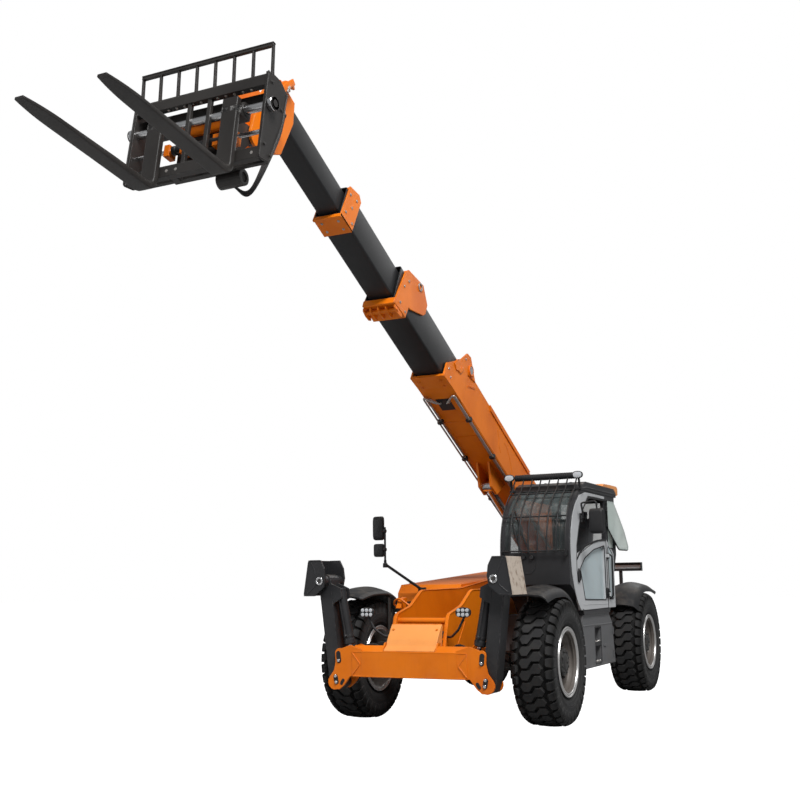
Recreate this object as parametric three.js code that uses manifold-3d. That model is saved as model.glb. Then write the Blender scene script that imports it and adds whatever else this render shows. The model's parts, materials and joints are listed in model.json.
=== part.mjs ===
// Telehandler: four-wheel-steer rough-terrain lift truck with a telescopic boom,
// a fork carriage and two folding front stabilisers.
// Millimetres, +Z up, +X to the operator's left (cab side), the forks reach out to -Y.
// The pieces are laid out from the front axle's centre line at ground level.

import * as THREE from "three";
import { mergeVertices } from "three/addons/utils/BufferGeometryUtils.js";
import Module from "manifold-3d";

const wasm = await Module();
wasm.setup();

// ---------------------------------------------------------------- driving sizes

const GAP = 0.3; // between pieces that touch
const RUNNING = 6; // between pieces that move past each other
const PIN_CLEARANCE = 0.3; // around a pin or rod in its bore

const WHEELBASE = 3410;
const WHEEL_CENTRE_X = 1000;
const TYRE_RADIUS = 597; // on the ground
const TYRE_HALF_WIDTH = 200;
const BEAD_HALF_WIDTH = 165;
const RIM_BARREL_RADIUS = 302;
const RIM_FLANGE_RADIUS = 330;
const RIM_HALF_WIDTH = 190;
const HUB_INNER = 70; // hub face, inboard of the wheel's centre plane
const HUB_RADIUS = 135;
const KINGPIN_X = 760;
const KINGPIN_RADIUS = 32;
const KNUCKLE_HALF_HEIGHT = 124;
const AXLE_TUBE_RADIUS = 95;
const FENDER_CLEARANCE = 72; // tyre to fender
const FENDER_THICKNESS = 22;
const FENDER_OUTER_X = 1165;
const FENDER_TIP = 570;
const FENDER_BRACKET_Y = 100;

const FRAME_INNER_X = 255; // between the chassis side plates
const FRAME_PLATE = 25;
const FRAME_OUTER_X = FRAME_INNER_X + FRAME_PLATE;
const FRAME_BOTTOM = 560;
const FRAME_TOP = 1285;
const FRAME_FRONT = -857;
const FRAME_REAR = WHEELBASE + 1010;
const AXLE_NOTCH_TOP = 745;
const AXLE_NOTCH_HALF = 150;

const BOOM_PIVOT_Y = WHEELBASE + 790;
const BOOM_PIVOT_Z = 1370;
const BOOM_ANGLE = 26.3; // above horizontal, as stored
const PIVOT_PIN_RADIUS = 55;

// boom tubes: half-width, underside and top across the boom, tail and mouth along it
const OUTER = { half: 175, under: -285, top: 150, wall: 10, tail: -150, mouth: 5126 };
const SECOND = { half: 150, under: -262, top: 120, wall: 9, tail: 1750, mouth: 6300 };
const THIRD = { half: 125, under: -238, top: 72, wall: 9, tail: 2850, mouth: 7388 };
const FOURTH = { half: 102, under: -212, top: 20, wall: 8, tail: 4000, mouth: 8330 };

const LIFT_BASE_Y = WHEELBASE + 440;
const LIFT_BASE_Z = 930;
const LIFT_EYE_ALONG = 3240;
const LIFT_EYE_ACROSS = -450;
const LIFT_BARREL_RADIUS = 82;
const LIFT_ROD_RADIUS = 48;
const LIFT_BARREL_LENGTH = 2250;
const LIFT_ROD_INSIDE = 850; // rod left in the barrel, as stored
const LIFT_PIN_RADIUS = 36;
const LIFT_EYE_HALF = 50;
const LIFT_EYE_RADIUS = 60;

const TILT_PIVOT_ALONG = 8600;
const TILT_PIVOT_ACROSS = -620;
const TILT_PIN_RADIUS = 30;
const CARRIAGE_TILT = 9; // forks raised above horizontal, as stored
const CARRIAGE_HALF = 565;
const FORK_SPACING = 630;
const FORK_WIDTH = 125;
const FORK_THICKNESS = 50;
const FORK_LENGTH = 1180;
const FORK_SHAFT_RADIUS = 30;
const SHAFT_Y = -504; // from the tilt pivot, in the carriage's own frame
const SHAFT_Z = -142;
const CARRIER_FACE = -420;
const BACKREST_BARS = 8;
const LATCH_RIGHT = 120; // cross tube at the carrier's foot
const LATCH_LEFT = 300;
const LATCH_RADIUS = 60;
const LATCH_Z = -562;

const BEAM_FRONT = -1062;
const BEAM_HALF = 578;
const BEAM_BOTTOM = 507;
const BEAM_TOP = 734;
const LEG_PIVOT_X = 760;
const LEG_PIVOT_Z = 454;
const LEG_LEAN = 7.3;
const LEG_DEPTH = 170;
const LEG_LENGTH = 937;
const LEG_CENTRE_Y = -945;
const LEG_PIN_RADIUS = 30;
const FOOT_PIN_RADIUS = 26;
const FOOT_CHEEK_Y = 178;
const LEG_EYE_X = -112; // cylinder eye on the leg
const LEG_EYE_Z = 800;
const LEG_BARREL_RADIUS = 48;
const LEG_BARREL_LENGTH = 480;
const LEG_ROD_RADIUS = 22;
const LEG_CYLINDER_REACH = 612;
const LEG_CYLINDER_TURN = 3.9;

const CAB_RIGHT = 420;
const CAB_LEFT = 1140;
const CAB_WALL = 45;
const CAB_FLOOR = 1005;
const CAB_BELT = 1640;
const CAB_EAVES = 2290;
const CAB_ROOF_TOP = 2385;
const CAB_FRONT = 300;
const CAB_REAR = 2135;
const CAB_SILL_REAR = 1750;
const SCREEN_RADIUS = 674;
const DOOR_REAR = 1700;
const DOOR_HINGE_X = 1156;
const DOOR_HINGE_Y = 1716;
const HINGE_PIN_RADIUS = 7;
const HINGE_HEIGHT = 40;
const DOOR_HINGES = [1180, 1600];
const WINDOW_HINGES = [1960, 2130];
const WINDOW_OPEN = 178; // upper window swung back, as stored
const PANE = 6;
const GUARD_BARS = 8;
const GUARD_TOP = 2430;

const LIGHT_BAR_LOW = 1465;
const LIGHT_BAR_TOP = 1580;

const HOOD_FRONT = 830;
const HOOD_FRONT_TOP = 1330;
const HOOD_REAR_TOP = 1480;
const HOOD_SKIRT = 1335;
const HOOD_OUTER_X = 1010;
const HOOD_WALL = 16;
const SIDE_BOX_OUTER_X = 1120;

// ---------------------------------------------------------------- shape helpers

const rad = THREE.MathUtils.degToRad;

/** Closed solid of a geometry, with its shared corners merged. */
function solid(geometry) {
  const bare = new THREE.BufferGeometry();
  bare.setAttribute("position", geometry.getAttribute("position").clone());
  if (geometry.index) bare.setIndex(geometry.index.clone());
  const merged = mergeVertices(bare, 1e-4);
  return new wasm.Manifold(
    new wasm.Mesh({
      numProp: 3,
      vertProperties: new Float32Array(merged.getAttribute("position").array),
      triVerts: new Uint32Array(merged.index.array),
    }),
  );
}

/** Geometry of a solid. */
function toGeometry(shape) {
  const mesh = shape.getMesh();
  const geometry = new THREE.BufferGeometry();
  geometry.setAttribute("position", new THREE.BufferAttribute(new Float32Array(mesh.vertProperties), 3));
  geometry.setIndex(new THREE.BufferAttribute(new Uint32Array(mesh.triVerts), 1));
  return geometry;
}

const join = (...shapes) => shapes.flat().reduce((whole, shape) => whole.add(shape));
const cut = (shape, ...tools) => tools.flat().reduce((rest, tool) => rest.subtract(tool), shape);

/** Copy of a solid moved by a matrix; a mirroring matrix turns its faces round again. */
function moved(shape, matrix) {
  const geometry = toGeometry(shape).applyMatrix4(matrix);
  if (matrix.determinant() < 0) {
    const index = geometry.index.array;
    for (let i = 0; i < index.length; i += 3) {
      const first = index[i];
      index[i] = index[i + 1];
      index[i + 1] = first;
    }
  }
  return solid(geometry);
}

const shifted = (shape, x, y, z) => moved(shape, new THREE.Matrix4().makeTranslation(x, y, z));
const mirrored = (shape) => moved(shape, new THREE.Matrix4().makeScale(-1, 1, 1));
const flippedY = (shape) => moved(shape, new THREE.Matrix4().makeScale(1, -1, 1));
const bothSides = (shape) => join(shape, mirrored(shape));

/** Solid turned about a line along X through (y, z), in degrees. */
function turnedX(shape, degrees, y, z) {
  const matrix = new THREE.Matrix4().makeTranslation(0, y, z);
  matrix.multiply(new THREE.Matrix4().makeRotationX(rad(degrees)));
  matrix.multiply(new THREE.Matrix4().makeTranslation(0, -y, -z));
  return moved(shape, matrix);
}

/** Block between opposite corners. */
function block(x0, x1, y0, y1, z0, z1) {
  const geometry = new THREE.BoxGeometry(x1 - x0, y1 - y0, z1 - z0);
  geometry.translate((x0 + x1) / 2, (y0 + y1) / 2, (z0 + z1) / 2);
  return solid(geometry);
}

function outline(points) {
  return new THREE.Shape(points.map(([u, v]) => new THREE.Vector2(u, v)));
}

/** Plate with its outline in Y and Z, from x0 to x1. */
function plateX(points, x0, x1) {
  const geometry = new THREE.ExtrudeGeometry(outline(points), { depth: x1 - x0, bevelEnabled: false });
  const axes = new THREE.Matrix4().makeBasis(
    new THREE.Vector3(0, 1, 0),
    new THREE.Vector3(0, 0, 1),
    new THREE.Vector3(1, 0, 0),
  );
  return solid(geometry.applyMatrix4(axes).translate(x0, 0, 0));
}

/** Plate with its outline in X and Z, from y0 to y1. */
function plateY(points, y0, y1) {
  const geometry = new THREE.ExtrudeGeometry(outline(points), { depth: y1 - y0, bevelEnabled: false });
  return solid(geometry.rotateX(Math.PI / 2).translate(0, y1, 0));
}

/** Plate with its outline in X and Y, from z0 to z1. */
function plateZ(points, z0, z1) {
  const geometry = new THREE.ExtrudeGeometry(outline(points), { depth: z1 - z0, bevelEnabled: false });
  return solid(geometry.translate(0, 0, z0));
}

function cylinder(radius, length, sides) {
  return new THREE.CylinderGeometry(radius, radius, length, sides);
}

/** Enough sides for a pin of this radius to sit close in its bore. */
const sidesOf = (radius) => (radius > 34 ? 20 : radius > 14 ? 16 : 8);

/** Round bar along X, Y or Z, from one end to the other. */
function barX(x0, x1, y, z, radius, sides = sidesOf(radius)) {
  return solid(cylinder(radius, x1 - x0, sides).rotateZ(-Math.PI / 2).translate((x0 + x1) / 2, y, z));
}
function barY(x, y0, y1, z, radius, sides = sidesOf(radius)) {
  return solid(cylinder(radius, y1 - y0, sides).translate(x, (y0 + y1) / 2, z));
}
function barZ(x, y, z0, z1, radius, sides = sidesOf(radius)) {
  return solid(cylinder(radius, z1 - z0, sides).rotateX(Math.PI / 2).translate(x, y, (z0 + z1) / 2));
}

/** Radius of a bore whose flats leave a pin or rod of this radius free to turn. */
const boreRadius = (pin) => (pin + PIN_CLEARANCE) / Math.cos(Math.PI / sidesOf(pin));

/** Ring turned about the X axis through the origin; points are [along X, radius]. */
function turned(points, sides) {
  const profile = points.map(([x, r]) => new THREE.Vector2(r, x));
  const geometry = new THREE.LatheGeometry(profile, sides);
  return solid(geometry.rotateY(Math.PI / sides).rotateZ(-Math.PI / 2));
}

/** Straight square-ended bar between two points. */
function strut(from, to, radius, sides = 8) {
  const a = new THREE.Vector3(...from);
  const b = new THREE.Vector3(...to);
  const turn = new THREE.Quaternion().setFromUnitVectors(
    new THREE.Vector3(0, 1, 0),
    b.clone().sub(a).normalize(),
  );
  const geometry = cylinder(radius, a.distanceTo(b), sides).applyQuaternion(turn);
  const middle = a.add(b).multiplyScalar(0.5);
  return solid(geometry.translate(middle.x, middle.y, middle.z));
}

/** Points of an arc, in degrees, ends included. */
function arc(cu, cv, radius, from, to, steps = 8) {
  return Array.from({ length: steps + 1 }, (_, i) => {
    const angle = rad(from + ((to - from) * i) / steps);
    return [cu + radius * Math.cos(angle), cv + radius * Math.sin(angle)];
  });
}

// ---------------------------------------------------------------- finishes

function finish(color, roughness, metalness) {
  return new THREE.MeshStandardMaterial({ color, roughness, metalness });
}

const ORANGE = finish(0xd9661a, 0.45, 0.1);
const CHARCOAL = finish(0x33312f, 0.55, 0.1);
const BOOM_BLACK = finish(0x2a2725, 0.5, 0.2);
const CARRIAGE_GREY = finish(0x3f3a36, 0.55, 0.3);
const DOOR_GREY = finish(0xa6a49f, 0.45, 0.1);
const BLACK_PLASTIC = finish(0x22201f, 0.7, 0);
const RUBBER = finish(0x1b1a19, 0.9, 0);
const RIM_SILVER = finish(0xb3aca1, 0.4, 0.5);
const BRIGHT_STEEL = finish(0xc9c7c4, 0.2, 1);
const CAST = finish(0x4b4744, 0.7, 0.4);
const GLASS = finish(0xa9cbbb, 0.1, 0);
const SEAT_CLOTH = finish(0x2b2a2b, 0.95, 0);

/** Named mesh of a solid. */
function piece(name, shape, material) {
  const mesh = new THREE.Mesh(toGeometry(shape), material);
  mesh.name = name;
  return mesh;
}

function group(children, { x = 0, y = 0, z = 0, turnX = 0, turnY = 0, turnZ = 0 } = {}) {
  const held = new THREE.Group();
  held.position.set(x, y, z);
  held.rotation.set(rad(turnX), rad(turnY), rad(turnZ));
  held.add(...children);
  return held;
}

// ---------------------------------------------------------------- wheels and axles

const WHEELS = [
  { name: "front_left", side: 1, y: 0, outward: -1 },
  { name: "front_right", side: -1, y: 0, outward: -1 },
  { name: "rear_left", side: 1, y: WHEELBASE, outward: 1 },
  { name: "rear_right", side: -1, y: WHEELBASE, outward: 1 },
];
const WHEEL_SIDES = 18;

/** Tyre about the X axis; its flats touch the ground. */
function tyre() {
  const r = TYRE_RADIUS / Math.cos(Math.PI / WHEEL_SIDES);
  const w = TYRE_HALF_WIDTH;
  const bead = RIM_BARREL_RADIUS + GAP;
  const half = [
    [-BEAD_HALF_WIDTH, bead],
    [-BEAD_HALF_WIDTH, RIM_FLANGE_RADIUS + 12],
    [4 - w, RIM_FLANGE_RADIUS + 60],
    [-w, r - 140],
    [12 - w, r - 50],
    [60 - w, r],
  ];
  const other = half.map(([x, radius]) => [-x, radius]).reverse();
  return turned([...half, ...other, half[0]], WHEEL_SIDES);
}

/** Rim with its disc and planetary hub about the X axis, outboard towards +X. */
function rim() {
  const w = RIM_HALF_WIDTH;
  const inside = RIM_BARREL_RADIUS - 14;
  return turned(
    [
      [-HUB_INNER, 0],
      [-HUB_INNER, HUB_RADIUS],
      [10, HUB_RADIUS],
      [28, inside],
      [-w, inside],
      [-w, RIM_FLANGE_RADIUS],
      [-BEAD_HALF_WIDTH - GAP, RIM_FLANGE_RADIUS],
      [-BEAD_HALF_WIDTH - GAP, RIM_BARREL_RADIUS],
      [BEAD_HALF_WIDTH + GAP, RIM_BARREL_RADIUS],
      [BEAD_HALF_WIDTH + GAP, RIM_FLANGE_RADIUS],
      [w, RIM_FLANGE_RADIUS],
      [w, inside],
      [52, inside - 20],
      [38, HUB_RADIUS + 10],
      [120, HUB_RADIUS - 15],
      [120, 0],
    ],
    WHEEL_SIDES,
  );
}

/** Steering knuckle on the left; Y and Z from the wheel centre. */
function knuckle(outward) {
  const pad = block(KINGPIN_X - 16, KINGPIN_X + 24, 60, FENDER_BRACKET_Y, -50, 50);
  const body = join(
    barZ(KINGPIN_X, 0, -KNUCKLE_HALF_HEIGHT, KNUCKLE_HALF_HEIGHT, 70),
    barX(KINGPIN_X, WHEEL_CENTRE_X - HUB_INNER - GAP, 0, 0, 100),
    outward < 0 ? pad : flippedY(pad),
  );
  const reach = KNUCKLE_HALF_HEIGHT + 1;
  const sides = sidesOf(KINGPIN_RADIUS);
  return cut(body, barZ(KINGPIN_X, 0, -reach, reach, boreRadius(KINGPIN_RADIUS), sides));
}

/** Fender on the left, with its bracket: an arch that runs on straight at its outer tip. */
function fender(outward) {
  const low = TYRE_RADIUS + FENDER_CLEARANCE;
  const high = low + FENDER_THICKNESS;
  const side = (radius, tipZ) => [...arc(0, 0, radius, 40, 95, 9), [-FENDER_TIP, tipZ]];
  const points = [...side(high, high - 59), ...side(low, low - 57).reverse()];
  const bracket = block(
    KINGPIN_X - 16,
    KINGPIN_X + 24,
    FENDER_BRACKET_Y + GAP,
    FENDER_BRACKET_Y + 22,
    -50,
    low,
  );
  const whole = join(plateX(points, KINGPIN_X - 16, FENDER_OUTER_X), bracket);
  return outward < 0 ? whole : flippedY(whole);
}

/** Axle beam with a fork for each knuckle; the differential and its two mounting pads. */
function axle(diffRadius) {
  const webInner = KINGPIN_X - 140;
  const webOuter = KINGPIN_X - 80;
  const earFrom = KNUCKLE_HALF_HEIGHT + RUNNING;
  const earTo = earFrom + 32;
  const ear = block(webInner, KINGPIN_X + 60, -70, 70, earFrom, earTo);
  const end = join(
    block(webInner, webOuter, -70, 70, -earTo, earTo),
    ear,
    shifted(ear, 0, 0, -earFrom - earTo),
    block(FRAME_INNER_X - 5, FRAME_OUTER_X + 5, -120, 120, 0, AXLE_NOTCH_TOP - TYRE_RADIUS - GAP),
  );
  return join(
    bothSides(barZ(KINGPIN_X, 0, -earFrom - 1, earFrom + 1, KINGPIN_RADIUS)),
    barX(-webInner - 1, webInner + 1, 0, 0, AXLE_TUBE_RADIUS),
    barX(-150, 150, 0, 0, diffRadius, 24),
    bothSides(end),
  );
}

function runningGear() {
  const pieces = [
    group([piece("front_axle", axle(185), CAST)], { z: TYRE_RADIUS }),
    group([piece("rear_axle", axle(128), CAST)], { y: WHEELBASE, z: TYRE_RADIUS }),
  ];
  for (const { name, side, y, outward } of WHEELS) {
    const own = (shape) => (side > 0 ? shape : mirrored(shape));
    const wheel = group(
      [piece(`tyre_${name}`, tyre(), RUBBER), piece(`rim_${name}`, own(rim()), RIM_SILVER)],
      { x: side * WHEEL_CENTRE_X },
    );
    pieces.push(
      group(
        [
          wheel,
          piece(`knuckle_${name}`, own(knuckle(outward)), CAST),
          piece(`fender_${name}`, own(fender(outward)), BLACK_PLASTIC),
        ],
        { y, z: TYRE_RADIUS },
      ),
    );
  }
  return pieces;
}

// ---------------------------------------------------------------- chassis

function chassisFrame() {
  const rearNotch = [
    [WHEELBASE + AXLE_NOTCH_HALF, FRAME_BOTTOM],
    [WHEELBASE + AXLE_NOTCH_HALF, AXLE_NOTCH_TOP],
    [WHEELBASE - AXLE_NOTCH_HALF, AXLE_NOTCH_TOP],
    [WHEELBASE - AXLE_NOTCH_HALF, FRAME_BOTTOM],
  ];
  const frontNotch = rearNotch.map(([y, z]) => [y - WHEELBASE, z]);
  const side = plateX(
    [
      [FRAME_FRONT, FRAME_BOTTOM],
      [FRAME_FRONT, 760],
      [-753, 1057],
      [-430, 1130],
      [-167, FRAME_TOP - 9],
      [840, FRAME_TOP],
      [1900, 1390],
      [3700, 1440],
      ...arc(BOOM_PIVOT_Y, BOOM_PIVOT_Z, 200, 120, -10, 8),
      [FRAME_REAR, 1250],
      [FRAME_REAR, FRAME_BOTTOM + 120],
      [FRAME_REAR - 160, FRAME_BOTTOM],
      ...rearNotch,
      ...frontNotch,
    ],
    FRAME_INNER_X,
    FRAME_OUTER_X,
  );
  const inner = FRAME_INNER_X + 1;
  return join(
    bothSides(side),
    block(-inner, inner, AXLE_NOTCH_HALF + 90, 3120, 640, 660),
    block(-inner, inner, -840, -AXLE_NOTCH_HALF - 90, 600, 620),
    block(-inner, inner, FRAME_FRONT, FRAME_FRONT + 20, 600, 740),
    block(-inner, inner, FRAME_REAR - 40, FRAME_REAR - 15, 700, 1020),
    barX(-inner, inner, -700, 1000, 30),
    barX(-inner, inner, BOOM_PIVOT_Y, BOOM_PIVOT_Z, PIVOT_PIN_RADIUS),
    barX(-inner, inner, LIFT_BASE_Y, LIFT_BASE_Z, LIFT_PIN_RADIUS),
  );
}

/** Pale sloping cover between the side plates at the nose. */
function noseCover() {
  const half = FRAME_INNER_X - GAP;
  return plateX(
    [
      [-855, 977],
      [-962, 843],
      [-988, 785],
      [-1051, 742],
      [-1051, 734 + GAP],
      [-880, 734 + GAP],
      [-835, 960],
    ],
    -half,
    half,
  );
}

/** Cross-beam that carries the stabilisers, with slotted lobes at its ends. */
function stabilizerBeam() {
  const rear = FRAME_FRONT - GAP;
  const lobes = [
    [470, BEAM_BOTTOM],
    [600, BEAM_BOTTOM],
    [665, 425],
    [715, 386],
    ...arc(LEG_PIVOT_X, LEG_PIVOT_Z, 72, -110, 40, 6),
    [770, 560],
    [752, 640],
    ...arc(712, 715, 46, -20, 110, 5),
    [600, 790],
    [470, 750],
  ];
  const legFront = LEG_CENTRE_Y - LEG_DEPTH / 2 - RUNNING;
  const legRear = LEG_CENTRE_Y + LEG_DEPTH / 2 + RUNNING;
  const end = join(
    plateY(lobes, legFront - 24, legFront),
    plateY(lobes, legRear, legRear + 24),
    block(470, BEAM_HALF, legFront - 1, legRear + 1, BEAM_BOTTOM, BEAM_TOP),
    barY(LEG_PIVOT_X, legFront - 1, legRear + 1, LEG_PIVOT_Z, LEG_PIN_RADIUS),
  );
  return join(
    block(-480, 480, BEAM_FRONT, rear, BEAM_BOTTOM, BEAM_TOP),
    bothSides(end),
  );
}

/** Counterweight behind the rear wheels; two posts on it carry a channel-shaped light bar. */
function counterweight() {
  const inside = FRAME_OUTER_X + GAP;
  const half = plateZ(
    [
      [inside, FRAME_REAR - 240],
      [920, FRAME_REAR - 240],
      [960, FRAME_REAR - 190],
      [960, FRAME_REAR + 60],
      [880, FRAME_REAR + 150],
      [inside, FRAME_REAR + 150],
    ],
    620,
    1120,
  );
  const y = FRAME_REAR + 60;
  const bar = cut(
    block(-870, 870, y, y + 80, LIGHT_BAR_LOW, LIGHT_BAR_TOP),
    block(-860, 860, y - 1, y + 60, LIGHT_BAR_LOW + 12, LIGHT_BAR_TOP - 12),
  );
  return join(
    bothSides(half),
    block(-inside - 1, inside + 1, FRAME_REAR + GAP, FRAME_REAR + 150, 620, 1120),
    bothSides(block(560, 600, y + 20, y + 60, 1119, LIGHT_BAR_LOW + 11)),
    bar,
  );
}

/** Engine cover on the right: a shell that is open below. */
function engineHood() {
  const outer = [
    [HOOD_FRONT, 700],
    [HOOD_FRONT, 1240],
    [HOOD_FRONT + 90, HOOD_FRONT_TOP],
    [3500, HOOD_REAR_TOP],
    [3960, 1440],
    [4060, HOOD_SKIRT],
    [2720, HOOD_SKIRT],
    [2650, 1180],
    [2650, 700],
  ];
  const shell = cut(
    plateX(outer, -HOOD_OUTER_X, -FRAME_OUTER_X - GAP),
    plateX(
      [
        [HOOD_FRONT + HOOD_WALL, 600],
        [HOOD_FRONT + HOOD_WALL, 1225],
        [HOOD_FRONT + 100, HOOD_FRONT_TOP - HOOD_WALL],
        [3500, HOOD_REAR_TOP - HOOD_WALL],
        [3930, 1440 - HOOD_WALL],
        [4060 - HOOD_WALL, HOOD_SKIRT - 1],
        [2700, HOOD_SKIRT - 1],
        [2650 - HOOD_WALL, 1180],
        [2650 - HOOD_WALL, 600],
      ],
      -HOOD_OUTER_X + HOOD_WALL,
      -FRAME_OUTER_X - GAP - 6,
    ),
  );
  return shell;
}

function engineBlock() {
  return block(-HOOD_OUTER_X + 110, -FRAME_OUTER_X - 6 - 2 * GAP, 1180, 2420, 760, 1230);
}

/** Fuel and battery box with the cab step, between the side plate and the sill. */
function sideBox() {
  const top = CAB_FLOOR - GAP;
  const shell = plateX(
    [
      [732, 465],
      [1971, 455],
      [1894, 886],
      [1760, top],
      [760, top],
      [732, 900],
    ],
    FRAME_OUTER_X + GAP,
    SIDE_BOX_OUTER_X,
  );
  const slot = (z0, z1) => block(SIDE_BOX_OUTER_X - 220, SIDE_BOX_OUTER_X + 1, 1180, 1400, z0, z1);
  return cut(shell, slot(500, 680), slot(705, 860));
}

function chassis() {
  return [
    piece("chassis_frame", chassisFrame(), ORANGE),
    piece("nose_cover", noseCover(), ORANGE),
    piece("stabilizer_beam", stabilizerBeam(), ORANGE),
    piece("counterweight", counterweight(), CHARCOAL),
    piece("engine_hood", engineHood(), ORANGE),
    piece("engine_block", engineBlock(), CAST),
    piece("side_box", sideBox(), CHARCOAL),
  ];
}

// ---------------------------------------------------------------- cab

/** Side outline of the cab, grown or shrunk by a distance at its straight edges. */
function cabOutline(inside) {
  const start = 180;
  const end = 180 - THREE.MathUtils.radToDeg(Math.asin((CAB_EAVES - CAB_BELT) / SCREEN_RADIUS));
  return [
    [CAB_FRONT + inside, 1318 + inside],
    ...arc(CAB_FRONT + SCREEN_RADIUS, CAB_BELT, SCREEN_RADIUS - inside, start, end, 8),
    [CAB_REAR - inside, CAB_EAVES],
    [CAB_REAR - inside, CAB_BELT],
    [CAB_SILL_REAR - inside, CAB_FLOOR + inside],
    [750 + inside / 2, CAB_FLOOR + inside],
    [629 + inside / 2, 1160 + inside],
  ];
}

const DOOR_OPENING = [
  [705, 1050],
  [600, 1190],
  [545, 1330],
  [520, 1500],
  [545, 1700],
  [650, 1900],
  [820, 2090],
  [1040, 2235],
  [DOOR_REAR, 2235],
  [DOOR_REAR, 1050],
];

/** Points of a convex outline moved inwards by a distance. */
function inset(points, distance) {
  const mean = (axis) => points.reduce((sum, point) => sum + point[axis], 0) / points.length;
  const centre = [mean(0), mean(1)];
  const edges = points.map(([u, v], i) => {
    const [nu, nv] = points[(i + 1) % points.length];
    const length = Math.hypot(nu - u, nv - v);
    let normal = [-(nv - v) / length, (nu - u) / length];
    if ((centre[0] - u) * normal[0] + (centre[1] - v) * normal[1] < 0) normal = normal.map((n) => -n);
    return { normal, offset: u * normal[0] + v * normal[1] + distance };
  });
  return edges.map((edge, i) => {
    const before = edges[(i + edges.length - 1) % edges.length];
    const [a, b] = before.normal;
    const [c, d] = edge.normal;
    const det = a * d - b * c;
    return [(before.offset * d - b * edge.offset) / det, (a * edge.offset - before.offset * c) / det];
  });
}

function cabBody() {
  const shell = cut(
    plateX(cabOutline(0), CAB_RIGHT, CAB_LEFT),
    plateX(cabOutline(CAB_WALL), CAB_RIGHT + CAB_WALL, CAB_LEFT - CAB_WALL),
  );
  const outside = 20;
  const screen = block(
    CAB_RIGHT + CAB_WALL, CAB_LEFT - CAB_WALL, CAB_FRONT - outside, 1000, CAB_BELT, CAB_EAVES + 1,
  );
  const door = plateX(DOOR_OPENING, CAB_LEFT - CAB_WALL - 1, CAB_LEFT + 1);
  const quarter = plateX(QUARTER_OPENING, CAB_LEFT - CAB_WALL - 1, CAB_LEFT + 1);
  const right = plateX(RIGHT_OPENING, CAB_RIGHT - 1, CAB_RIGHT + CAB_WALL + 1);
  const rear = block(
    CAB_RIGHT + 90, CAB_LEFT - 90, CAB_REAR - 200, CAB_REAR + 1, CAB_BELT + 60, CAB_EAVES - 60,
  );
  const pins = [...DOOR_HINGES, ...WINDOW_HINGES].map(hingePin);
  return join(cut(shell, screen, door, quarter, right, rear), ...pins);
}

const QUARTER_OPENING = [
  [DOOR_REAR + 80, 1700],
  [CAB_REAR - 60, 1700],
  [CAB_REAR - 60, 2225],
  [DOOR_REAR + 80, 2225],
];
const RIGHT_OPENING = [
  [430, 1420],
  [CAB_REAR - 100, 1420],
  [CAB_REAR - 100, 2225],
  [960, 2225],
  [700, 2060],
  [500, 1840],
];

function cabRoof() {
  return plateX(
    [
      [790, CAB_EAVES + GAP],
      [850, 2350],
      [960, CAB_ROOF_TOP],
      [2120, CAB_ROOF_TOP],
      [2200, 2345],
      [2200, CAB_EAVES + GAP],
    ],
    CAB_RIGHT - 10,
    CAB_LEFT + 8,
  );
}

/** Orange cap that overhangs the back of the roof. */
function roofCap() {
  return plateX(
    [
      [1700, CAB_ROOF_TOP + GAP],
      [1760, 2425],
      [2330, 2432],
      [2378, 2405],
      [2378, 2330],
      [2200 + GAP, 2300],
      [2200 + GAP, 2345 + GAP],
      [2120, CAB_ROOF_TOP + GAP],
    ],
    CAB_RIGHT + 10,
    CAB_LEFT - 12,
  );
}

/** Curved pane that fills the front opening. */
function windscreen() {
  const end = 180 - THREE.MathUtils.radToDeg(Math.asin((CAB_EAVES - GAP - CAB_BELT) / SCREEN_RADIUS));
  const centre = CAB_FRONT + SCREEN_RADIUS;
  const outer = arc(centre, CAB_BELT, SCREEN_RADIUS - 4, 180, end, 10);
  const inner = arc(centre, CAB_BELT, SCREEN_RADIUS - 10, 180, end, 10).reverse();
  const raised = [...outer, ...inner].map(([y, z]) => [y, Math.max(z, CAB_BELT + GAP)]);
  return plateX(raised, CAB_RIGHT + CAB_WALL + GAP, CAB_LEFT - CAB_WALL - GAP);
}

function sidePane(opening, x) {
  return plateX(inset(opening, GAP), x, x + PANE);
}

function rearPane() {
  return block(
    CAB_RIGHT + 90 + GAP,
    CAB_LEFT - 90 - GAP,
    CAB_REAR - 25,
    CAB_REAR - 25 + PANE,
    CAB_BELT + 60 + GAP,
    CAB_EAVES - 60 - GAP,
  );
}

/** Bars in front of the windscreen: curved below, straight above the roof's edge, on two pads. */
function cabGuard() {
  const centre = CAB_FRONT + SCREEN_RADIUS;
  const edge = (radius, topY) => [...arc(centre, CAB_BELT, radius, 180, 117, 5), [topY, GUARD_TOP]];
  const near = edge(SCREEN_RADIUS + 48, 752);
  const far = edge(SCREEN_RADIUS + 62, 738);
  const left = CAB_LEFT - 14;
  const right = CAB_RIGHT + 14;
  const bars = Array.from({ length: GUARD_BARS }, (_, i) => {
    const x = right + ((left - right - 12) * i) / (GUARD_BARS - 1);
    return plateX([...far, ...near.slice().reverse()], x, x + 12);
  });
  const rail = (angle) => {
    const [y, z] = arc(centre, CAB_BELT, SCREEN_RADIUS + 55, angle, angle, 1)[0];
    return block(right, left, y - 8, y + 8, z - 9, z + 9);
  };
  const pad = block(left - 20, left, CAB_FRONT - 60, CAB_FRONT - GAP, CAB_BELT - 40, CAB_BELT + 12);
  return join(
    ...bars,
    rail(179),
    rail(150),
    rail(122),
    block(right, left, 736, 790, GUARD_TOP - 34, GUARD_TOP),
    pad,
    shifted(pad, right - left + 20, 0, 0),
  );
}

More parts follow.
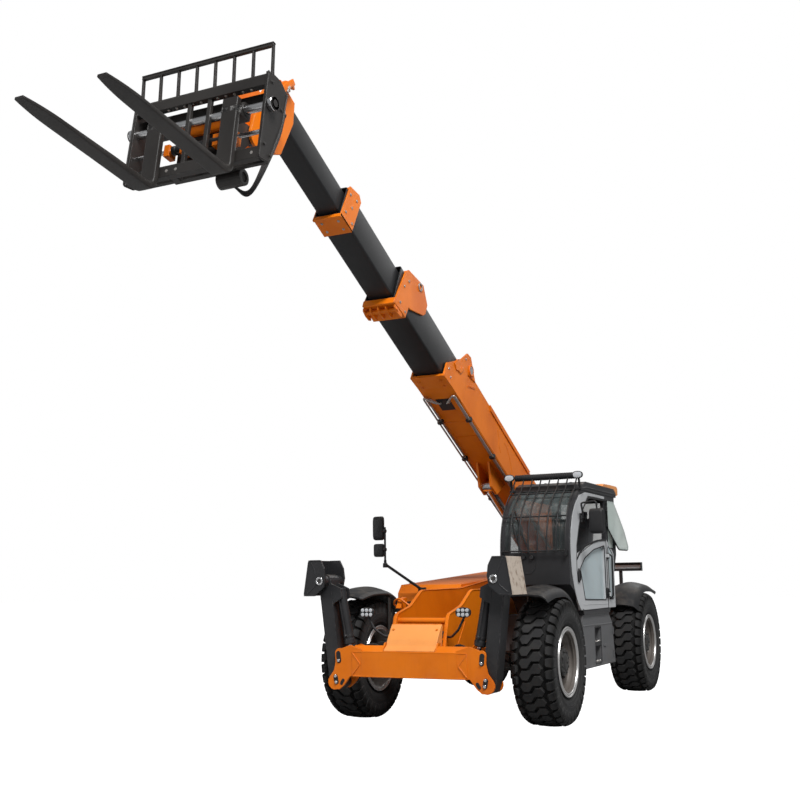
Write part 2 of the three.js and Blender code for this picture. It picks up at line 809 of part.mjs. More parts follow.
/** Lower half of the door, as thick as the wall, with its pane opening. */
function doorLower() {
  const whole = plateX(inset(DOOR_OPENING, RUNNING), CAB_LEFT - CAB_WALL, CAB_LEFT);
  const below = plateX(
    [
      [400, 900],
      [1900, 900],
      [1900, 1785],
      [DOOR_REAR - 40, 1785],
      [1200, 1745],
      [850, 1660],
      [400, 1560],
    ],
    CAB_LEFT - CAB_WALL - 1,
    CAB_LEFT + 1,
  );
  const panel = cut(whole.intersect(below), plateX(DOOR_PANE, CAB_LEFT - CAB_WALL - 1, CAB_LEFT + 1));
  return join(panel, ...DOOR_HINGES.map(hingeLeaf), ...DOOR_HINGES.map(hingeFoot));
}

const DOOR_PANE = [
  [800, 1160],
  [DOOR_REAR - 70, 1140],
  [DOOR_REAR - 70, 1730],
  [1200, 1680],
  [850, 1590],
  [660, 1480],
];

/** Hinge leaf of the door or window: a ring on the hinge line with an arm towards it. */
function hingeLeaf(z) {
  const top = z + HINGE_HEIGHT;
  const bore = boreRadius(HINGE_PIN_RADIUS);
  const ring = cut(
    barZ(DOOR_HINGE_X, DOOR_HINGE_Y, z, top, HINGE_PIN_RADIUS + 6, 16),
    barZ(DOOR_HINGE_X, DOOR_HINGE_Y, z - 1, top + 1, bore, sidesOf(HINGE_PIN_RADIUS)),
  );
  const armEnd = DOOR_HINGE_Y - HINGE_PIN_RADIUS - 1;
  return join(ring, block(CAB_LEFT + 4, DOOR_HINGE_X, DOOR_REAR - 30, armEnd, z, top));
}

/** Foot that ties a hinge leaf to the door's rear edge. */
const hingeFoot = (z) =>
  block(CAB_LEFT - 20, CAB_LEFT + 5, DOOR_REAR - 30, DOOR_REAR - RUNNING - 1, z, z + HINGE_HEIGHT);

/** Hinge pin on the door post, with the foot that holds it below a leaf. */
function hingePin(z) {
  return join(
    barZ(DOOR_HINGE_X, DOOR_HINGE_Y, z - 12, z + HINGE_HEIGHT + 6, HINGE_PIN_RADIUS),
    block(CAB_LEFT - 1, DOOR_HINGE_X + 6, DOOR_HINGE_Y - 6, DOOR_HINGE_Y + 8, z - 14, z - GAP),
  );
}

/** Upper door window with its rim, drawn closed and swung open about the door's hinge line. */
function upperWindow() {
  const closed = [
    [DOOR_REAR - 12, 2235],
    [1444, 2235],
    [1250, 2080],
    [1051, 1912],
    [905, 1735],
    [920, 1690],
    [1293, 1690],
    [DOOR_REAR - 12, 1920],
  ];
  const pane = plateX(closed, CAB_LEFT + RUNNING, CAB_LEFT + RUNNING + 8);
  return join(pane, ...WINDOW_HINGES.map(hingeLeaf));
}

function seat() {
  return join(
    block(600, 960, 1300, 1640, CAB_FLOOR + CAB_WALL + GAP, 1300),
    block(560, 1000, 1200, 1720, 1299, 1440),
    plateX([[1640, 1430], [1760, 1430], [1890, 2080], [1790, 2110]], 570, 990),
  );
}

function steeringColumn() {
  const column = strut([780, 830, CAB_FLOOR + CAB_WALL + 40], [780, 900, 1560], 40);
  const foot = block(700, 860, 790, 900, CAB_FLOOR + CAB_WALL + GAP, 1150);
  const ring = cut(barZ(780, 900, 1560, 1590, 185, 20), barZ(780, 900, 1559, 1591, 155, 20));
  const wheel = turnedX(ring, -22, 900, 1575);
  const spoke = turnedX(block(600, 960, 880, 920, 1562, 1588), -22, 900, 1575);
  const dash = block(CAB_RIGHT + CAB_WALL + 20, CAB_LEFT - CAB_WALL - 60, 380, 640, 1400, 1560);
  return join(column, foot, wheel, spoke, dash, block(760, 800, 600, 900, 1440, 1480));
}

function mirrorLeft() {
  return join(
    block(1290, 1440, 540, 590, 1820, 2075),
    strut([1365, 565, 2070], [1365, 565, 2150], 10),
    strut([CAB_LEFT + 40, 565, 2122], [1375, 565, 2150], 12),
    block(CAB_LEFT + GAP, CAB_LEFT + 20, 700, 760, 1950, 2040),
    strut([CAB_LEFT + 16, 730, 2030], [CAB_LEFT + 70, 565, 2130], 12),
  );
}

function mirrorRight() {
  const y = 800;
  return join(
    strut([-700, y, 1280], [-985, 470, 1560], 16),
    strut([-985, 470, 1540], [-985, 470, 1960], 12),
    block(-1130, -1000, 440, 480, 1815, 2080),
    block(-1120, -1000, 440, 480, 1635, 1780),
    block(-1010, -975, 455, 480, 1900, 1930),
    block(-1010, -975, 455, 480, 1700, 1730),
    block(-740, -660, y - 20, HOOD_FRONT - GAP, 1180, 1300),
  );
}

function cab() {
  return [
    piece("cab_body", cabBody(), CHARCOAL),
    piece("cab_roof", cabRoof(), CHARCOAL),
    piece("roof_cap", roofCap(), ORANGE),
    piece("windscreen", windscreen(), GLASS),
    piece("quarter_glass", sidePane(QUARTER_OPENING, CAB_LEFT - 20), GLASS),
    piece("right_glass", sidePane(RIGHT_OPENING, CAB_RIGHT + 14), GLASS),
    piece("rear_glass", rearPane(), GLASS),
    piece("cab_guard", cabGuard(), BLACK_PLASTIC),
    piece("seat", seat(), SEAT_CLOTH),
    piece("steering_column", steeringColumn(), BLACK_PLASTIC),
    piece("door_lower", doorLower(), DOOR_GREY),
    piece("door_glass", plateX(inset(DOOR_PANE, GAP), CAB_LEFT - 30, CAB_LEFT - 30 + PANE), GLASS),
    group([shiftedPiece("upper_window", upperWindow(), GLASS)], {
      x: DOOR_HINGE_X,
      y: DOOR_HINGE_Y,
      turnZ: WINDOW_OPEN,
    }),
    piece("mirror_left", mirrorLeft(), BLACK_PLASTIC),
    piece("mirror_right", mirrorRight(), BLACK_PLASTIC),
  ];
}

/** Mesh of a solid drawn in place, held by a group at the hinge. */
function shiftedPiece(name, shape, material) {
  return piece(name, shifted(shape, -DOOR_HINGE_X, -DOOR_HINGE_Y, 0), material);
}

// ---------------------------------------------------------------- boom

const along = (points) => points.map(([s, n]) => [-s, n]);
const boomPlate = (points, x0, x1) => plateX(along(points), x0, x1);
const boomBlock = (half, s0, s1, n0, n1) => block(-half, half, -s1, -s0, n0, n1);

/** Hollow of a boom tube, run out past both ends. */
function tubeHollow({ half, under, top, wall, tail, mouth }) {
  return boomBlock(half - wall, tail - 1, mouth + 1, under + wall, top - wall);
}

/** Pads at a tube's mouth that carry the next tube. */
function wearPads(outer, inner) {
  const s0 = outer.mouth - 560;
  const s1 = outer.mouth - 380;
  const reach = outer.half - outer.wall + 1;
  const side = block(inner.half + GAP, reach, -s1, -s0, -110, -30);
  return join(
    boomBlock(70, s0, s1, outer.under + outer.wall - 1, inner.under - GAP),
    boomBlock(70, s0, s1, inner.top + GAP, outer.top - outer.wall + 1),
    bothSides(side),
  );
}

function outerBoom() {
  const { half, under, top, tail, mouth } = OUTER;
  const tube = boomPlate(
    [[tail, under], [mouth, under], [mouth - 22, -124], [mouth - 344, top], [tail, top]],
    -half,
    half,
  );
  const collar = boomPlate(
    [
      [mouth - 217, under],
      [mouth, under - 15],
      [mouth - 22, -124],
      [mouth - 290, 104],
      [mouth - 344, top + 12],
      [mouth - 520, top + 12],
      [mouth - 520, under],
    ],
    -half - 10,
    half + 10,
  );
  const cheek = boomPlate(
    [
      [mouth - 724, top - 20],
      [mouth - 520, 307],
      [mouth - 426, 290],
      [mouth - 290, 104],
      [mouth - 400, 60],
    ],
    half - 8,
    half + 10,
  );
  const tailCheek = boomPlate(
    [...arc(0, 0, 120, 90, 270, 8), [420, -90], [420, 60]],
    half - 1,
    FRAME_INNER_X - RUNNING,
  );
  const lift = boomPlate(
    [
      [LIFT_EYE_ALONG - 260, under + 1],
      [LIFT_EYE_ALONG + 260, under + 1],
      [LIFT_EYE_ALONG + 90, LIFT_EYE_ACROSS - LIFT_EYE_RADIUS],
      [LIFT_EYE_ALONG - 90, LIFT_EYE_ACROSS - LIFT_EYE_RADIUS],
    ],
    LIFT_EYE_HALF + RUNNING,
    LIFT_EYE_HALF + RUNNING + 25,
  );
  const shell = cut(join(tube, collar, bothSides(cheek)), tubeHollow(OUTER));
  const sides = sidesOf(PIVOT_PIN_RADIUS);
  const pivotBore = barX(-FRAME_INNER_X, FRAME_INNER_X, 0, 0, boreRadius(PIVOT_PIN_RADIUS), sides);
  return cut(join(shell, bothSides(tailCheek), bothSides(lift), wearPads(OUTER, SECOND)), pivotBore);
}

function secondBoom() {
  const { half, under, top, tail, mouth } = SECOND;
  const tube = boomPlate(
    [
      [tail, under],
      [mouth, under],
      [mouth - 74, 96],
      [mouth - 80, top],
      [tail, top],
    ],
    -half,
    half,
  );
  const collar = boomPlate(
    [
      [mouth - 271, -163],
      [mouth - 250, -307],
      [mouth, -327],
      [mouth - 74, 96],
      [mouth - 121, 170],
      [mouth - 448, 253],
      [mouth - 609, 131],
      [mouth - 609, top - 1],
      [mouth - 271, top - 1],
    ],
    -half - 15,
    half + 15,
  );
  return join(cut(join(tube, collar), tubeHollow(SECOND)), wearPads(SECOND, THIRD));
}

function thirdBoom() {
  const { half, under, top, tail, mouth } = THIRD;
  const tube = boomBlock(half, tail, mouth, under, top);
  const collar = boomPlate(
    [[mouth - 221, -254], [mouth, -258], [mouth - 23, 99], [mouth - 184, 149], [mouth - 250, 111]],
    -half - 10,
    half + 10,
  );
  return join(cut(join(tube, collar), tubeHollow(THIRD)), wearPads(THIRD, FOURTH));
}

function fourthBoom() {
  const { half, under, top, tail, mouth } = FOURTH;
  return cut(boomBlock(half, tail, mouth, under, top), tubeHollow(FOURTH));
}

/** Gooseneck at the end of the last tube; it carries the tool carrier's pivot. */
function boomHead() {
  const { half, under, top, mouth } = FOURTH;
  const s = TILT_PIVOT_ALONG;
  const n = TILT_PIVOT_ACROSS;
  const cheek = boomPlate(
    [
      [mouth - 50, -131],
      [mouth - 30, -495],
      [s - 208, n + 30],
      ...arc(s, n, 85, 200, 350, 6),
      [s + 120, n + 330],
      [s + 60, top - 60],
      [s - 27, top + 30],
      [mouth + 12, top + 22],
    ],
    half + GAP,
    half + 22,
  );
  const inner = half + GAP + 1;
  return join(
    bothSides(cheek),
    boomBlock(inner, mouth + GAP, mouth + 20, under + 40, top),
    boomPlate(
      [[s - 90, n + 220], [s - 60, n + 210], [mouth + 50, under], [mouth + 20, under]],
      -inner,
      inner,
    ),
    barX(-inner, inner, -s, n, TILT_PIN_RADIUS),
  );
}

function boom() {
  return group(
    [
      piece("boom_outer", outerBoom(), ORANGE),
      piece("boom_second", secondBoom(), BOOM_BLACK),
      piece("boom_third", thirdBoom(), BOOM_BLACK),
      piece("boom_fourth", fourthBoom(), BOOM_BLACK),
      piece("boom_head", boomHead(), ORANGE),
    ],
    { y: BOOM_PIVOT_Y, z: BOOM_PIVOT_Z, turnX: -BOOM_ANGLE },
  );
}

/** Point of the boom's side plane in Y and Z, from its distances along and across. */
function onBoom(s, n) {
  const angle = rad(BOOM_ANGLE);
  return {
    y: BOOM_PIVOT_Y - s * Math.cos(angle) + n * Math.sin(angle),
    z: BOOM_PIVOT_Z + s * Math.sin(angle) + n * Math.cos(angle),
  };
}

/** Lift cylinder between the side plates, drawn along -Y from its base pin. */
function liftCylinder() {
  const eye = onBoom(LIFT_EYE_ALONG, LIFT_EYE_ACROSS);
  const reach = Math.hypot(eye.y - LIFT_BASE_Y, eye.z - LIFT_BASE_Z);
  const angle = THREE.MathUtils.radToDeg(Math.atan2(eye.z - LIFT_BASE_Z, LIFT_BASE_Y - eye.y));
  const bore = LIFT_BARREL_RADIUS - 14;
  const rodSides = sidesOf(LIFT_ROD_RADIUS);
  const pinBore = boreRadius(LIFT_PIN_RADIUS);
  const barrel = cut(
    join(
      barY(0, -LIFT_BARREL_LENGTH, -60, 0, LIFT_BARREL_RADIUS),
      barX(-LIFT_EYE_HALF, LIFT_EYE_HALF, 0, 0, LIFT_BARREL_RADIUS - 4),
    ),
    barY(0, -LIFT_BARREL_LENGTH + 60, -110, 0, bore),
    barY(0, -LIFT_BARREL_LENGTH - 1, -LIFT_BARREL_LENGTH + 61, 0, boreRadius(LIFT_ROD_RADIUS), rodSides),
    barX(-LIFT_EYE_HALF - 1, LIFT_EYE_HALF + 1, 0, 0, pinBore, sidesOf(LIFT_PIN_RADIUS)),
  );
  const rod = join(
    barY(0, -reach + 20, -LIFT_BARREL_LENGTH + LIFT_ROD_INSIDE, 0, LIFT_ROD_RADIUS),
    cut(
      barX(-LIFT_EYE_HALF, LIFT_EYE_HALF, -reach, 0, LIFT_EYE_RADIUS),
      barX(-LIFT_EYE_HALF - 1, LIFT_EYE_HALF + 1, -reach, 0, LIFT_PIN_RADIUS),
    ),
  );
  return group(
    [piece("lift_barrel", barrel, ORANGE), piece("lift_rod", rod, BRIGHT_STEEL)],
    { y: LIFT_BASE_Y, z: LIFT_BASE_Z, turnX: -angle },
  );
}

// ---------------------------------------------------------------- fork carriage

/** Quick-change carrier that turns on the gooseneck's pin. */
function toolCarrier() {
  const lug = plateX(
    [...arc(0, 0, 62, -110, 80, 7), [CARRIER_FACE + 1, 10], [CARRIER_FACE + 1, -540]],
    50,
    FOURTH.half - RUNNING,
  );
  return cut(
    join(
      bothSides(lug),
      block(-240, 240, CARRIER_FACE, CARRIER_FACE + 25, -540, 10),
      barX(LATCH_RIGHT, LATCH_LEFT, CARRIER_FACE + LATCH_RADIUS + RUNNING, LATCH_Z, LATCH_RADIUS),
    ),
    barX(-200, 200, 0, 0, boreRadius(TILT_PIN_RADIUS), sidesOf(TILT_PIN_RADIUS)),
  );
}

/** Frame of the fork carriage: two side plates, bars and the load backrest. */
function carriageFrame() {
  const half = CARRIAGE_HALF;
  const inner = half - 19;
  const side = plateX(
    [[-555, 95], [-566, -573], [-449, -550], [-335, -200], [-309, 55], [-400, 108], [-486, 108]],
    half - 20,
    half,
  );
  const rear = CARRIER_FACE - GAP;
  const post = block(70, 100, -545, -515, -500, 10);
  const backBar = (x) => plateX([[-512, 100], [-486, 100], [-512, 330], [-535, 330]], x - 7, x + 7);
  const backrest = Array.from({ length: BACKREST_BARS }, (_, i) =>
    backBar(-half + 7 + ((2 * half - 14) * i) / (BACKREST_BARS - 1)),
  );
  return join(
    bothSides(side),
    forkShaft(),
    block(-inner, inner, -553, -503, -6, 72),
    block(-inner, inner, -563, -513, -570, -486),
    block(-inner, inner, -450, rear, -545, -445),
    block(-inner, inner, -450, rear, -70, 5),
    bothSides(post),
    bothSides(block(150, 200, -514, -449, -560, -500)),
    block(-half, half, -512, -486, 72, 112),
    bothSides(block(half - 20, half, -512, -486, 72, 112)),
    ...backrest,
    block(-half, half, -537, -511, 312, 336),
  );
}

/** Bright shaft that the forks hang on, with a collar at each end. */
function forkShaft() {
  const collar = barX(CARRIAGE_HALF - 1, CARRIAGE_HALF + 48, SHAFT_Y, SHAFT_Z, 48);
  const half = CARRIAGE_HALF + 1;
  return join(barX(-half, half, SHAFT_Y, SHAFT_Z, FORK_SHAFT_RADIUS), bothSides(collar));
}

function fork() {
  const back = -566 - GAP;
  const front = back - FORK_THICKNESS;
  const floor = -640 - FORK_THICKNESS;
  const half = FORK_WIDTH / 2;
  const bore = boreRadius(FORK_SHAFT_RADIUS);
  const blade = cut(
    plateZ(
      [
        [-half, back],
        [half, back],
        [half, front - FORK_LENGTH + 260],
        [half - 30, front - FORK_LENGTH],
        [-half + 30, front - FORK_LENGTH],
        [-half, front - FORK_LENGTH + 260],
      ],
      floor,
      -640,
    ),
    plateX(
      [[front - 120, floor - 1], [front - FORK_LENGTH - 1, floor - 1], [front - FORK_LENGTH - 1, -654]],
      -half - 1,
      half + 1,
    ),
  );
  return cut(
    join(
      blade,
      block(-half, half, front, back, floor, SHAFT_Z + 40),
      block(-half, half, front, SHAFT_Y + 55, SHAFT_Z - 50, SHAFT_Z + 55),
    ),
    barX(-half - 1, half + 1, SHAFT_Y, SHAFT_Z, bore, sidesOf(FORK_SHAFT_RADIUS)),
  );
}

function carriage() {
  const pivot = onBoom(TILT_PIVOT_ALONG, TILT_PIVOT_ACROSS);
  return group(
    [
      piece("tool_carrier", toolCarrier(), ORANGE),
      piece("fork_carriage", carriageFrame(), CARRIAGE_GREY),
      group([piece("fork_left", fork(), CARRIAGE_GREY)], { x: FORK_SPACING / 2 }),
      group([piece("fork_right", fork(), CARRIAGE_GREY)], { x: -FORK_SPACING / 2 }),
    ],
    { y: pivot.y, z: pivot.z, turnX: -CARRIAGE_TILT },
  );
}

// ---------------------------------------------------------------- stabilisers

/** Leg on the left, upright from its pivot; the cylinder's barrel is carried on its inner side. */
function leg() {
  const half = LEG_DEPTH / 2;
  const box = plateY(
    [
      ...arc(0, 0, 70, 180, 320, 7),
      [72, 60],
      [72, LEG_LENGTH - 100],
      ...arc(0, LEG_LENGTH, 62, 0, 180, 8),
      [-55, LEG_LENGTH - 100],
      [-55, 60],
    ],
    -half,
    half,
  );
  const ear = plateY(
    [
      [-50, LEG_EYE_Z - 90],
      [LEG_EYE_X - 45, LEG_EYE_Z - 45],
      [LEG_EYE_X - 45, LEG_EYE_Z + 45],
      [-50, LEG_EYE_Z + 110],
    ],
    -half,
    -half + 20,
  );
  const turn = new THREE.Matrix4().makeTranslation(LEG_EYE_X, 0, LEG_EYE_Z);
  turn.multiply(new THREE.Matrix4().makeRotationY(rad(LEG_CYLINDER_TURN)));
  const barrel = moved(legBarrel(), turn);
  const eyePin = barY(LEG_EYE_X, 1 - half, half - 1, LEG_EYE_Z, 24);
  const footBore = boreRadius(FOOT_PIN_RADIUS);
  return cut(
    join(
      box,
      ear,
      flippedY(ear),
      barrel,
      eyePin,
      barY(0, -FOOT_CHEEK_Y + RUNNING, FOOT_CHEEK_Y - RUNNING, LEG_LENGTH, 52),
    ),
    barY(0, -half - 1, half + 1, 0, boreRadius(LEG_PIN_RADIUS), sidesOf(LEG_PIN_RADIUS)),
    barY(0, -FOOT_CHEEK_Y, FOOT_CHEEK_Y, LEG_LENGTH, footBore, sidesOf(FOOT_PIN_RADIUS)),
  );
}

/** Foot with its two cheeks, about its pin. */
function foot() {
  const cheek = plateY(
    [[-62, 25], [-50, 120], [-11, 195], [121, 195], [171, -138], [51, -139], [-45, -60]],
    FOOT_CHEEK_Y,
    FOOT_CHEEK_Y + 20,
  );
  const depth = FOOT_CHEEK_Y + 1;
  const sole = plateY([[105, 195], [121, 195], [171, -138], [155, -138]], -depth, depth);
  return join(
    cheek,
    flippedY(cheek),
    sole,
    barY(0, -FOOT_CHEEK_Y - 1, FOOT_CHEEK_Y + 1, 0, FOOT_PIN_RADIUS),
  );
}

/** Barrel of the leg's cylinder, drawn downwards from its eye on the leg. */
function legBarrel() {
  const bore = boreRadius(LEG_ROD_RADIUS);
  return cut(
    barZ(0, 0, -LEG_BARREL_LENGTH, 50, LEG_BARREL_RADIUS),
    barZ(0, 0, -LEG_BARREL_LENGTH + 40, -60, LEG_BARREL_RADIUS - 12),
    barZ(0, 0, -LEG_BARREL_LENGTH - 1, -LEG_BARREL_LENGTH + 41, bore, sidesOf(LEG_ROD_RADIUS)),
  );
}

function legRod() {
  const half = LEG_DEPTH / 2 - RUNNING;
  return join(
    barZ(0, 0, -LEG_CYLINDER_REACH + 10, -80, LEG_ROD_RADIUS),
    barY(0, -half, half, -LEG_CYLINDER_REACH, 38),
  );
}

function stabilizer(name, side) {
  const own = (shape) => (side > 0 ? shape : mirrored(shape));
  return group(
    [
      piece(`leg_${name}`, own(leg()), CHARCOAL),
      group([piece(`foot_${name}`, own(foot()), CHARCOAL)], { z: LEG_LENGTH, turnY: -side * LEG_LEAN }),
      group([piece(`leg_rod_${name}`, own(legRod()), BRIGHT_STEEL)], {
        x: side * LEG_EYE_X,
        z: LEG_EYE_Z,
        turnY: side * LEG_CYLINDER_TURN,
      }),
    ],
    { x: side * LEG_PIVOT_X, y: LEG_CENTRE_Y, z: LEG_PIVOT_Z, turnY: side * LEG_LEAN },
  );
}

// ---------------------------------------------------------------- machine

const machine = new THREE.Group();
machine.add(
  ...runningGear(),
  ...chassis(),
  ...cab(),
  boom(),
  liftCylinder(),
  carriage(),
  stabilizer("left", 1),
  stabilizer("right", -1),
);

// the origin lies under the middle of the bounding box
const bounds = new THREE.Box3().setFromObject(machine, true);
machine.position.set(-(bounds.min.x + bounds.max.x) / 2, -(bounds.min.y + bounds.max.y) / 2, 0);

export default machine;
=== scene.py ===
"""Looks of a telehandler with a raised telescopic boom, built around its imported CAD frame."""

import json
import logging
import math
from collections.abc import Iterable, Sequence
from dataclasses import dataclass
from enum import Enum

import bmesh
import bpy
import numpy as np
from mathutils import Matrix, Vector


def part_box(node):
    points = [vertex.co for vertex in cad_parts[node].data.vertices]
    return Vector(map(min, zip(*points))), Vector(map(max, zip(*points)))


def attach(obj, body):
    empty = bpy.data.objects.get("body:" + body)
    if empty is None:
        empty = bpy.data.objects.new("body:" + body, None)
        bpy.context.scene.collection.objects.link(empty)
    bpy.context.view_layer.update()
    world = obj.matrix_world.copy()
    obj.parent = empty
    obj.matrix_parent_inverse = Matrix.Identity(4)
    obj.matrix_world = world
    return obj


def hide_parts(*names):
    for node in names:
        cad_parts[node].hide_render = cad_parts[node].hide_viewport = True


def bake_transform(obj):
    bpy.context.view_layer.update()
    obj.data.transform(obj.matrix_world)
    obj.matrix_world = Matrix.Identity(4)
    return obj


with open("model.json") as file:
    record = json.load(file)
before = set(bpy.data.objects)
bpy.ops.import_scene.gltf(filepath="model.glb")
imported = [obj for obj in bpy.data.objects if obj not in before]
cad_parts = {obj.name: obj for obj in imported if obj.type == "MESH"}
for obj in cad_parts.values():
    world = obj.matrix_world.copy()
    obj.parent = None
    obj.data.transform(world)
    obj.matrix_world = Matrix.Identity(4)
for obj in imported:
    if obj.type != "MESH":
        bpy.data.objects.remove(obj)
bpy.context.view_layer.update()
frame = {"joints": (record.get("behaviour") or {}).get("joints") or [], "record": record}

log = logging.getLogger("telehandler")

Array = np.ndarray
Point = tuple[float, float, float]


# ---------------------------------------------------------------- names


class Side(Enum):
    """Left and right of the machine, as its operator sees them."""

    LEFT = "left"
    RIGHT = "right"

    @property
    def sign(self) -> int:
        """The direction of this side along X."""
        return 1 if self is Side.LEFT else -1


class End(Enum):
    """Front and rear axle."""

    FRONT = "front"
    REAR = "rear"


class RearLens(Enum):
    """Lenses of the rear bar, with where each starts and ends across the machine."""

    RED = (0.70, 0.84)
    AMBER = (0.60, 0.69)
    STRIP = (-0.855, 0.855)


class Slot(str, Enum):
    """Material slots of the record."""

    ORANGE = "orange_paint"
    CHARCOAL = "charcoal_paint"
    BOOM = "boom_paint"
    CARRIAGE = "carriage_paint"
    DOOR = "door_paint"
    PLASTIC = "black_plastic"
    TYRE = "tyre"
    RIM = "rim_paint"
    STEEL = "bright_steel"
    CAST = "cast"
    GLASS = "glass"
    CLOTH = "seat_cloth"


# ---------------------------------------------------------------- places


def box_centre(node: str) -> Array:
    """Middle of a CAD node's box.

    Args:
        node: Name of the CAD node.

    Returns:
        The point, in metres.
    """
    low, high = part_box(node)
    return (np.array(low) + np.array(high)) / 2


def joint_named(name: str) -> dict:
    """The record's joint of that name."""
    return next(joint for joint in frame["joints"] if joint["name"] == name)


FRONT_AXLE = (box_centre("tyre_front_left") + box_centre("tyre_front_right")) / 2
ORIGIN = np.array([FRONT_AXLE[0], FRONT_AXLE[1], 0.0])


@dataclass(frozen=True)
class Axes:
    """A local frame: a point and three directions."""

    origin: Array
    x: Array
    y: Array
    z: Array

    def place(self, points: Array) -> Array:
        """Local points, as rows, carried to the row frame."""
        points = np.asarray(points, float)
        return self.origin + points @ np.stack([self.x, self.y, self.z])


MACHINE = Axes(ORIGIN, np.array([1.0, 0, 0]), np.array([0, 1.0, 0]), np.array([0, 0, 1.0]))


def boom_axes() -> Axes:
    """Frame of the boom: X across the machine, -Y along the boom to its tip, Z square to it."""
    pivot = np.array(joint_named("boom_lift")["pos_m"]) - ORIGIN
    back = -np.array(joint_named("boom_extend")["axis"], float)
    back /= np.linalg.norm(back)
    return Axes(pivot, MACHINE.x, back, np.cross(MACHINE.x, back))


def carriage_axes() -> Axes:
    """Frame of the fork carriage: -Y along the forks to their tips, Z up the carriage."""
    pivot = np.array(joint_named("fork_tilt")["pos_m"]) - ORIGIN
    mounts = {mount["name"]: mount for mount in frame["record"]["mounts"]}
    up = np.array(mounts["fork_face_left"]["axis"], float)
    up /= np.linalg.norm(up)
    return Axes(pivot, MACHINE.x, np.cross(up, MACHINE.x), up)


def leg_axes() -> Axes:
    """Frame of the left stabiliser leg: X outwards, Z from its pivot to its foot."""
    pivot = np.array(joint_named("stabilizer_fold_left")["pos_m"]) - ORIGIN
    foot = np.array(joint_named("foot_swivel_left")["pos_m"]) - ORIGIN
    up = (foot - pivot) / np.linalg.norm(foot - pivot)
    return Axes(pivot, np.cross(MACHINE.y, up), MACHINE.y, up)


BOOM = boom_axes()
CARRIAGE = carriage_axes()
LEG = leg_axes()


# ---------------------------------------------------------------- surfaces


@dataclass(frozen=True)
class Shell:
    """Points and faces of a surface."""

    points: Array
    faces: list[list[int]]

    def on(self, axes: Axes) -> "Shell":
        """The same surface carried from a local frame to the row frame."""
        return Shell(axes.place(self.points), self.faces)

    def shifted(self, x: float = 0.0, y: float = 0.0, z: float = 0.0) -> "Shell":
        """The same surface moved."""
        return Shell(self.points + np.array([x, y, z]), self.faces)

    def mirrored(self) -> "Shell":
        """Mirror image across the X = 0 plane, its faces turned so that they still point outwards."""
        return Shell(self.points * np.array([-1, 1, 1]), [face[::-1] for face in self.faces])

    def turned(self, degrees: float, axis: Point = (1.0, 0.0, 0.0)) -> "Shell":
        """The same surface turned about an axis through the local origin."""
        matrix = np.array(Matrix.Rotation(math.radians(degrees), 3, axis))
        return Shell(self.points @ matrix.T, self.faces)


def joined(shells: Iterable[Shell]) -> Shell:
    """Several surfaces as one.

    Args:
        shells: The surfaces.

    Returns:
        One surface that holds them all, unconnected.
    """
    points, faces, start = [], [], 0
    for shell in shells:
        points.append(shell.points)
        faces.extend([[index + start for index in face] for face in shell.faces])
        start += len(shell.points)
    return Shell(np.concatenate(points), faces)


def both_sides(shell: Shell) -> Shell:
    """A surface and its mirror image across X = 0."""
    return joined([shell, shell.mirrored()])


def copies(shell: Shell, places: Array) -> Shell:
    """One surface repeated.

    Args:
        shell: The surface, around its own origin.
        places: The copies' 4 by 4 matrices, stacked.

    Returns:
        All the copies, worked out as one array: each point times each matrix.
    """
    places = np.asarray(places, float)
    local = np.c_[shell.points, np.ones(len(shell.points))]
    points = np.einsum("mij,nj->mni", places, local)[..., :3].reshape(-1, 3)
    size = len(shell.points)
    faces = [[i + k * size for i in face] for k in range(len(places)) for face in shell.faces]
    return Shell(points, faces)


def shifts(offsets: Sequence[Point] | Array) -> Array:
    """Matrices that move a copy to each offset."""
    offsets = np.asarray(offsets, float).reshape(-1, 3)
    matrices = np.tile(np.eye(4), (len(offsets), 1, 1))
    matrices[:, :3, 3] = offsets
    return matrices


def spins(count: int, start: float = 0.0) -> Array:
    """Matrices that turn a copy to each of some even steps round X."""
    angles = start + np.arange(count) * 2 * math.pi / count
    return np.array([Matrix.Rotation(angle, 4, "X") for angle in angles])


def grid(points: Array, wrap_u: bool = False, wrap_v: bool = False, caps: bool = False) -> Shell:
    """Surface over a grid of points.

    Args:
        points: Array of shape (nu, nv, 3); u crossed with v points outwards.
        wrap_u: Whether the last row joins the first.
        wrap_v: Whether the last column joins the first.
        caps: Whether the first and last rows are closed with a face.

    Returns:
        The surface, one quad for each cell.
    """
    nu, nv = points.shape[:2]
    index = np.arange(nu * nv).reshape(nu, nv)
    u = np.arange(nu if wrap_u else nu - 1)
    v = np.arange(nv if wrap_v else nv - 1)
    uu, vv = np.meshgrid(u, v, indexing="ij")
    u1, v1 = (uu + 1) % nu, (vv + 1) % nv
    corners = [index[uu, vv], index[u1, vv], index[u1, v1], index[uu, v1]]
    faces = np.stack(corners, -1).reshape(-1, 4).tolist()
    if caps:
        faces.append(index[0].tolist())
        faces.append(index[-1][::-1].tolist())
    return Shell(points.reshape(-1, 3), faces)


def lathe(profile: Sequence[tuple[float, float]], sides: int = 48, wrap: bool = True) -> Shell:
    """Body of revolution about X: each profile point (along, radius) goes round a circle.

    Args:
        profile: Points that run clockwise round the section, with X to the right and radius up.
        sides: Steps round the circle.
        wrap: Whether the profile closes on itself; otherwise its ends lie on the axis.

    Returns:
        The surface.
    """
    along, radius = np.asarray(profile, float).T
    angle = np.arange(sides) * 2 * math.pi / sides
    x = np.broadcast_to(along[:, None], (len(along), sides))
    points = np.stack([x, radius[:, None] * np.cos(angle), radius[:, None] * np.sin(angle)], -1)
    return grid(points[:, ::-1], wrap_u=wrap, wrap_v=True)


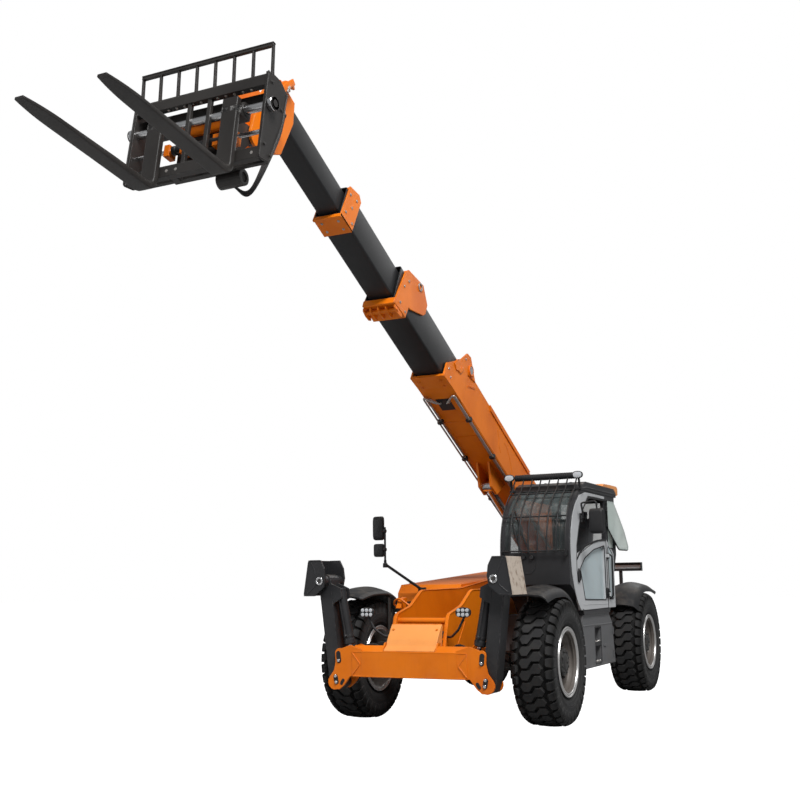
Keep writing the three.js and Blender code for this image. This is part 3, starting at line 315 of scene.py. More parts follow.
def prism(outline: Sequence[tuple[float, float]], low: float, high: float, axis: str = "x") -> Shell:
    """Flat plate: an outline carried straight along an axis.

    Args:
        outline: Corner points in the plane of the other two axes, in X, Y, Z order.
        low: Where the plate starts along the axis.
        high: Where it ends.
        axis: The axis' letter.

    Returns:
        The closed surface.
    """
    flat = np.asarray(outline, float)
    area = np.sum(flat[:, 0] * np.roll(flat[:, 1], -1) - np.roll(flat[:, 0], -1) * flat[:, 1])
    flip = (area < 0) != (axis == "y")
    if flip:
        flat = flat[::-1]
    keep = {"x": [2, 0, 1], "y": [0, 2, 1], "z": [0, 1, 2]}[axis]
    layers = []
    for level in (low, high):
        raw = np.c_[flat, np.full(len(flat), level)]
        layers.append(raw[:, keep])
    count = len(flat)
    near, far = np.arange(count), np.arange(count) + count
    walls = np.stack([near, np.roll(near, -1), np.roll(far, -1), far], -1).tolist()
    return Shell(np.concatenate(layers), [near[::-1].tolist(), far.tolist(), *walls])


def box(low: Point, high: Point) -> Shell:
    """Box between two corners."""
    x0, y0, z0 = low
    x1, y1, z1 = high
    return prism([(x0, y0), (x1, y0), (x1, y1), (x0, y1)], z0, z1, "z")


def rod(start: Point, end: Point, radius: float, sides: int = 16) -> Shell:
    """Straight round bar between two points."""
    return sweep(np.array([start, end], float), circle(radius, sides))


def stacked(section: Array, sizes: Sequence[float], depths: Sequence[float], middle: Point) -> Array:
    """Rings of one section that stand behind each other along Y.

    Args:
        section: Outline points in X and Z.
        sizes: Scale of each ring.
        depths: How far back each ring lies.
        middle: The point that the first ring's depth counts from.

    Returns:
        The rings' points, shape (rings, corners, 3): the section times each size, moved to its depth.
    """
    x, y, z = middle
    flat = section * np.asarray(sizes)[:, None, None]
    points = np.empty((*flat.shape[:2], 3))
    points[..., 0] = flat[..., 0] + x
    points[..., 1] = (np.asarray(depths) + y)[:, None]
    points[..., 2] = flat[..., 1] + z
    return points


def across_machine(profile: Array, x: Array, scale: Array) -> Array:
    """Profile in Y and Z carried across the machine.

    Args:
        profile: Its corner points.
        x: Where each copy stands.
        scale: Each copy's scale about the profile's middle.

    Returns:
        The points, shape (copies, corners, 3): middle + (profile - middle) * scale at each x.
    """
    middle = profile.mean(0)
    points = np.empty((len(x), len(profile), 3))
    points[..., 0] = x[:, None]
    points[..., 1:] = middle + (profile - middle) * scale
    return points


def circle(radius: float, sides: int = 12) -> Array:
    """Round section for a sweep."""
    angle = np.arange(sides) * 2 * math.pi / sides
    return np.stack([radius * np.cos(angle), radius * np.sin(angle)], -1)


def oval(width: float, height: float, power: float = 2.0, sides: int = 24) -> Array:
    """Superellipse section.

    Args:
        width: Its full width.
        height: Its full height.
        power: 2 for an ellipse; more makes it squarer.
        sides: Steps round it.

    Returns:
        Points where |x / a| ** power + |y / b| ** power = 1, shape (sides, 2).
    """
    angle = np.arange(sides) * 2 * math.pi / sides
    c, s = np.cos(angle), np.sin(angle)
    x = width / 2 * np.sign(c) * np.abs(c) ** (2 / power)
    y = height / 2 * np.sign(s) * np.abs(s) ** (2 / power)
    return np.stack([x, y], -1)


def sweep(path: Array, section: Array, scale: Array | None = None, up: Point | None = None) -> Shell:
    """Section carried along a path, square to it, turned as little as the bends allow.

    Args:
        path: Points of the path, shape (n, 3).
        section: Outline points, counter-clockwise, shape (m, 2).
        scale: The section's size at each path point, or None for 1.
        up: Direction that the section's second axis starts nearest to, or None for any.

    Returns:
        The closed tube.
    """
    path = np.asarray(path, float)
    tangents = np.gradient(path, axis=0)
    tangents /= np.linalg.norm(tangents, axis=1, keepdims=True)
    guide = np.array(up if up is not None else np.eye(3)[np.argmin(np.abs(tangents[0]))], float)
    seconds = []
    for tangent in tangents:
        guide = guide - tangent * (guide @ tangent)
        guide = guide / np.linalg.norm(guide)
        seconds.append(guide)
    second = np.array(seconds)
    first = np.cross(second, tangents)
    size = np.ones(len(path)) if scale is None else np.asarray(scale, float)
    across = first[:, None, :] * section[None, :, :1] + second[:, None, :] * section[None, :, 1:]
    points = path[:, None, :] + across * size[:, None, None]
    return grid(points[:, ::-1], wrap_v=True, caps=True)


def through(points: Sequence[Point], steps: int = 8, closed: bool = False) -> Array:
    """Smooth path through chosen points (Catmull-Rom).

    Args:
        points: The points to pass.
        steps: Steps between two of them.
        closed: Whether the path returns to its start.

    Returns:
        The path's points, shape (n, 3).
    """
    knots = np.asarray(points, float)
    if closed:
        padded = np.concatenate([knots[-1:], knots, knots[:2]])
    else:
        padded = np.concatenate([2 * knots[:1] - knots[1:2], knots, 2 * knots[-1:] - knots[-2:-1]])
    t = np.arange(steps)[None, :, None] / steps
    a, b, c, d = (padded[k:len(padded) - 3 + k, None, :] for k in range(4))
    path = 0.5 * (2 * b + (c - a) * t + (2 * a - 5 * b + 4 * c - d) * t**2 + (3 * b - a - 3 * c + d) * t**3)
    path = path.reshape(-1, knots.shape[1])
    return path if closed else np.concatenate([path, knots[-1:]])


def rounded(points: Sequence[Point], radius: float, steps: int = 5) -> Array:
    """Path of straight runs whose corners are rounded.

    Args:
        points: The corners.
        radius: How far from each corner the bend starts.
        steps: Steps in each bend.

    Returns:
        The path's points. Each bend is a quadratic curve with its corner as control point.
    """
    knots = np.asarray(points, float)
    runs = [knots[:1]]
    t = np.linspace(0, 1, steps + 1)[:, None]
    for before, corner, after in zip(knots[:-2], knots[1:-1], knots[2:]):
        a = corner + (before - corner) * min(0.49, radius / np.linalg.norm(before - corner))
        b = corner + (after - corner) * min(0.49, radius / np.linalg.norm(after - corner))
        runs.append((1 - t) ** 2 * a + 2 * t * (1 - t) * corner + t**2 * b)
    runs.append(knots[-1:])
    return np.concatenate(runs)


def arc(cu: float, cv: float, radius: float, start: float, stop: float, steps: int = 12) -> list:
    """Points of an arc, angles in degrees from the first axis."""
    angle = np.radians(np.linspace(start, stop, steps + 1))
    return list(zip(cu + radius * np.cos(angle), cv + radius * np.sin(angle)))


def bolt(radius: float, height: float) -> Shell:
    """Hexagon head on a washer, standing along +X from the origin.

    Args:
        radius: Half the width across the head's corners.
        height: Its height.

    Returns:
        The surface: a turned washer and a six-sided prism.
    """
    washer = lathe([(0, 0), (0, radius * 1.25), (height * 0.25, radius * 1.25), (height * 0.25, 0)], 20, wrap=False)
    angle = np.arange(6) * math.pi / 3
    outline = list(zip(radius * np.cos(angle), radius * np.sin(angle)))
    head = prism(outline, height * 0.2, height, "x")
    return joined([washer, head])


def facing(direction: Point) -> Array:
    """Matrix that turns +X to a direction."""
    x = np.array(direction, float) / np.linalg.norm(direction)
    guide = np.array([0, 0, 1.0]) if abs(x[2]) < 0.9 else np.array([0, 1.0, 0])
    y = np.cross(guide, x)
    y /= np.linalg.norm(y)
    matrix = np.eye(4)
    matrix[:3, 0], matrix[:3, 1], matrix[:3, 2] = x, y, np.cross(x, y)
    return matrix


def bolts(spots: Sequence[Point] | Array, direction: Point, radius: float, height: float) -> Shell:
    """Bolt heads at some spots.

    Args:
        spots: Where each head sits.
        direction: The way the heads point.
        radius: Half the width across the corners.
        height: How far a head stands out.

    Returns:
        All the heads.
    """
    return copies(bolt(radius, height), shifts(spots) @ facing(direction))


def disc(radius: float, height: float, sides: int = 32, edge: float = 0.15) -> Shell:
    """Round boss along +X with a chamfered rim.

    Args:
        radius: Its radius.
        height: Its height.
        sides: Steps round it.
        edge: The chamfer, as a share of the height.

    Returns:
        The surface: a stepped profile turned about X.
    """
    rim = height * edge
    profile = [(0, 0), (0, radius), (height - rim, radius), (height, radius - rim), (height, 0)]
    return lathe(profile, sides, wrap=False)


def ring(outer: float, inner: float, height: float, sides: int = 32) -> Shell:
    """Flat ring along +X with chamfered edges.

    Args:
        outer: Outer radius.
        inner: Radius of its bore.
        height: Its height.
        sides: Steps round it.

    Returns:
        The surface: a closed profile turned about X.
    """
    rim = min(height, outer - inner) * 0.2
    profile = [
        (0, inner), (0, outer), (height - rim, outer), (height, outer - rim),
        (height, inner + rim), (height - rim, inner),
    ]
    return lathe(profile, sides)


def at(shell: Shell, spot: Point, direction: Point = (1.0, 0.0, 0.0)) -> Shell:
    """A shell that stands along +X, moved to a spot and turned to a direction."""
    return copies(shell, shifts([spot]) @ facing(direction))


# ---------------------------------------------------------------- shader maths

Colour = tuple[float, float, float]


def rgba(colour: Colour) -> tuple[float, float, float, float]:
    """A colour with full alpha."""
    return (*colour, 1.0)


@dataclass(frozen=True)
class Num:
    """A number socket; the operators add the Math nodes that work the expression out."""

    graph: "Graph"
    socket: bpy.types.NodeSocket

    def math(self, operation: str, *values: "Num | float", clamp: bool = False) -> "Num":
        """One Math node.

        Args:
            operation: Its operation.
            values: Its inputs in order.
            clamp: Whether the result is held between 0 and 1.

        Returns:
            The node's result.
        """
        settings = {"operation": operation, "use_clamp": clamp}
        node = self.graph.node("ShaderNodeMath", settings, dict(enumerate(values)))
        return Num(self.graph, node.outputs[0])

    def __add__(self, other: "Num | float") -> "Num":
        """Sum."""
        return self.math("ADD", self, other)

    def __sub__(self, other: "Num | float") -> "Num":
        """Difference."""
        return self.math("SUBTRACT", self, other)

    def __rsub__(self, other: float) -> "Num":
        """Difference from a number."""
        return self.math("SUBTRACT", other, self)

    def __mul__(self, other: "Num | float") -> "Num":
        """Product."""
        return self.math("MULTIPLY", self, other)

    __radd__ = __add__
    __rmul__ = __mul__

    def step(self, low: float, high: float) -> "Num":
        """0 below the low edge, 1 above the high one and smooth between; the edges may be swapped."""
        sockets = {"Value": self, "From Min": low, "From Max": high}
        node = self.graph.node("ShaderNodeMapRange", {"interpolation_type": "SMOOTHSTEP"}, sockets)
        return Num(self.graph, node.outputs["Result"])

    def wave(self, length: float) -> "Num":
        """A sine of the value, between 0 and 1, with that wavelength."""
        return self.math("SINE", self * (2 * math.pi / length)) * 0.5 + 0.5


class Graph:
    """Node tree of one material, or of the world."""

    def __init__(self, owner: bpy.types.Material | bpy.types.World) -> None:
        """Empty the owner's node tree."""
        owner.use_nodes = True
        self.owner = owner
        self.tree = owner.node_tree
        self.tree.nodes.clear()

    @classmethod
    def material(cls, name: str) -> "Graph":
        """Start an empty material that reads Object coordinates."""
        graph = cls(bpy.data.materials.new(name))
        graph.place = graph.node("ShaderNodeTexCoord").outputs["Object"]
        return graph

    def node(self, kind: str, settings: dict | None = None, sockets: dict | None = None) -> bpy.types.Node:
        """Add a node.

        Args:
            kind: The node's type.
            settings: Its settings, set first.
            sockets: Values or links of its inputs, by name or number.

        Returns:
            The node.
        """
        node = self.tree.nodes.new(kind)
        for key, value in (settings or {}).items():
            setattr(node, key, value)
        for key, value in (sockets or {}).items():
            self.feed(node.inputs[key], value)
        return node

    def feed(self, socket: bpy.types.NodeSocket, value: object) -> None:
        """Link a socket or set it to a value."""
        if isinstance(value, Num):
            self.tree.links.new(value.socket, socket)
        elif isinstance(value, bpy.types.NodeSocket):
            self.tree.links.new(value, socket)
        else:
            socket.default_value = value

    def axis(self, letter: str) -> Num:
        """One of the Object coordinates."""
        node = self.node("ShaderNodeSeparateXYZ", sockets={0: self.place})
        return Num(self, node.outputs[letter.upper()])

    def attribute(self, name: str) -> Num:
        """A number that the mesh carries at its points."""
        node = self.node("ShaderNodeAttribute", {"attribute_name": name})
        return Num(self, node.outputs["Fac"])

    def noise(self, scale: float, detail: float = 4.0, rough: float = 0.55, stretch: Point | None = None) -> Num:
        """Fractal noise of Object coordinates.

        Args:
            scale: Blobs to the metre.
            detail: Octaves.
            rough: Weight of the small ones.
            stretch: Scale of each axis, or None.

        Returns:
            A number near 0.5, from 0 to 1.
        """
        vector = self.place
        if stretch is not None:
            vector = self.node("ShaderNodeMapping", sockets={"Vector": vector, "Scale": stretch}).outputs[0]
        sockets = {"Vector": vector, "Scale": scale, "Detail": detail, "Roughness": rough}
        return Num(self, self.node("ShaderNodeTexNoise", sockets=sockets).outputs[0])

    def cells(self, scale: float) -> Num:
        """Distance pattern of scattered cells, that many to the metre."""
        node = self.node("ShaderNodeTexVoronoi", {"feature": "F1"}, {"Vector": self.place, "Scale": scale})
        return Num(self, node.outputs["Distance"])

    def facing_up(self) -> Num:
        """How far the surface faces upwards, from -1 to 1."""
        node = self.node("ShaderNodeNewGeometry")
        split = self.node("ShaderNodeSeparateXYZ", sockets={0: node.outputs["Normal"]})
        return Num(self, split.outputs["Z"])

    def soft_normal(self, radius: float) -> bpy.types.NodeSocket:
        """Surface normal with the edges rounded over a radius."""
        return self.node("ShaderNodeBevel", {"samples": 4}, {"Radius": radius}).outputs[0]

    def edges(self, radius: float) -> Num:
        """1 on the edges of a body and 0 away from them.

        Args:
            radius: How far the rounded normal reaches.

        Returns:
            The mask: the product of the rounded normal and the true one falls below 1 near an edge.
        """
        flat = self.node("ShaderNodeNewGeometry").outputs["Normal"]
        pair = {0: self.soft_normal(radius), 1: flat}
        dot = self.node("ShaderNodeVectorMath", {"operation": "DOT_PRODUCT"}, pair)
        return (1 - Num(self, dot.outputs["Value"])).step(0.02, 0.25)

    def mix(self, factor: Num | float, first: object, second: object) -> bpy.types.NodeSocket:
        """Blend of two colours.

        Args:
            factor: Share of the second one.
            first: A colour or a link.
            second: A colour or a link.

        Returns:
            The blend: first * (1 - factor) + second * factor.
        """
        ends = [rgba(colour) if isinstance(colour, tuple) else colour for colour in (first, second)]
        sockets = {"Factor": factor, 6: ends[0], 7: ends[1]}
        return self.node("ShaderNodeMix", {"data_type": "RGBA"}, sockets).outputs[2]

    def seen_white(self) -> Num:
        """1 where the camera looks straight or through a pane, 0 for the light that falls on things."""
        path = self.node("ShaderNodeLightPath")
        direct = Num(self, path.outputs["Is Camera Ray"])
        return direct.math("MAXIMUM", direct, Num(self, path.outputs["Is Transmission Ray"]))

    def bump(self, height: Num, distance: float, strength: float = 1.0, normal: object = None) -> bpy.types.NodeSocket:
        """Normal of a relief.

        Args:
            height: The relief, from 0 to 1.
            distance: Its depth in metres.
            strength: Share of it that shows.
            normal: The normal under it, or None for the surface's own.

        Returns:
            The normal.
        """
        sockets = {"Height": height, "Distance": distance, "Strength": strength}
        if normal is not None:
            sockets["Normal"] = normal
        return self.node("ShaderNodeBump", sockets=sockets).outputs[0]

    def surface(self, sockets: dict) -> bpy.types.Material:
        """Close the material with one Principled shader."""
        shader = self.node("ShaderNodeBsdfPrincipled", sockets=sockets)
        self.node("ShaderNodeOutputMaterial", sockets={"Surface": shader.outputs[0]})
        return self.owner


# ---------------------------------------------------------------- finishes


@dataclass(frozen=True)
class Paint:
    """Sprayed coat on steel: orange-peel relief, dust on ledges, grime in the lows, worn edges."""

    name: str
    colour: Colour
    shade: Colour
    rough: float = 0.38
    peel: float = 0.0004
    dust: Colour = (0.33, 0.27, 0.21)
    dusty: float = 0.25
    worn: Colour = (0.30, 0.29, 0.28)
    wear: float = 0.4
    edge: float = 0.006
    metallic: float = 0.0
    coat: float = 0.15
    gloss: float = 0.5

    def build(self) -> bpy.types.Material:
        """The material.

        Returns:
            Colour = the coat, darkened by broad noise, then dust on faces that look up and low down
            on the machine, then bare metal where edges and coarse noise meet.
        """
        graph = Graph.material(self.name)
        broad = graph.noise(1.3, 5, 0.6)
        fine = graph.noise(42, 3, 0.6)
        colour = graph.mix(broad.step(0.35, 0.72), self.colour, self.shade)
        low = graph.axis("z").step(1.1, 0.1)
        ledge = graph.facing_up().step(0.55, 0.95)
        dust = (ledge * 0.8 + low * 0.5) * graph.noise(6, 6, 0.65).step(0.42, 0.7) * self.dusty
        colour = graph.mix(dust, colour, self.dust)
        streak = graph.noise(9, 4, 0.6, (3.0, 3.0, 0.25)).step(0.56, 0.72) * 0.05
        colour = graph.mix(streak, colour, tuple(0.35 * c for c in self.shade))
        worn = graph.edges(self.edge) * graph.noise(17, 6, 0.7).step(0.5, 0.62) * self.wear
        colour = graph.mix(worn, colour, self.worn)
        rough = self.rough + (fine - 0.5) * 0.10 + dust * 0.35 + (broad - 0.5) * 0.08
        sockets = {
            "Base Color": colour,
            "Roughness": rough,
            "Metallic": self.metallic,
            "Specular IOR Level": self.gloss,
            "Coat Weight": self.coat,
            "Coat Roughness": 0.22,
            "Normal": graph.bump(graph.noise(260, 2, 0.5), self.peel, 0.5, graph.soft_normal(self.edge)),
        }
        return graph.surface(sockets)


@dataclass(frozen=True)
class Rubber:
    """Tyre rubber: near black, chalky on the walls, dusty and darkened by painted shade between the lugs, finely
    pitted.
    """

    name: str = "tyre_rubber"
    colour: Colour = (0.026, 0.026, 0.027)
    chalk: Colour = (0.042, 0.040, 0.037)
    soil: Colour = (0.060, 0.050, 0.040)

    def build(self) -> bpy.types.Material:
        """The material.

        Returns:
            Colour = rubber, with chalk from noise, painted shade that turns it near black and soil where the
            mesh's own 'depth' says a point lies low between the lugs.
        """
        graph = Graph.material(self.name)
        chalk = graph.noise(5, 6, 0.6).step(0.35, 0.75) * 0.55
        depth = graph.attribute("depth")
        colour = graph.mix(chalk, self.colour, self.chalk)
        # Painted shade: near black where a point lies deep between the lugs.
        colour = graph.mix(depth * 0.92, colour, (0.004, 0.004, 0.004))
        colour = graph.mix(graph.edges(0.006) * 0.5, colour, (0.075, 0.073, 0.070))
        soil = depth * graph.noise(14, 6, 0.7).step(0.50, 0.70) * 0.25
        colour = graph.mix(soil, colour, self.soil)
        relief = graph.noise(160, 4, 0.7) * 0.6 + graph.cells(90) * 0.4
        sockets = {
            "Base Color": colour,
            "Roughness": 0.72 + (graph.noise(30, 4) - 0.5) * 0.25,
            "Specular IOR Level": 0.2,
            "Normal": graph.bump(relief, 0.0012, 0.45),
        }
        return graph.surface(sockets)


@dataclass(frozen=True)
class Plastic:
    """Moulded plastic or soft rubber with a fine grain."""

    name: str
    colour: Colour
    rough: float = 0.5
    grain: float = 260.0
    depth: float = 0.0005
    dusty: float = 0.25
    edge: float = 0.005

    def build(self) -> bpy.types.Material:
        """The material.

        Returns:
            Colour = the plastic, greyed by dust on top faces and by scuffs; relief = moulded grain.
        """
        graph = Graph.material(self.name)
        dust = graph.facing_up().step(0.2, 0.9) * graph.noise(8, 5, 0.65).step(0.38, 0.7) * self.dusty
        colour = graph.mix(graph.noise(3, 5).step(0.3, 0.75) * 0.5, self.colour, tuple(1.7 * c for c in self.colour))
        colour = graph.mix(dust, colour, (0.20, 0.17, 0.14))
        scuff = graph.edges(self.edge) * graph.noise(30, 5, 0.7).step(0.48, 0.62) * 0.35
        colour = graph.mix(scuff, colour, (0.16, 0.16, 0.16))
        sockets = {
            "Base Color": colour,
            "Roughness": self.rough + (graph.noise(24, 4) - 0.5) * 0.18 + dust * 0.5,
            "Specular IOR Level": 0.3,
            "Normal": graph.bump(graph.cells(self.grain), self.depth, 0.35, graph.soft_normal(self.edge)),
        }
        return graph.surface(sockets)


@dataclass(frozen=True)
class Metal:
    """Bare or plated metal: brushed along one axis, with tarnish and fine scratches."""

    name: str
    colour: Colour
    rough: float = 0.28
    tarnish: Colour = (0.22, 0.19, 0.16)
    stained: float = 0.35
    brush: Point = (4.0, 4.0, 60.0)
    metallic: float = 1.0
    edge: float = 0.004

    def build(self) -> bpy.types.Material:
        """The material.

        Returns:
            Colour = the metal with tarnish in patches; relief = noise drawn out along the brushing.
        """
        graph = Graph.material(self.name)
        patch = graph.noise(11, 6, 0.65).step(0.48, 0.72) * self.stained
        lines = graph.noise(9, 3, 0.6, self.brush)
        colour = graph.mix(patch, self.colour, self.tarnish)
        sockets = {
            "Base Color": graph.mix(lines * 0.25, colour, tuple(0.7 * c for c in self.colour)),
            "Roughness": self.rough + patch * 0.4 + (lines - 0.5) * 0.18,
            "Metallic": self.metallic - patch * 0.5,
            "Normal": graph.bump(lines, 0.0006, 0.3, graph.soft_normal(self.edge)),
        }
        return graph.surface(sockets)


@dataclass(frozen=True)
class Glass:
    """Thin tinted pane: mostly clear with a tint, a reflection that grows at a glance, and dust."""

    name: str
    tint: Colour
    clear: float = 0.62
    rough: float = 0.03

    def build(self) -> bpy.types.Material:
        """The material.

        Returns:
            A tinted glossy coat over a clear pane: alpha is the share that is not clear, more where
            dust lies and where the pane is seen at a glance.
        """
        graph = Graph.material(self.name)
        dust = graph.noise(7, 6, 0.65).step(0.45, 0.8)
        glance = Num(graph, graph.node("ShaderNodeFresnel", sockets={"IOR": 1.5}).outputs[0])
        alpha = (1 - self.clear) + dust * 0.05 + glance * 0.4
        sockets = {
            "Base Color": graph.mix(dust * 0.5, self.tint, (0.55, 0.56, 0.54)),
            "Roughness": self.rough + dust * 0.06,
            "Alpha": alpha.math("MINIMUM", alpha, 1.0),
            "IOR": 1.5,
            "Specular IOR Level": 0.8,
        }
        return graph.surface(sockets)


@dataclass(frozen=True)
class Cloth:
    """Woven seat cloth with crossed threads and a soft sheen."""

    name: str = "seat_weave"
    colour: Colour = (0.030, 0.031, 0.034)
    fleck: Colour = (0.085, 0.087, 0.092)
    thread: float = 0.0022

    def build(self) -> bpy.types.Material:
        """The material.

        Returns:
            Relief = product of two thread waves crossed on Object coordinates; colour = the yarn with
            paler flecks where threads come up.
        """
        graph = Graph.material(self.name)
        across = (graph.axis("x") + graph.axis("z") * 0.5).wave(self.thread)
        along = (graph.axis("y") + graph.axis("z") * 0.5).wave(self.thread)
        weave = across * (1 - along) + along * (1 - across)
        fleck = weave.step(0.5, 0.9) * graph.noise(90, 4, 0.7).step(0.4, 0.7)
        sockets = {
            "Base Color": graph.mix(fleck * 0.8, self.colour, self.fleck),
            "Roughness": 0.82 + (graph.noise(20) - 0.5) * 0.15,
            "Sheen Weight": 0.35,
            "Sheen Roughness": 0.5,
            "Normal": graph.bump(weave, 0.0006, 0.6),
        }
        return graph.surface(sockets)


@dataclass(frozen=True)
class Lamp:
    """Lens of a lamp: pale, glossy, ribbed and slightly lit."""

    name: str
    colour: Colour
    glow: float
    rib: float = 0.006

    def build(self) -> bpy.types.Material:
        """The material."""
        graph = Graph.material(self.name)
        ribs = graph.axis("x").wave(self.rib) * graph.axis("z").wave(self.rib)
        sockets = {
            "Base Color": graph.mix(graph.noise(40) * 0.4, self.colour, tuple(0.6 * c for c in self.colour)),
            "Roughness": 0.10 + graph.noise(20) * 0.08,
            "Coat Weight": 0.6,
            "Emission Color": rgba(self.colour),
            "Emission Strength": self.glow,
            "Normal": graph.bump(ribs, 0.0012, 0.5),
        }
        return graph.surface(sockets)


class Finish(Enum):
    """Every finish of the machine: its recipe and the slot of the record listed with it."""

    ORANGE = (
        Paint(
            "orange_coat", (0.78, 0.185, 0.004), (0.62, 0.125, 0.002),
            0.40, dusty=0.12, wear=0.3, coat=0.03, gloss=0.25,
        ),
        Slot.ORANGE,
    )
    # Paler copy of the orange paint: painted highlight for the nose cover and the roof cap, which face the light from
    # above.
    PALE_ORANGE = (
        Paint("painted_highlight_orange", (0.86, 0.33, 0.08), (0.78, 0.25, 0.05), 0.42, dusty=0.15, wear=0.3),
        Slot.ORANGE,
    )
    CHARCOAL = (
        Paint("charcoal_coat", (0.026, 0.026, 0.028), (0.016, 0.016, 0.017), 0.42, wear=0.4, coat=0.03, gloss=0.3),
        Slot.CHARCOAL,
    )
    BOOM = (
        Paint("boom_coat", (0.016, 0.016, 0.017), (0.010, 0.010, 0.011), 0.40, wear=0.25, coat=0.03, gloss=0.3),
        Slot.BOOM,
    )
    CARRIAGE = (
        Paint("carriage_coat", (0.030, 0.027, 0.025), (0.017, 0.015, 0.014), 0.42, wear=0.6, coat=0.03, gloss=0.35),
        Slot.CARRIAGE,
    )
    DOOR = Paint("door_coat", (0.50, 0.51, 0.52), (0.40, 0.41, 0.42), 0.40, wear=0.15, dusty=0.3), Slot.DOOR
    PLASTIC = Plastic("moulded_black", (0.016, 0.016, 0.017), 0.48), Slot.PLASTIC
    TYRE = Rubber(), Slot.TYRE
    RING = Metal("rim_silver", (0.62, 0.61, 0.60), 0.36, (0.30, 0.26, 0.22), 0.4, metallic=0.85), Slot.RIM
    DISH = Metal("dish_taupe", (0.125, 0.108, 0.095), 0.5, (0.06, 0.045, 0.033), 0.5, metallic=0.15), Slot.RIM
    HUB = Metal("hub_dark", (0.030, 0.029, 0.028), 0.5, (0.06, 0.045, 0.035), 0.5, metallic=0.15), Slot.CAST
    STEEL = Metal("bright_rod", (0.80, 0.80, 0.81), 0.22, (0.45, 0.43, 0.40), 0.08), Slot.STEEL
    CAST = Metal("cast_iron", (0.050, 0.048, 0.046), 0.60, (0.10, 0.075, 0.055), 0.6, metallic=0.35), Slot.CAST
    GLASS = Glass("cab_glass", (0.10, 0.12, 0.12), 0.84), Slot.GLASS
    COOL_GLASS = Glass("door_pane", (0.66, 0.77, 0.80), 0.35), Slot.GLASS
    GREEN_GLASS = Glass("swung_pane", (0.80, 0.90, 0.85), 0.55), Slot.GLASS
    CLOTH = Cloth(), Slot.CLOTH
    RUBBER = Plastic("hose_rubber", (0.012, 0.012, 0.013), 0.62, 420, 0.0004, 0.15, 0.002), Slot.PLASTIC
    LENS = Lamp("lamp_lens", (0.52, 0.54, 0.56), 0.03), Slot.GLASS
    AMBER = Lamp("amber_lens", (0.95, 0.30, 0.02), 0.10), Slot.GLASS
    RED = Lamp("red_lens", (0.60, 0.012, 0.010), 0.08), Slot.GLASS
    MIRROR = Metal("mirror_silver", (0.80, 0.82, 0.84), 0.05, (0.5, 0.5, 0.5), 0.05), Slot.GLASS
    BARE = Metal("worn_plate", (0.46, 0.44, 0.42), 0.42, (0.24, 0.18, 0.13), 0.7, metallic=0.8), Slot.STEEL
    TAN = (
        Metal("worn_sole", (0.55, 0.47, 0.39), 0.55, (0.14, 0.07, 0.035), 0.9, (60.0, 60.0, 3.0), metallic=0.2),
        Slot.STEEL,
    )
    BOX = (
        Paint("box_coat", (0.105, 0.106, 0.110), (0.078, 0.079, 0.082), 0.45, wear=0.3, coat=0.03, gloss=0.3),
        Slot.CHARCOAL,
    )


Palette = dict[Finish, bpy.types.Material]


def build_palette() -> Palette:
    """Mix every finish."""
    return {finish: finish.value[0].build() for finish in Finish}


# ---------------------------------------------------------------- pieces


@dataclass
class Assembly:
    """A part of the machine that makes pieces."""

    palette: Palette

    def piece(
        self,
        name: str,
        shell: Shell,
        finish: Finish,
        body: str,
        stands_for: Sequence[str] = (),
        smooth: float = 35.0,
        attribute: Array | None = None,
        repair: bool = False,
        bend: tuple[str, Point, Point] | None = None,
    ) -> bpy.types.Object:
        """Make one piece.

        Args:
            name: Its name.
            shell: Its surface in the machine's frame.
            finish: Its finish.
            body: The CAD body that it rides on.
            stands_for: CAD nodes that it replaces.
            smooth: Faces that meet at less than this angle, in degrees, are shaded smooth.
            attribute: A number at each point, named 'depth'.
            repair: Whether doubles are merged and the faces turned outwards.
            bend: If given, the piece is not attached to a body but keeps its place baked in; the second body and the
                bend's points are not used.

        Returns:
            The piece's object.
        """
        mesh = bpy.data.meshes.new(name)
        mesh.from_pydata(MACHINE.place(shell.points).tolist(), [], shell.faces)
        if attribute is not None:
            layer = mesh.attributes.new("depth", "FLOAT", "POINT")
            layer.data.foreach_set("value", np.asarray(attribute, np.float32))
        mesh.update()
        if repair:
            work = bmesh.new()
            work.from_mesh(mesh)
            bmesh.ops.remove_doubles(work, verts=work.verts, dist=1e-5)
            bmesh.ops.recalc_face_normals(work, faces=work.faces)
            work.to_mesh(mesh)
            work.free()
        mesh.polygons.foreach_set("use_smooth", np.ones(len(mesh.polygons), bool))
        mesh.set_sharp_from_angle(angle=math.radians(smooth))
        mesh.materials.append(self.palette[finish])
        made = bpy.data.objects.new(name, mesh)
        bpy.context.scene.collection.objects.link(made)
        if bend:
            [MACHINE.place([place])[0].tolist() for place in bend[1:]]
            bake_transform(made)
        else:
            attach(made, body)
        if stands_for:
            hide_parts(*stands_for)
        log.info("%s: %d faces on %s", name, len(mesh.polygons), body)
        return made

    def pieces(self, body: str, *rows: tuple) -> None:
        """Make pieces that ride on one body; a row holds a name, a shell, a finish and the nodes replaced."""
        for name, shell, finish, *nodes in rows:
            self.piece(name, shell, finish, body, nodes)

    def dress(self, finish: Finish, *nodes: str) -> None:
        """Give CAD nodes a finish."""
        for name in nodes:
            for slot in bpy.data.objects[name].material_slots:
                slot.material = self.palette[finish]
            log.info("%s: finish %s", name, finish.name)


# ---------------------------------------------------------------- running gear


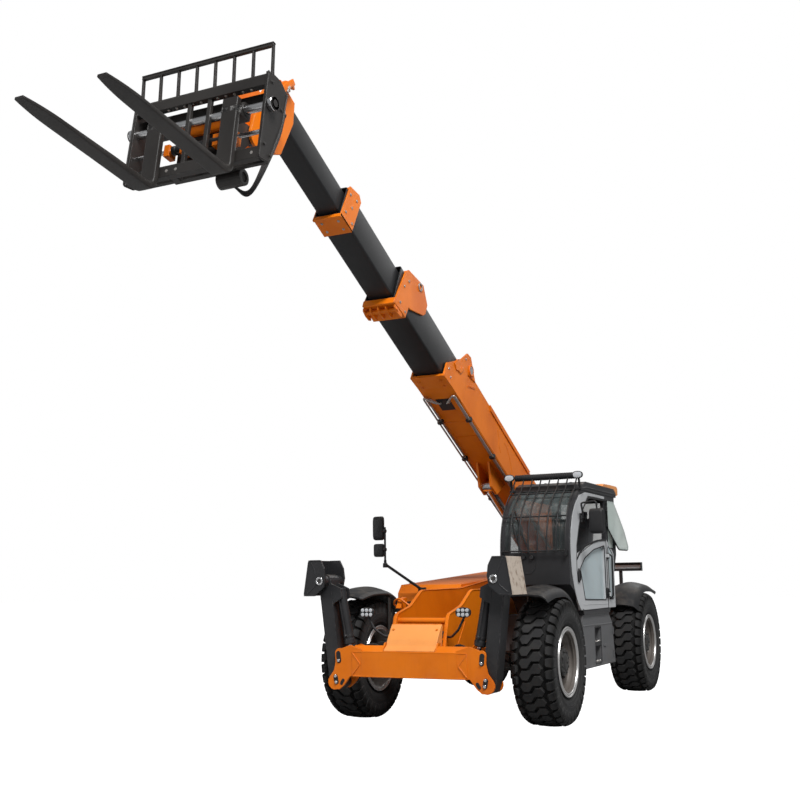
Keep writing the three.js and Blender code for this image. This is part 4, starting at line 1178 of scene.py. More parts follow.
@dataclass
class Tyre:
    """Rough-terrain tyre about the X axis: smooth carcass, a centre row of Z lugs, shoulder lugs."""

    radius: float = 0.5965
    lug: float = 0.030
    pitches: int = 34
    steps: int = 170
    half: float = 0.1985
    rim: float = 0.3345

    def wall(self) -> Array:
        """Section of one half of the carcass, from the crown to the bead, as (across, radius)."""
        base = self.radius - self.lug
        knots = [
            (0.0, base), (0.07, base - 0.001), (0.125, base - 0.005), (0.160, base - 0.014), (0.181, base - 0.034),
            (0.190, base - 0.064), (0.1955, base - 0.100), (0.1975, base - 0.135), (0.193, base - 0.170),
            (0.183, base - 0.200), (0.172, base - 0.218), (0.168, 0.345), (0.162, self.rim),
        ]
        return through(knots, 3)

    def carcass(self) -> Shell:
        """Casing: the half section, its mirror image and the bore between the beads, turned round."""
        half = self.wall()
        other = half[::-1] * [-1, 1]
        profile = np.concatenate([other[:-1], half, [(0.155, 0.312), (-0.155, 0.312)]])
        return lathe(profile, self.steps)

    def centre_lug(self) -> Shell:
        """One Z-shaped block of the crown: two bars offset round the tyre and joined by a neck.

        Three rings of its outline rise from the casing: the foot, the drafted top edge and the
        chamfered face. Each point (across, round, height) is wrapped on the casing's cylinder.
        """
        outline = np.array([
            (-0.114, -0.034), (-0.086, -0.078), (-0.034, -0.078), (0.012, -0.012), (0.088, -0.010),
            (0.114, 0.034), (0.086, 0.078), (0.034, 0.078), (-0.012, 0.012), (-0.088, 0.010),
        ])
        scales, heights = [1.0, 0.965, 0.93], [-0.006, self.lug - 0.002, self.lug]
        rings = [self.wrap(outline[::-1] * scale, height) for scale, height in zip(scales, heights)]
        return grid(np.array(rings)[:, ::-1], wrap_v=True, caps=True)

    def wrap(self, flat: Array, height: float) -> Array:
        """Lay points on the casing.

        Args:
            flat: Points as (across, round), in metres.
            height: How far they stand above the casing.

        Returns:
            The points: the round distance becomes an angle, and the crown falls off by 0.5 * across**2.
        """
        across, around = flat.T
        radius = self.radius - self.lug + height - 0.5 * across**2
        angle = around / self.radius
        return np.stack([across, radius * np.sin(angle), radius * np.cos(angle)], -1)

    def shoulder_lug(self) -> Shell:
        """One shoulder block that runs over the tyre's edge and down its wall.

        u follows the casing's section from the crown to the wall; v crosses the block: foot, top edge,
        top, top edge, foot. Height fades out down the wall and the width follows a hexagon.
        """
        t = np.linspace(0, 1, 9)
        knots = np.array([
            (0.124, -0.003), (0.150, -0.008), (0.176, -0.024), (0.188, -0.050), (0.196, -0.085), (0.198, -0.112),
        ])
        section = through(knots + [0, self.radius - self.lug], 4)
        pick = section[np.round(t * (len(section) - 1)).astype(int)]
        tangent = np.gradient(pick, axis=0)
        normal = np.stack([-tangent[:, 1], tangent[:, 0]], -1)
        normal /= np.linalg.norm(normal, axis=1, keepdims=True)
        width = np.interp(t, [0, 0.16, 0.30, 1.0], [0.016, 0.041, 0.0465, 0.045])
        height = np.interp(t, [0, 0.06, 0.55, 0.9, 1.0], [0.4, 1.0, 0.85, 0.35, 0.0]) * (self.lug - 0.001)
        across = np.array([-1.0, -0.93, -0.86, 0.86, 0.93, 1.0])
        lift = np.array([-0.25, 0.88, 1.0, 1.0, 0.88, -0.25])
        rise = height[:, None] * lift
        x = pick[:, :1] + normal[:, :1] * rise
        x = np.minimum(x, self.half)
        radius = pick[:, 1:] + normal[:, 1:] * rise
        angle = width[:, None] * across / self.radius
        points = np.stack([x, radius * np.sin(angle), radius * np.cos(angle)], -1)
        return grid(points[:, ::-1], wrap_v=True, caps=True)

    def ribs(self) -> Shell:
        """Two fine raised rings on each wall."""
        rings = [lathe(self.ring_profile(radius), 120) for radius in (0.372, 0.405, 0.420)]
        return both_sides(joined(rings))

    def ring_profile(self, radius: float) -> list[tuple[float, float]]:
        """Section of a ring that stands 2 mm out of the wall.

        Args:
            radius: Where on the wall it lies.

        Returns:
            Its four corners, as (across, radius).
        """
        half = self.wall()
        across = float(np.interp(-radius, -half[:, 1], half[:, 0]))
        return [(across - 0.004, radius - 0.003), (across - 0.004, radius + 0.003), (across + 0.002, radius + 0.002),
                (across + 0.002, radius - 0.002)]

    def build(self) -> tuple[Shell, Array]:
        """The whole tyre.

        Returns:
            The surface and, at each of its points, how deep it lies between the lugs (0 to 1).
        """
        turn = 2 * math.pi / self.pitches
        centre = copies(self.centre_lug(), spins(self.pitches))
        right = copies(self.shoulder_lug(), spins(self.pitches, start=turn * 0.20))
        left = copies(self.shoulder_lug().mirrored(), spins(self.pitches, start=turn * 0.80))
        whole = joined([self.carcass(), centre, right, left, self.ribs()])
        radius = np.hypot(whole.points[:, 1], whole.points[:, 2])
        depth = np.clip((self.radius - 0.004 - radius) / self.lug, 0, 1) * (radius > self.radius - 0.09)
        return whole, depth


@dataclass
class Rim:
    """Wheel rim about the X axis with its dish and planetary hub, outboard towards +X."""

    flange: float = 0.329
    barrel: float = 0.300
    half: float = 0.1885
    bolts: int = 12
    hub: float = 0.128

    def ring(self) -> Shell:
        """Silver ring: flange, bead seat, lock ring groove and barrel, both sides."""
        outer = [
            (0.150, self.barrel), (0.165, 0.304), (0.172, self.flange - 0.006), (0.180, self.flange),
            (self.half, self.flange - 0.004), (self.half, 0.318), (0.180, 0.311), (0.180, 0.303),
            (0.187, 0.300), (0.187, 0.292), (0.176, 0.287), (0.150, 0.285), (0.120, 0.284),
        ]
        inner = [(-x, r) for x, r in outer[::-1]]
        return lathe([*inner, *outer], 96)

    def dish(self) -> Shell:
        """Taupe disc: falls from the barrel in a cone, then a flat with a raised bolt ring."""
        profile = [
            (-0.02, 0.284), (0.176, 0.288), (0.176, 0.282), (0.158, 0.280), (0.153, 0.274), (0.145, 0.274),
            (0.140, 0.279), (0.124, 0.278), (0.116, 0.270), (0.100, 0.262), (0.090, 0.243), (0.087, 0.215),
            (0.083, 0.195), (0.083, 0.150), (0.070, 0.138), (0.050, 0.118), (0.005, 0.118), (0.005, 0.270),
        ]
        return lathe(profile, 96)

    def cap(self) -> Shell:
        """Hub with a stepped planetary cover."""
        r = self.hub
        profile = [
            (-0.060, 0), (-0.060, r), (0.140, r), (0.148, r - 0.008), (0.148, r - 0.050), (0.156, r - 0.056),
            (0.162, r - 0.064), (0.166, r - 0.072), (0.166, 0),
        ]
        return lathe(profile, 64, wrap=False)

    def studs(self) -> Shell:
        """Wheel nuts round the dish, bolts round the cover and its fill plug."""
        nut = joined([bolt(0.0165, 0.020), disc(0.009, 0.034, 12)])
        nuts = copies(nut, spins(self.bolts) @ shifts([(0.083, 0, 0.172)]))
        screws = copies(bolt(0.013, 0.012), spins(8, start=0.3) @ shifts([(0.148, 0, self.hub - 0.028)]))
        plug = at(bolt(0.018, 0.010), (0.166, 0.02, 0.0))
        return joined([nuts, screws, plug])

    def openings(self) -> Shell:
        """Shallow oval pockets pressed into the dish."""
        pocket = at(lathe([(0, 0), (0, 0.015), (0.0035, 0.013), (0.0035, 0)], 20, wrap=False), (0.0865, 0, 0.228))
        return copies(pocket, spins(8, start=0.2))


@dataclass
class Fender(Assembly):
    """Moulded wheel fender: a crowned arch with a rolled outer lip, a hump and rivets."""

    outer: float = 1.163
    inner: float = 0.747
    thick: float = 0.016

    def path(self) -> Array:
        """Line over the wheel, from the outward tip to the low end, as (Y, Z) from the axle."""
        knots = [
            (-0.562, 0.6245), (-0.44, 0.650), (-0.28, 0.673), (-0.10, 0.680), (0.08, 0.674), (0.25, 0.628),
            (0.38, 0.552), (0.47, 0.468), (0.505, 0.436),
        ]
        return through(knots, 7)

    def blade(self) -> Shell:
        """Arch: u runs along the line, v round a flat section with a rolled outer lip.

        The section's height at share v across is crown * sin(pi v) less the lip's drop; a hump of
        Gaussian shape rises over the wheel's inner half.
        """
        line = self.path()
        tangent = np.gradient(line, axis=0)
        tangent /= np.linalg.norm(tangent, axis=1, keepdims=True)
        out = np.stack([-tangent[:, 1], tangent[:, 0]], -1)
        if out[len(out) // 2, 1] < 0:
            out = -out
        share = np.linspace(0, 1, 25)
        x = self.inner + (self.outer - self.inner) * share
        lip = -0.050 * np.clip((share - 0.86) / 0.14, 0, 1) ** 2 - 0.018 * np.clip((0.10 - share) / 0.10, 0, 1) ** 2
        crown = 0.044 * np.sin(math.pi * share) - 0.010
        u = np.linspace(0, 1, len(line))
        hump = 0.012 * np.exp(-((u - 0.42) / 0.16) ** 2)[:, None] * np.exp(-((share - 0.55) / 0.28) ** 2)
        groove = -0.004 * np.exp(-((share - 0.16) / 0.02) ** 2)
        top = crown + lip + hump + groove
        fade = np.clip(u / 0.05, 0, 1)[:, None]
        top = top * (0.5 + 0.5 * fade)
        low = top - self.thick
        height = np.concatenate([top, low[:, ::-1]], axis=1)
        across = np.concatenate([x, x[::-1]])
        points = np.empty((len(line), len(across), 3))
        points[..., 0] = across
        points[..., 1:] = line[:, None, :] + out[:, None, :] * height[..., None]
        return grid(points, wrap_v=True, caps=True)

    def rivets(self) -> Shell:
        """Four fixings on the hump and two by the low end."""
        head = lathe([(0, 0), (0, 0.0075), (0.003, 0.0055), (0.0042, 0)], 14, wrap=False)
        spots = [(x, y, 0.6915) for x in (0.95, 0.99) for y in (-0.06, -0.02)]
        return copies(head, shifts(spots) @ facing((0, 0, 1)))

    def bracket(self) -> Shell:
        """Folded steel bracket from the knuckle up to the arch."""
        web = prism([(0.744, -0.05), (0.784, -0.05), (0.784, 0.05), (0.744, 0.05)], 0.1003, 0.122, "y")
        post = sweep(
            rounded([(0.764, 0.111, 0.03), (0.764, 0.111, 0.62), (0.82, 0.06, 0.672)], 0.05), oval(0.038, 0.018, 6)
        )
        return joined([web, post])

    def build(self) -> None:
        """Four fenders; the right ones and the rear ones are mirror images."""
        for side in Side:
            for end in End:
                y = 0.0 if end is End.FRONT else RunningGear.wheelbase
                shells = []
                for shell in (joined([self.blade(), self.rivets()]), self.bracket()):
                    if end is End.REAR:
                        shell = Shell(shell.points * [1, -1, 1], [face[::-1] for face in shell.faces])
                    shell = shell.shifted(0, y, RunningGear.hub_height)
                    shells.append(shell if side is Side.LEFT else shell.mirrored())
                where = f"{end.value}_{side.value}"
                body = f"knuckle_{where}"
                self.piece(
                    f"fender_arch_{where}", shells[0], Finish.PLASTIC, body,
                    [f"fender_{where}"], 40, repair=True,
                )
                self.piece(f"fender_bracket_{where}", shells[1], Finish.CAST, body)


@dataclass
class RunningGear(Assembly):
    """Wheels, tyres and the finishes of the axles."""

    wheelbase: float = 3.410
    hub_height: float = 0.597
    track: float = 1.000

    def wheel(self, side: Side, end: End) -> None:
        """Tyre and rim at one corner.

        Args:
            side: Its side of the machine.
            end: Its axle.
        """
        where = f"{end.value}_{side.value}"
        centre = (side.sign * self.track, 0.0 if end is End.FRONT else self.wheelbase, self.hub_height)
        rim = Rim()

        def own(shell: Shell) -> Shell:
            """The shell at this corner, its outboard side outwards."""
            return (shell if side is Side.LEFT else shell.mirrored()).shifted(*centre)

        tyre, depth = Tyre().build()
        body = f"wheel_{where}"
        self.piece(
            f"tread_{where}", own(tyre), Finish.TYRE, body, [f"tyre_{where}"], 18, depth,
        )
        self.piece(f"rim_ring_{where}", own(rim.ring()), Finish.RING, body, [f"rim_{where}"])
        self.piece(f"rim_dish_{where}", own(joined([rim.dish(), rim.openings()])), Finish.DISH, body)
        self.piece(f"hub_cap_{where}", own(rim.cap()), Finish.HUB, body)
        self.piece(f"wheel_nuts_{where}", own(rim.studs()), Finish.CAST, body)

    def axle_hoses(self) -> Shell:
        """Steering hoses that loop along the front axle, clipped to it."""
        tube = circle(0.011, 10)
        paths = [
            [(0.30, -0.10, 0.67), (0.42, -0.13, 0.70), (0.55, -0.12, 0.69), (0.63, -0.09, 0.66), (0.66, -0.05, 0.62)],
            [(0.30, -0.13, 0.62), (0.44, -0.15, 0.64), (0.56, -0.14, 0.62), (0.63, -0.10, 0.58), (0.66, -0.04, 0.56)],
        ]
        return both_sides(joined([sweep(through(path), tube) for path in paths]))

    def cylinders(self) -> Shell:
        """Steering cylinder of each axle, lying along it."""
        return joined([
            at(lathe([(0, 0), (0, 0.035), (0.40, 0.035), (0.40, 0)], 24, wrap=False), (-0.20, y, 0.56))
            for y in (-0.135, self.wheelbase + 0.135)
        ])

    def rods(self) -> Shell:
        """Bright rod of each steering cylinder."""
        return joined([rod((-0.53, y, 0.56), (0.53, y, 0.56), 0.014) for y in (-0.135, self.wheelbase + 0.135)])

    def build(self) -> None:
        """All four corners, then the axles' fittings."""
        for side in Side:
            for end in End:
                self.wheel(side, end)
        corners = [f"{end.value}_{side.value}" for side in Side for end in End]
        self.dress(Finish.CAST, "front_axle", "rear_axle", *[f"knuckle_{name}" for name in corners])
        self.pieces(
            "chassis",
            ("steering_cylinders", self.cylinders(), Finish.CAST),
            ("steering_rods", self.rods(), Finish.STEEL),
            ("axle_hoses", self.axle_hoses(), Finish.RUBBER),
        )


# ---------------------------------------------------------------- chassis


def hose(points: Sequence[Point], radius: float = 0.011, steps: int = 6) -> Shell:
    """Round hose with a crimped ferrule at each end.

    Args:
        points: The points that it passes.
        radius: Its radius.
        steps: Steps between two points.

    Returns:
        The hose and its ferrules.
    """
    path = through(points, steps)
    ends = []
    for tip, inner in ((path[0], path[1]), (path[-1], path[-2])):
        direction = tuple((inner - tip) / np.linalg.norm(inner - tip))
        profile = [(0, 0), (0, radius * 1.5), (radius * 2.4, radius * 1.5), (radius * 3, radius * 1.1), (radius * 3, 0)]
        ends.append(at(lathe(profile, 14, wrap=False), tuple(tip), direction))
    return joined([sweep(path, circle(radius, 10)), *ends])


def seam(points: Sequence[Point], width: float = 0.010, height: float = 0.006, up: Point = (0, 0, 1)) -> Shell:
    """Thin raised strip or weld bead along straight runs."""
    return sweep(rounded(points, 0.012, 4), oval(width, height, 2.4, 10), up=up)


@dataclass
class Chassis(Assembly):
    """Side plates, nose, stabiliser beam, hood, counterweight, side box and their fittings."""

    beam_front: float = -1.062
    lobe_front: float = -1.060
    box_side: float = 1.120
    hood_side: float = -1.010
    lamp: Point = (0.491, -0.925, 1.085)
    rear_bar: float = 4.5625

    def nose(self) -> Shell:
        """Folded cover at the nose: a profile in Y and Z carried across, with turned-down ends."""
        profile = np.array([
            (-0.838, 0.968), (-0.856, 0.976), (-0.872, 0.966), (-0.962, 0.846), (-0.974, 0.826), (-0.984, 0.795),
            (-0.994, 0.781), (-1.046, 0.750), (-1.050, 0.742), (-1.046, 0.736), (-0.88, 0.735), (-0.84, 0.952),
        ])
        across = np.array([-0.2545, -0.250, 0.250, 0.2545])
        shrink = np.array([0.985, 1.0, 1.0, 0.985])[:, None, None]
        return grid(across_machine(profile, across, shrink), wrap_v=True, caps=True)

    def nose_lines(self) -> Shell:
        """Bolt heads on the cover and a rolled edge along its top."""
        heads = bolts([(x, -0.90, 0.926) for x in (-0.22, 0.22)], (0, -0.8, 0.6), 0.010, 0.007)
        edge = sweep(np.array([(-0.25, -0.853, 0.974), (0.25, -0.853, 0.974)]), circle(0.007, 10))
        return joined([heads, edge])

    def beam_trim(self) -> Shell:
        """Chevron folds and end plates on the beam's face, and the rolled lip along its top."""
        y = self.beam_front
        chevron = seam([(0.575, y, 0.722), (0.492, y, 0.618), (0.575, y, 0.522)], 0.012, 0.012, (0, -1, 0))
        plate = prism([(0.578, 0.512), (0.578, 0.728), (0.500, 0.618)], y - 0.002, y + 0.004, "y")
        lip = sweep(np.array([(-0.576, y + 0.006, 0.731), (0.576, y + 0.006, 0.731)]), oval(0.016, 0.014, 3, 12))
        foot = sweep(np.array([(-0.576, y + 0.006, 0.511), (0.576, y + 0.006, 0.511)]), oval(0.016, 0.014, 3, 12))
        ledge = prism([(-1.058, 0.734), (-1.002, 0.788), (-0.994, 0.782), (-1.048, 0.730)], 0.272, 0.572)
        gusset = prism([(-1.060, 0.734), (-0.990, 0.815), (-0.940, 0.815), (-0.940, 0.734)], 0.262, 0.274)
        return joined([*map(both_sides, (chevron, plate, ledge, gusset)), lip, foot])

    def lobe_slot(self, low: Point, high: Point, width: float) -> Shell:
        """Painted shade of a rounded recess in a lobe: a thin black plate with round ends.

        Args:
            low: Middle of its lower end.
            high: Middle of its upper end.
            width: Its width.

        Returns:
            The plate: two half circles joined by straight sides.
        """
        a, b = np.array(low), np.array(high)
        way = (b - a) / np.linalg.norm(b - a)
        side = np.array([way[2], 0, -way[0]])
        angle = np.linspace(-math.pi / 2, math.pi / 2, 11)[:, None]
        top = b + width / 2 * (np.cos(angle) * way + np.sin(angle) * side)
        bottom = a - width / 2 * (np.cos(angle) * way + np.sin(angle) * side)
        ring_path = np.concatenate([top, bottom])
        flat = [(float(p[0]), float(p[2])) for p in ring_path]
        return prism(flat, low[1] - 0.0030, low[1] + 0.002, "y")

    def slots(self) -> Shell:
        """Two slots in each lobe, at front and rear."""
        # Each slot is a black plate of painted shade.
        y = self.lobe_front
        one = joined([
            self.lobe_slot((0.716, y, 0.648), (0.722, y, 0.712), 0.046),
            self.lobe_slot((0.742, y, 0.452), (0.752, y, 0.500), 0.044),
            self.lobe_slot((0.672, y, 0.470), (0.690, y, 0.442), 0.030),
        ])
        return both_sides(one)

    def slot_bolts(self) -> Shell:
        """Bright pins in the lobes' slots."""
        y = self.lobe_front - 0.003
        spots = [(0.716, y, 0.650), (0.750, y, 0.506), (0.742, y, 0.452)]
        pins = [at(disc(0.014, 0.012, 16), spot, (0, -1, 0)) for spot in spots]
        return both_sides(joined(pins))

    def plate_trim(self) -> Shell:
        """Flanged upper edge of each side plate and the slots cut in them."""
        edge = [
            (0.268, -0.857, 0.765), (0.268, -0.753, 1.060), (0.268, -0.430, 1.132), (0.268, -0.167, 1.279),
            (0.268, 0.840, 1.287), (0.268, 1.900, 1.392), (0.268, 3.700, 1.442), (0.268, 4.02, 1.50),
        ]
        rail = sweep(rounded(edge, 0.05, 5), oval(0.036, 0.012, 4, 12), up=(0, 0, 1))
        ribs = [
            seam([(0.281, -0.60, 0.72), (0.281, -0.36, 0.98)], 0.012, 0.008, (1, 0, 0)),
            seam([(0.281, -0.30, 0.70), (0.281, 0.30, 0.86), (0.281, 0.62, 0.86)], 0.012, 0.008, (1, 0, 0)),
            seam([(0.281, 1.0, 0.72), (0.281, 3.1, 0.72)], 0.012, 0.008, (1, 0, 0)),
        ]
        return both_sides(joined([rail, *ribs]))

    def bracket(self) -> Shell:
        """Orange bracket beside the right plate, with its hose guide."""
        plate = prism([(-0.30, 1.10), (-0.255, 1.18), (-0.28, 1.215), (-0.36, 1.20), (-0.42, 1.11)], -0.43, -0.38, "x")
        bend = [(-0.28, -0.38, 1.12), (-0.40, -0.40, 1.20), (-0.47, -0.37, 1.15), (-0.40, -0.3, 1.08)]
        return joined([plate, sweep(through(bend, 8), circle(0.010, 10))])

    def lamp_arm(self) -> Shell:
        """Bent tube that carries a head lamp out from the side plate."""
        corners = [(0.285, -0.80, 0.86), (0.34, -0.84, 0.86), (0.43, -0.885, 0.93), (0.49, -0.885, 1.045)]
        return both_sides(sweep(rounded(corners, 0.03), circle(0.011, 12)))

    def lamp_housing(self) -> Shell:
        """Oval head-lamp housing: superellipse rings that swell and close behind."""
        depths = [0.0, 0.004, 0.010, 0.040, 0.062, 0.070]
        sizes = [0.90, 0.98, 1.0, 0.90, 0.62, 0.30]
        points = stacked(oval(0.150, 0.092, 2.6, 36), sizes, depths, self.lamp)
        return both_sides(grid(points[:, ::-1], wrap_v=True, caps=True))

    def lamp_cells(self) -> Shell:
        """Six round cells of each head lamp."""
        cell = lathe([(0, 0), (0, 0.0175), (0.004, 0.016), (0.006, 0.009), (0.0065, 0)], 24, wrap=False)
        x, y, z = self.lamp
        spots = [(x + dx, y, z + dz) for dx in (-0.042, 0.0, 0.042) for dz in (-0.020, 0.020)]
        return both_sides(copies(cell, shifts(spots) @ facing((0, -1, 0))))

    def hood_trim(self) -> Shell:
        """Panel edges, louvres, hinges and latches on the hood's side, its grille at the front."""
        x = self.hood_side
        y0, y1 = 0.90, 2.58
        frame_line = seam([(x, y0, 0.76), (x, y0, 1.22), (x, y1, 1.33), (x, y1, 0.76), (x, y0, 0.76)], 0.010, 0.008,
                          (-1, 0, 0))
        split = seam([(x, 1.74, 0.76), (x, 1.74, 1.27)], 0.010, 0.008, (-1, 0, 0))
        top_line = seam([(-0.98, 0.93, 1.331), (-0.98, 3.45, 1.478)], 0.012, 0.006, (0, 0, 1))
        inner_line = seam([(-0.33, 0.93, 1.331), (-0.33, 3.45, 1.478)], 0.012, 0.006, (0, 0, 1))
        cross = seam([(-0.98, 2.2, 1.405), (-0.33, 2.2, 1.405)], 0.012, 0.006, (0, 0, 1))
        return joined([frame_line, split, top_line, inner_line, cross])

    def louvres(self) -> Shell:
        """Two banks of slanted blades on the hood's side and one on its front."""
        blade = box((-0.010, -0.30, -0.004), (0.004, 0.30, 0.012))
        rows = [(self.hood_side, 1.32, 0.84 + k * 0.034) for k in range(10)]
        rows += [(self.hood_side, 2.16, 0.84 + k * 0.034) for k in range(11)]
        side = copies(blade, shifts(rows))
        bar = box((-0.26, -0.008, -0.004), (0.26, 0.004, 0.010))
        front = copies(bar, shifts([(-0.66, 0.828, 0.80 + k * 0.034) for k in range(11)]))
        return joined([side, front])

    def hood_fittings(self) -> Shell:
        """Hinges, pull handles, fuel cap and exhaust outlet of the hood."""
        hinge = rod((self.hood_side + 0.004, -0.05, 0), (self.hood_side + 0.004, 0.05, 0), 0.013, 14)
        hinges = copies(hinge, shifts([(0, y, 1.345 + 0.018 * k) for k, y in enumerate((1.2, 2.3))]))
        grip = [(0, -0.06, 0), (-0.034, -0.055, 0), (-0.034, 0.055, 0), (0, 0.06, 0)]
        pull = sweep(rounded(grip, 0.02), circle(0.007))
        pulls = copies(pull, shifts([(self.hood_side, y, 1.17) for y in (1.32, 2.16)]))
        pipe = sweep(rounded([(-0.55, 2.9, 1.42), (-0.55, 2.9, 1.60), (-0.55, 3.02, 1.66)], 0.06, 7), circle(0.045, 24))
        return joined([hinges, pulls, pipe])

    def box_trim(self) -> Shell:
        """Sill band, door edges, hinges and the seam above the side box."""
        x = self.box_side
        upper = seam([(x, 0.745, 0.895), (x, 1.885, 0.882)], 0.016, 0.010, (1, 0, 0))
        low = seam([(x, 0.745, 0.478), (x, 1.955, 0.468)], 0.012, 0.008, (1, 0, 0))
        door = seam([(x, 1.415, 0.87), (x, 1.415, 0.49)], 0.008, 0.006, (1, 0, 0))
        other = seam([(x, 1.165, 0.87), (x, 1.165, 0.49)], 0.008, 0.006, (1, 0, 0))
        latch = at(disc(0.020, 0.010, 20), (x, 1.55, 0.66))
        bar = box((x, 1.50, 0.652), (x + 0.006, 1.60, 0.668))
        hinges = [rod((x + 0.002, 1.90, z - 0.04), (x + 0.002, 1.90, z + 0.04), 0.010, 12) for z in (0.55, 0.80)]
        return joined([upper, low, door, other, latch, bar, *hinges])

    def treads(self) -> Shell:
        """Two serrated bright steps inside the box's slot: bars with a row of raised teeth."""
        plate = box((0.955, 1.184, -0.012), (1.118, 1.396, 0.0))
        teeth = [(1.112, 1.20 + 0.024 * k, 0.0) for k in range(8)] + [(1.060, 1.20 + 0.024 * k, 0.0) for k in range(8)]
        tooth = lathe([(0, 0), (0, 0.009), (0.007, 0.006), (0.007, 0)], 8, wrap=False)
        step = joined([plate, copies(tooth, shifts(teeth) @ facing((0, 0, 1)))])
        return copies(step, shifts([(0, 0, 0.516), (0, 0, 0.717)]))

    def recess_shade_and_trim(self) -> Shell:
        """Black recess behind the steps: a back plate of painted shade, a black bead round the opening and a black web.
        """
        # Back plate: painted shade at the back of the recess.
        back = box((0.902, 1.181, 0.501), (0.906, 1.399, 0.859))
        frame_side = sweep(
            rounded([(1.121, 1.172, 0.492), (1.121, 1.172, 0.868), (1.121, 1.408, 0.868), (1.121, 1.408, 0.492),
                     (1.121, 1.172, 0.492)], 0.02), oval(0.014, 0.008, 3, 10), up=(1, 0, 0))
        web = box((1.1190, 1.176, 0.672), (1.1215, 1.404, 0.712))
        return joined([back, frame_side, web])

    def rear_lamps(self, lens: RearLens) -> Shell:
        """Lens of the rear bar: a flat strip along it, or a domed lens on each side."""
        start, end = lens.value
        if lens is RearLens.STRIP:
            return box((start, 4.538, 1.500), (end, 4.5405, 1.545))
        return both_sides(domed_lens((start, end), (1.484, 1.562), self.rear_bar, 0.008))

    def rear_trim(self) -> Shell:
        """Edges, lifting eyes, tow hitch and bolts of the counterweight."""
        y = 4.5705
        heads = bolts([(x, y, z) for x in (-0.20, 0.20) for z in (0.72, 1.02)], (0, 1, 0), 0.022, 0.014)
        eyes = [at(ring(0.045, 0.026, 0.03, 28), (x - 0.015, 4.35, 1.155), (1, 0, 0)) for x in (-0.7, 0.7)]
        hitch = [prism([(-0.07, 0.72), (0.07, 0.72), (0.07, 0.735), (-0.07, 0.735)], y, y + 0.02, "y"),
                 prism([(-0.07, 0.80), (0.07, 0.80), (0.07, 0.815), (-0.07, 0.815)], y, y + 0.02, "y")]
        lines = [seam([(-0.86, y, 1.09), (0.86, y, 1.09)], 0.014, 0.008, (0, 1, 0)),
                 seam([(-0.86, y, 0.65), (0.86, y, 0.65)], 0.014, 0.008, (0, 1, 0))]
        return joined([heads, *eyes, *hitch, *lines])

    def belly_pipes(self) -> Shell:
        """Hydraulic hoses between the side plates, from the nose to the boom's foot."""
        paths = [
            [(x, -0.70, 0.70 + 0.03 * k), (x, -0.2, 0.86), (x * 0.8, 0.8, 0.80), (x * 0.8, 2.2, 0.72), (x, 3.0, 0.80)]
            for k, x in enumerate((-0.12, -0.07, -0.02, 0.05, 0.10))
        ]
        return joined([sweep(through(path, 10), circle(0.012, 8)) for path in paths])

    def beam_hoses(self) -> Shell:
        """Pairs of hoses from behind the beam to the legs' cylinders, held at both ends."""
        one = joined([
            hose([(0.40, -0.86, 0.745), (0.46, -0.93, 0.775), (0.53, -0.96, 0.760), (0.56, -0.97, 0.738)]),
            hose([(0.36, -0.86, 0.745), (0.42, -0.90, 0.790), (0.50, -0.92, 0.780), (0.545, -0.92, 0.738)]),
        ])
        return both_sides(one)

    def build(self) -> None:
        """Every piece of the chassis."""
        self.pieces(
            "chassis",
            # Nose panel in the paler orange: painted highlight.
            ("nose_panel", self.nose(), Finish.PALE_ORANGE, "nose_cover"),
            ("nose_edge", self.nose_lines(), Finish.ORANGE),
            ("beam_folds", self.beam_trim(), Finish.ORANGE),
            # Black plates of painted shade in the lobes' slots.
            ("lobe_slot_shade", self.slots(), Finish.PLASTIC),
            ("lobe_pins", self.slot_bolts(), Finish.STEEL),
            ("plate_flanges", self.plate_trim(), Finish.ORANGE),
            ("hose_bracket", self.bracket(), Finish.ORANGE),
            ("head_lamp_arms", self.lamp_arm(), Finish.PLASTIC),
            ("head_lamps", self.lamp_housing(), Finish.PLASTIC),
            ("head_lamp_cells", self.lamp_cells(), Finish.LENS),
            ("hood_seams", self.hood_trim(), Finish.ORANGE),
            ("hood_louvres", self.louvres(), Finish.PLASTIC),
            ("hood_fittings", self.hood_fittings(), Finish.CAST),
            ("box_seams", self.box_trim(), Finish.BOX),
            # Back plate of painted shade in the step recess, with black trim on its face.
            ("box_steps", self.treads(), Finish.BARE),
            ("step_recess_shade_and_trim", self.recess_shade_and_trim(), Finish.PLASTIC),
            ("rear_red_lenses", self.rear_lamps(RearLens.RED), Finish.RED),
            ("rear_amber_lenses", self.rear_lamps(RearLens.AMBER), Finish.AMBER),
            ("rear_light_strip", self.rear_lamps(RearLens.STRIP), Finish.LENS),
            ("counterweight_fittings", self.rear_trim(), Finish.CHARCOAL),
            ("belly_hoses", self.belly_pipes(), Finish.RUBBER),
            ("beam_hoses", self.beam_hoses(), Finish.RUBBER),
        )
        self.dress(Finish.ORANGE, "chassis_frame", "stabilizer_beam", "engine_hood")
        self.dress(Finish.CHARCOAL, "counterweight")
        self.dress(Finish.BOX, "side_box")
        self.dress(Finish.CAST, "engine_block")


def domed_lens(across: tuple[float, float], up: tuple[float, float], y: float, depth: float) -> Shell:
    """Domed rectangular lens that faces +Y.

    Args:
        across: Where it starts and ends along X.
        up: Where it starts and ends along Z.
        y: Where its edge lies.
        depth: How far its middle stands out.

    Returns:
        The surface: its height is depth * (1 - u**4) * (1 - v**4) for u and v from -1 to 1 across
        the lens, and a flat back closes it.
    """
    (x0, x1), (z0, z1) = across, up
    uu, vv = np.meshgrid(np.linspace(-1, 1, 13), np.linspace(-1, 1, 9), indexing="ij")
    x = (x0 + x1) / 2 + uu * (x1 - x0) / 2
    z = (z0 + z1) / 2 + vv * (z1 - z0) / 2
    front = np.stack([x, y + depth * (1 - uu**4) * (1 - vv**4), z], -1)
    back = front.copy()
    back[..., 1] = y - 0.003
    both = np.concatenate([front, back[:, ::-1]], axis=1)
    return grid(both, wrap_v=True, caps=True)


# ---------------------------------------------------------------- cab


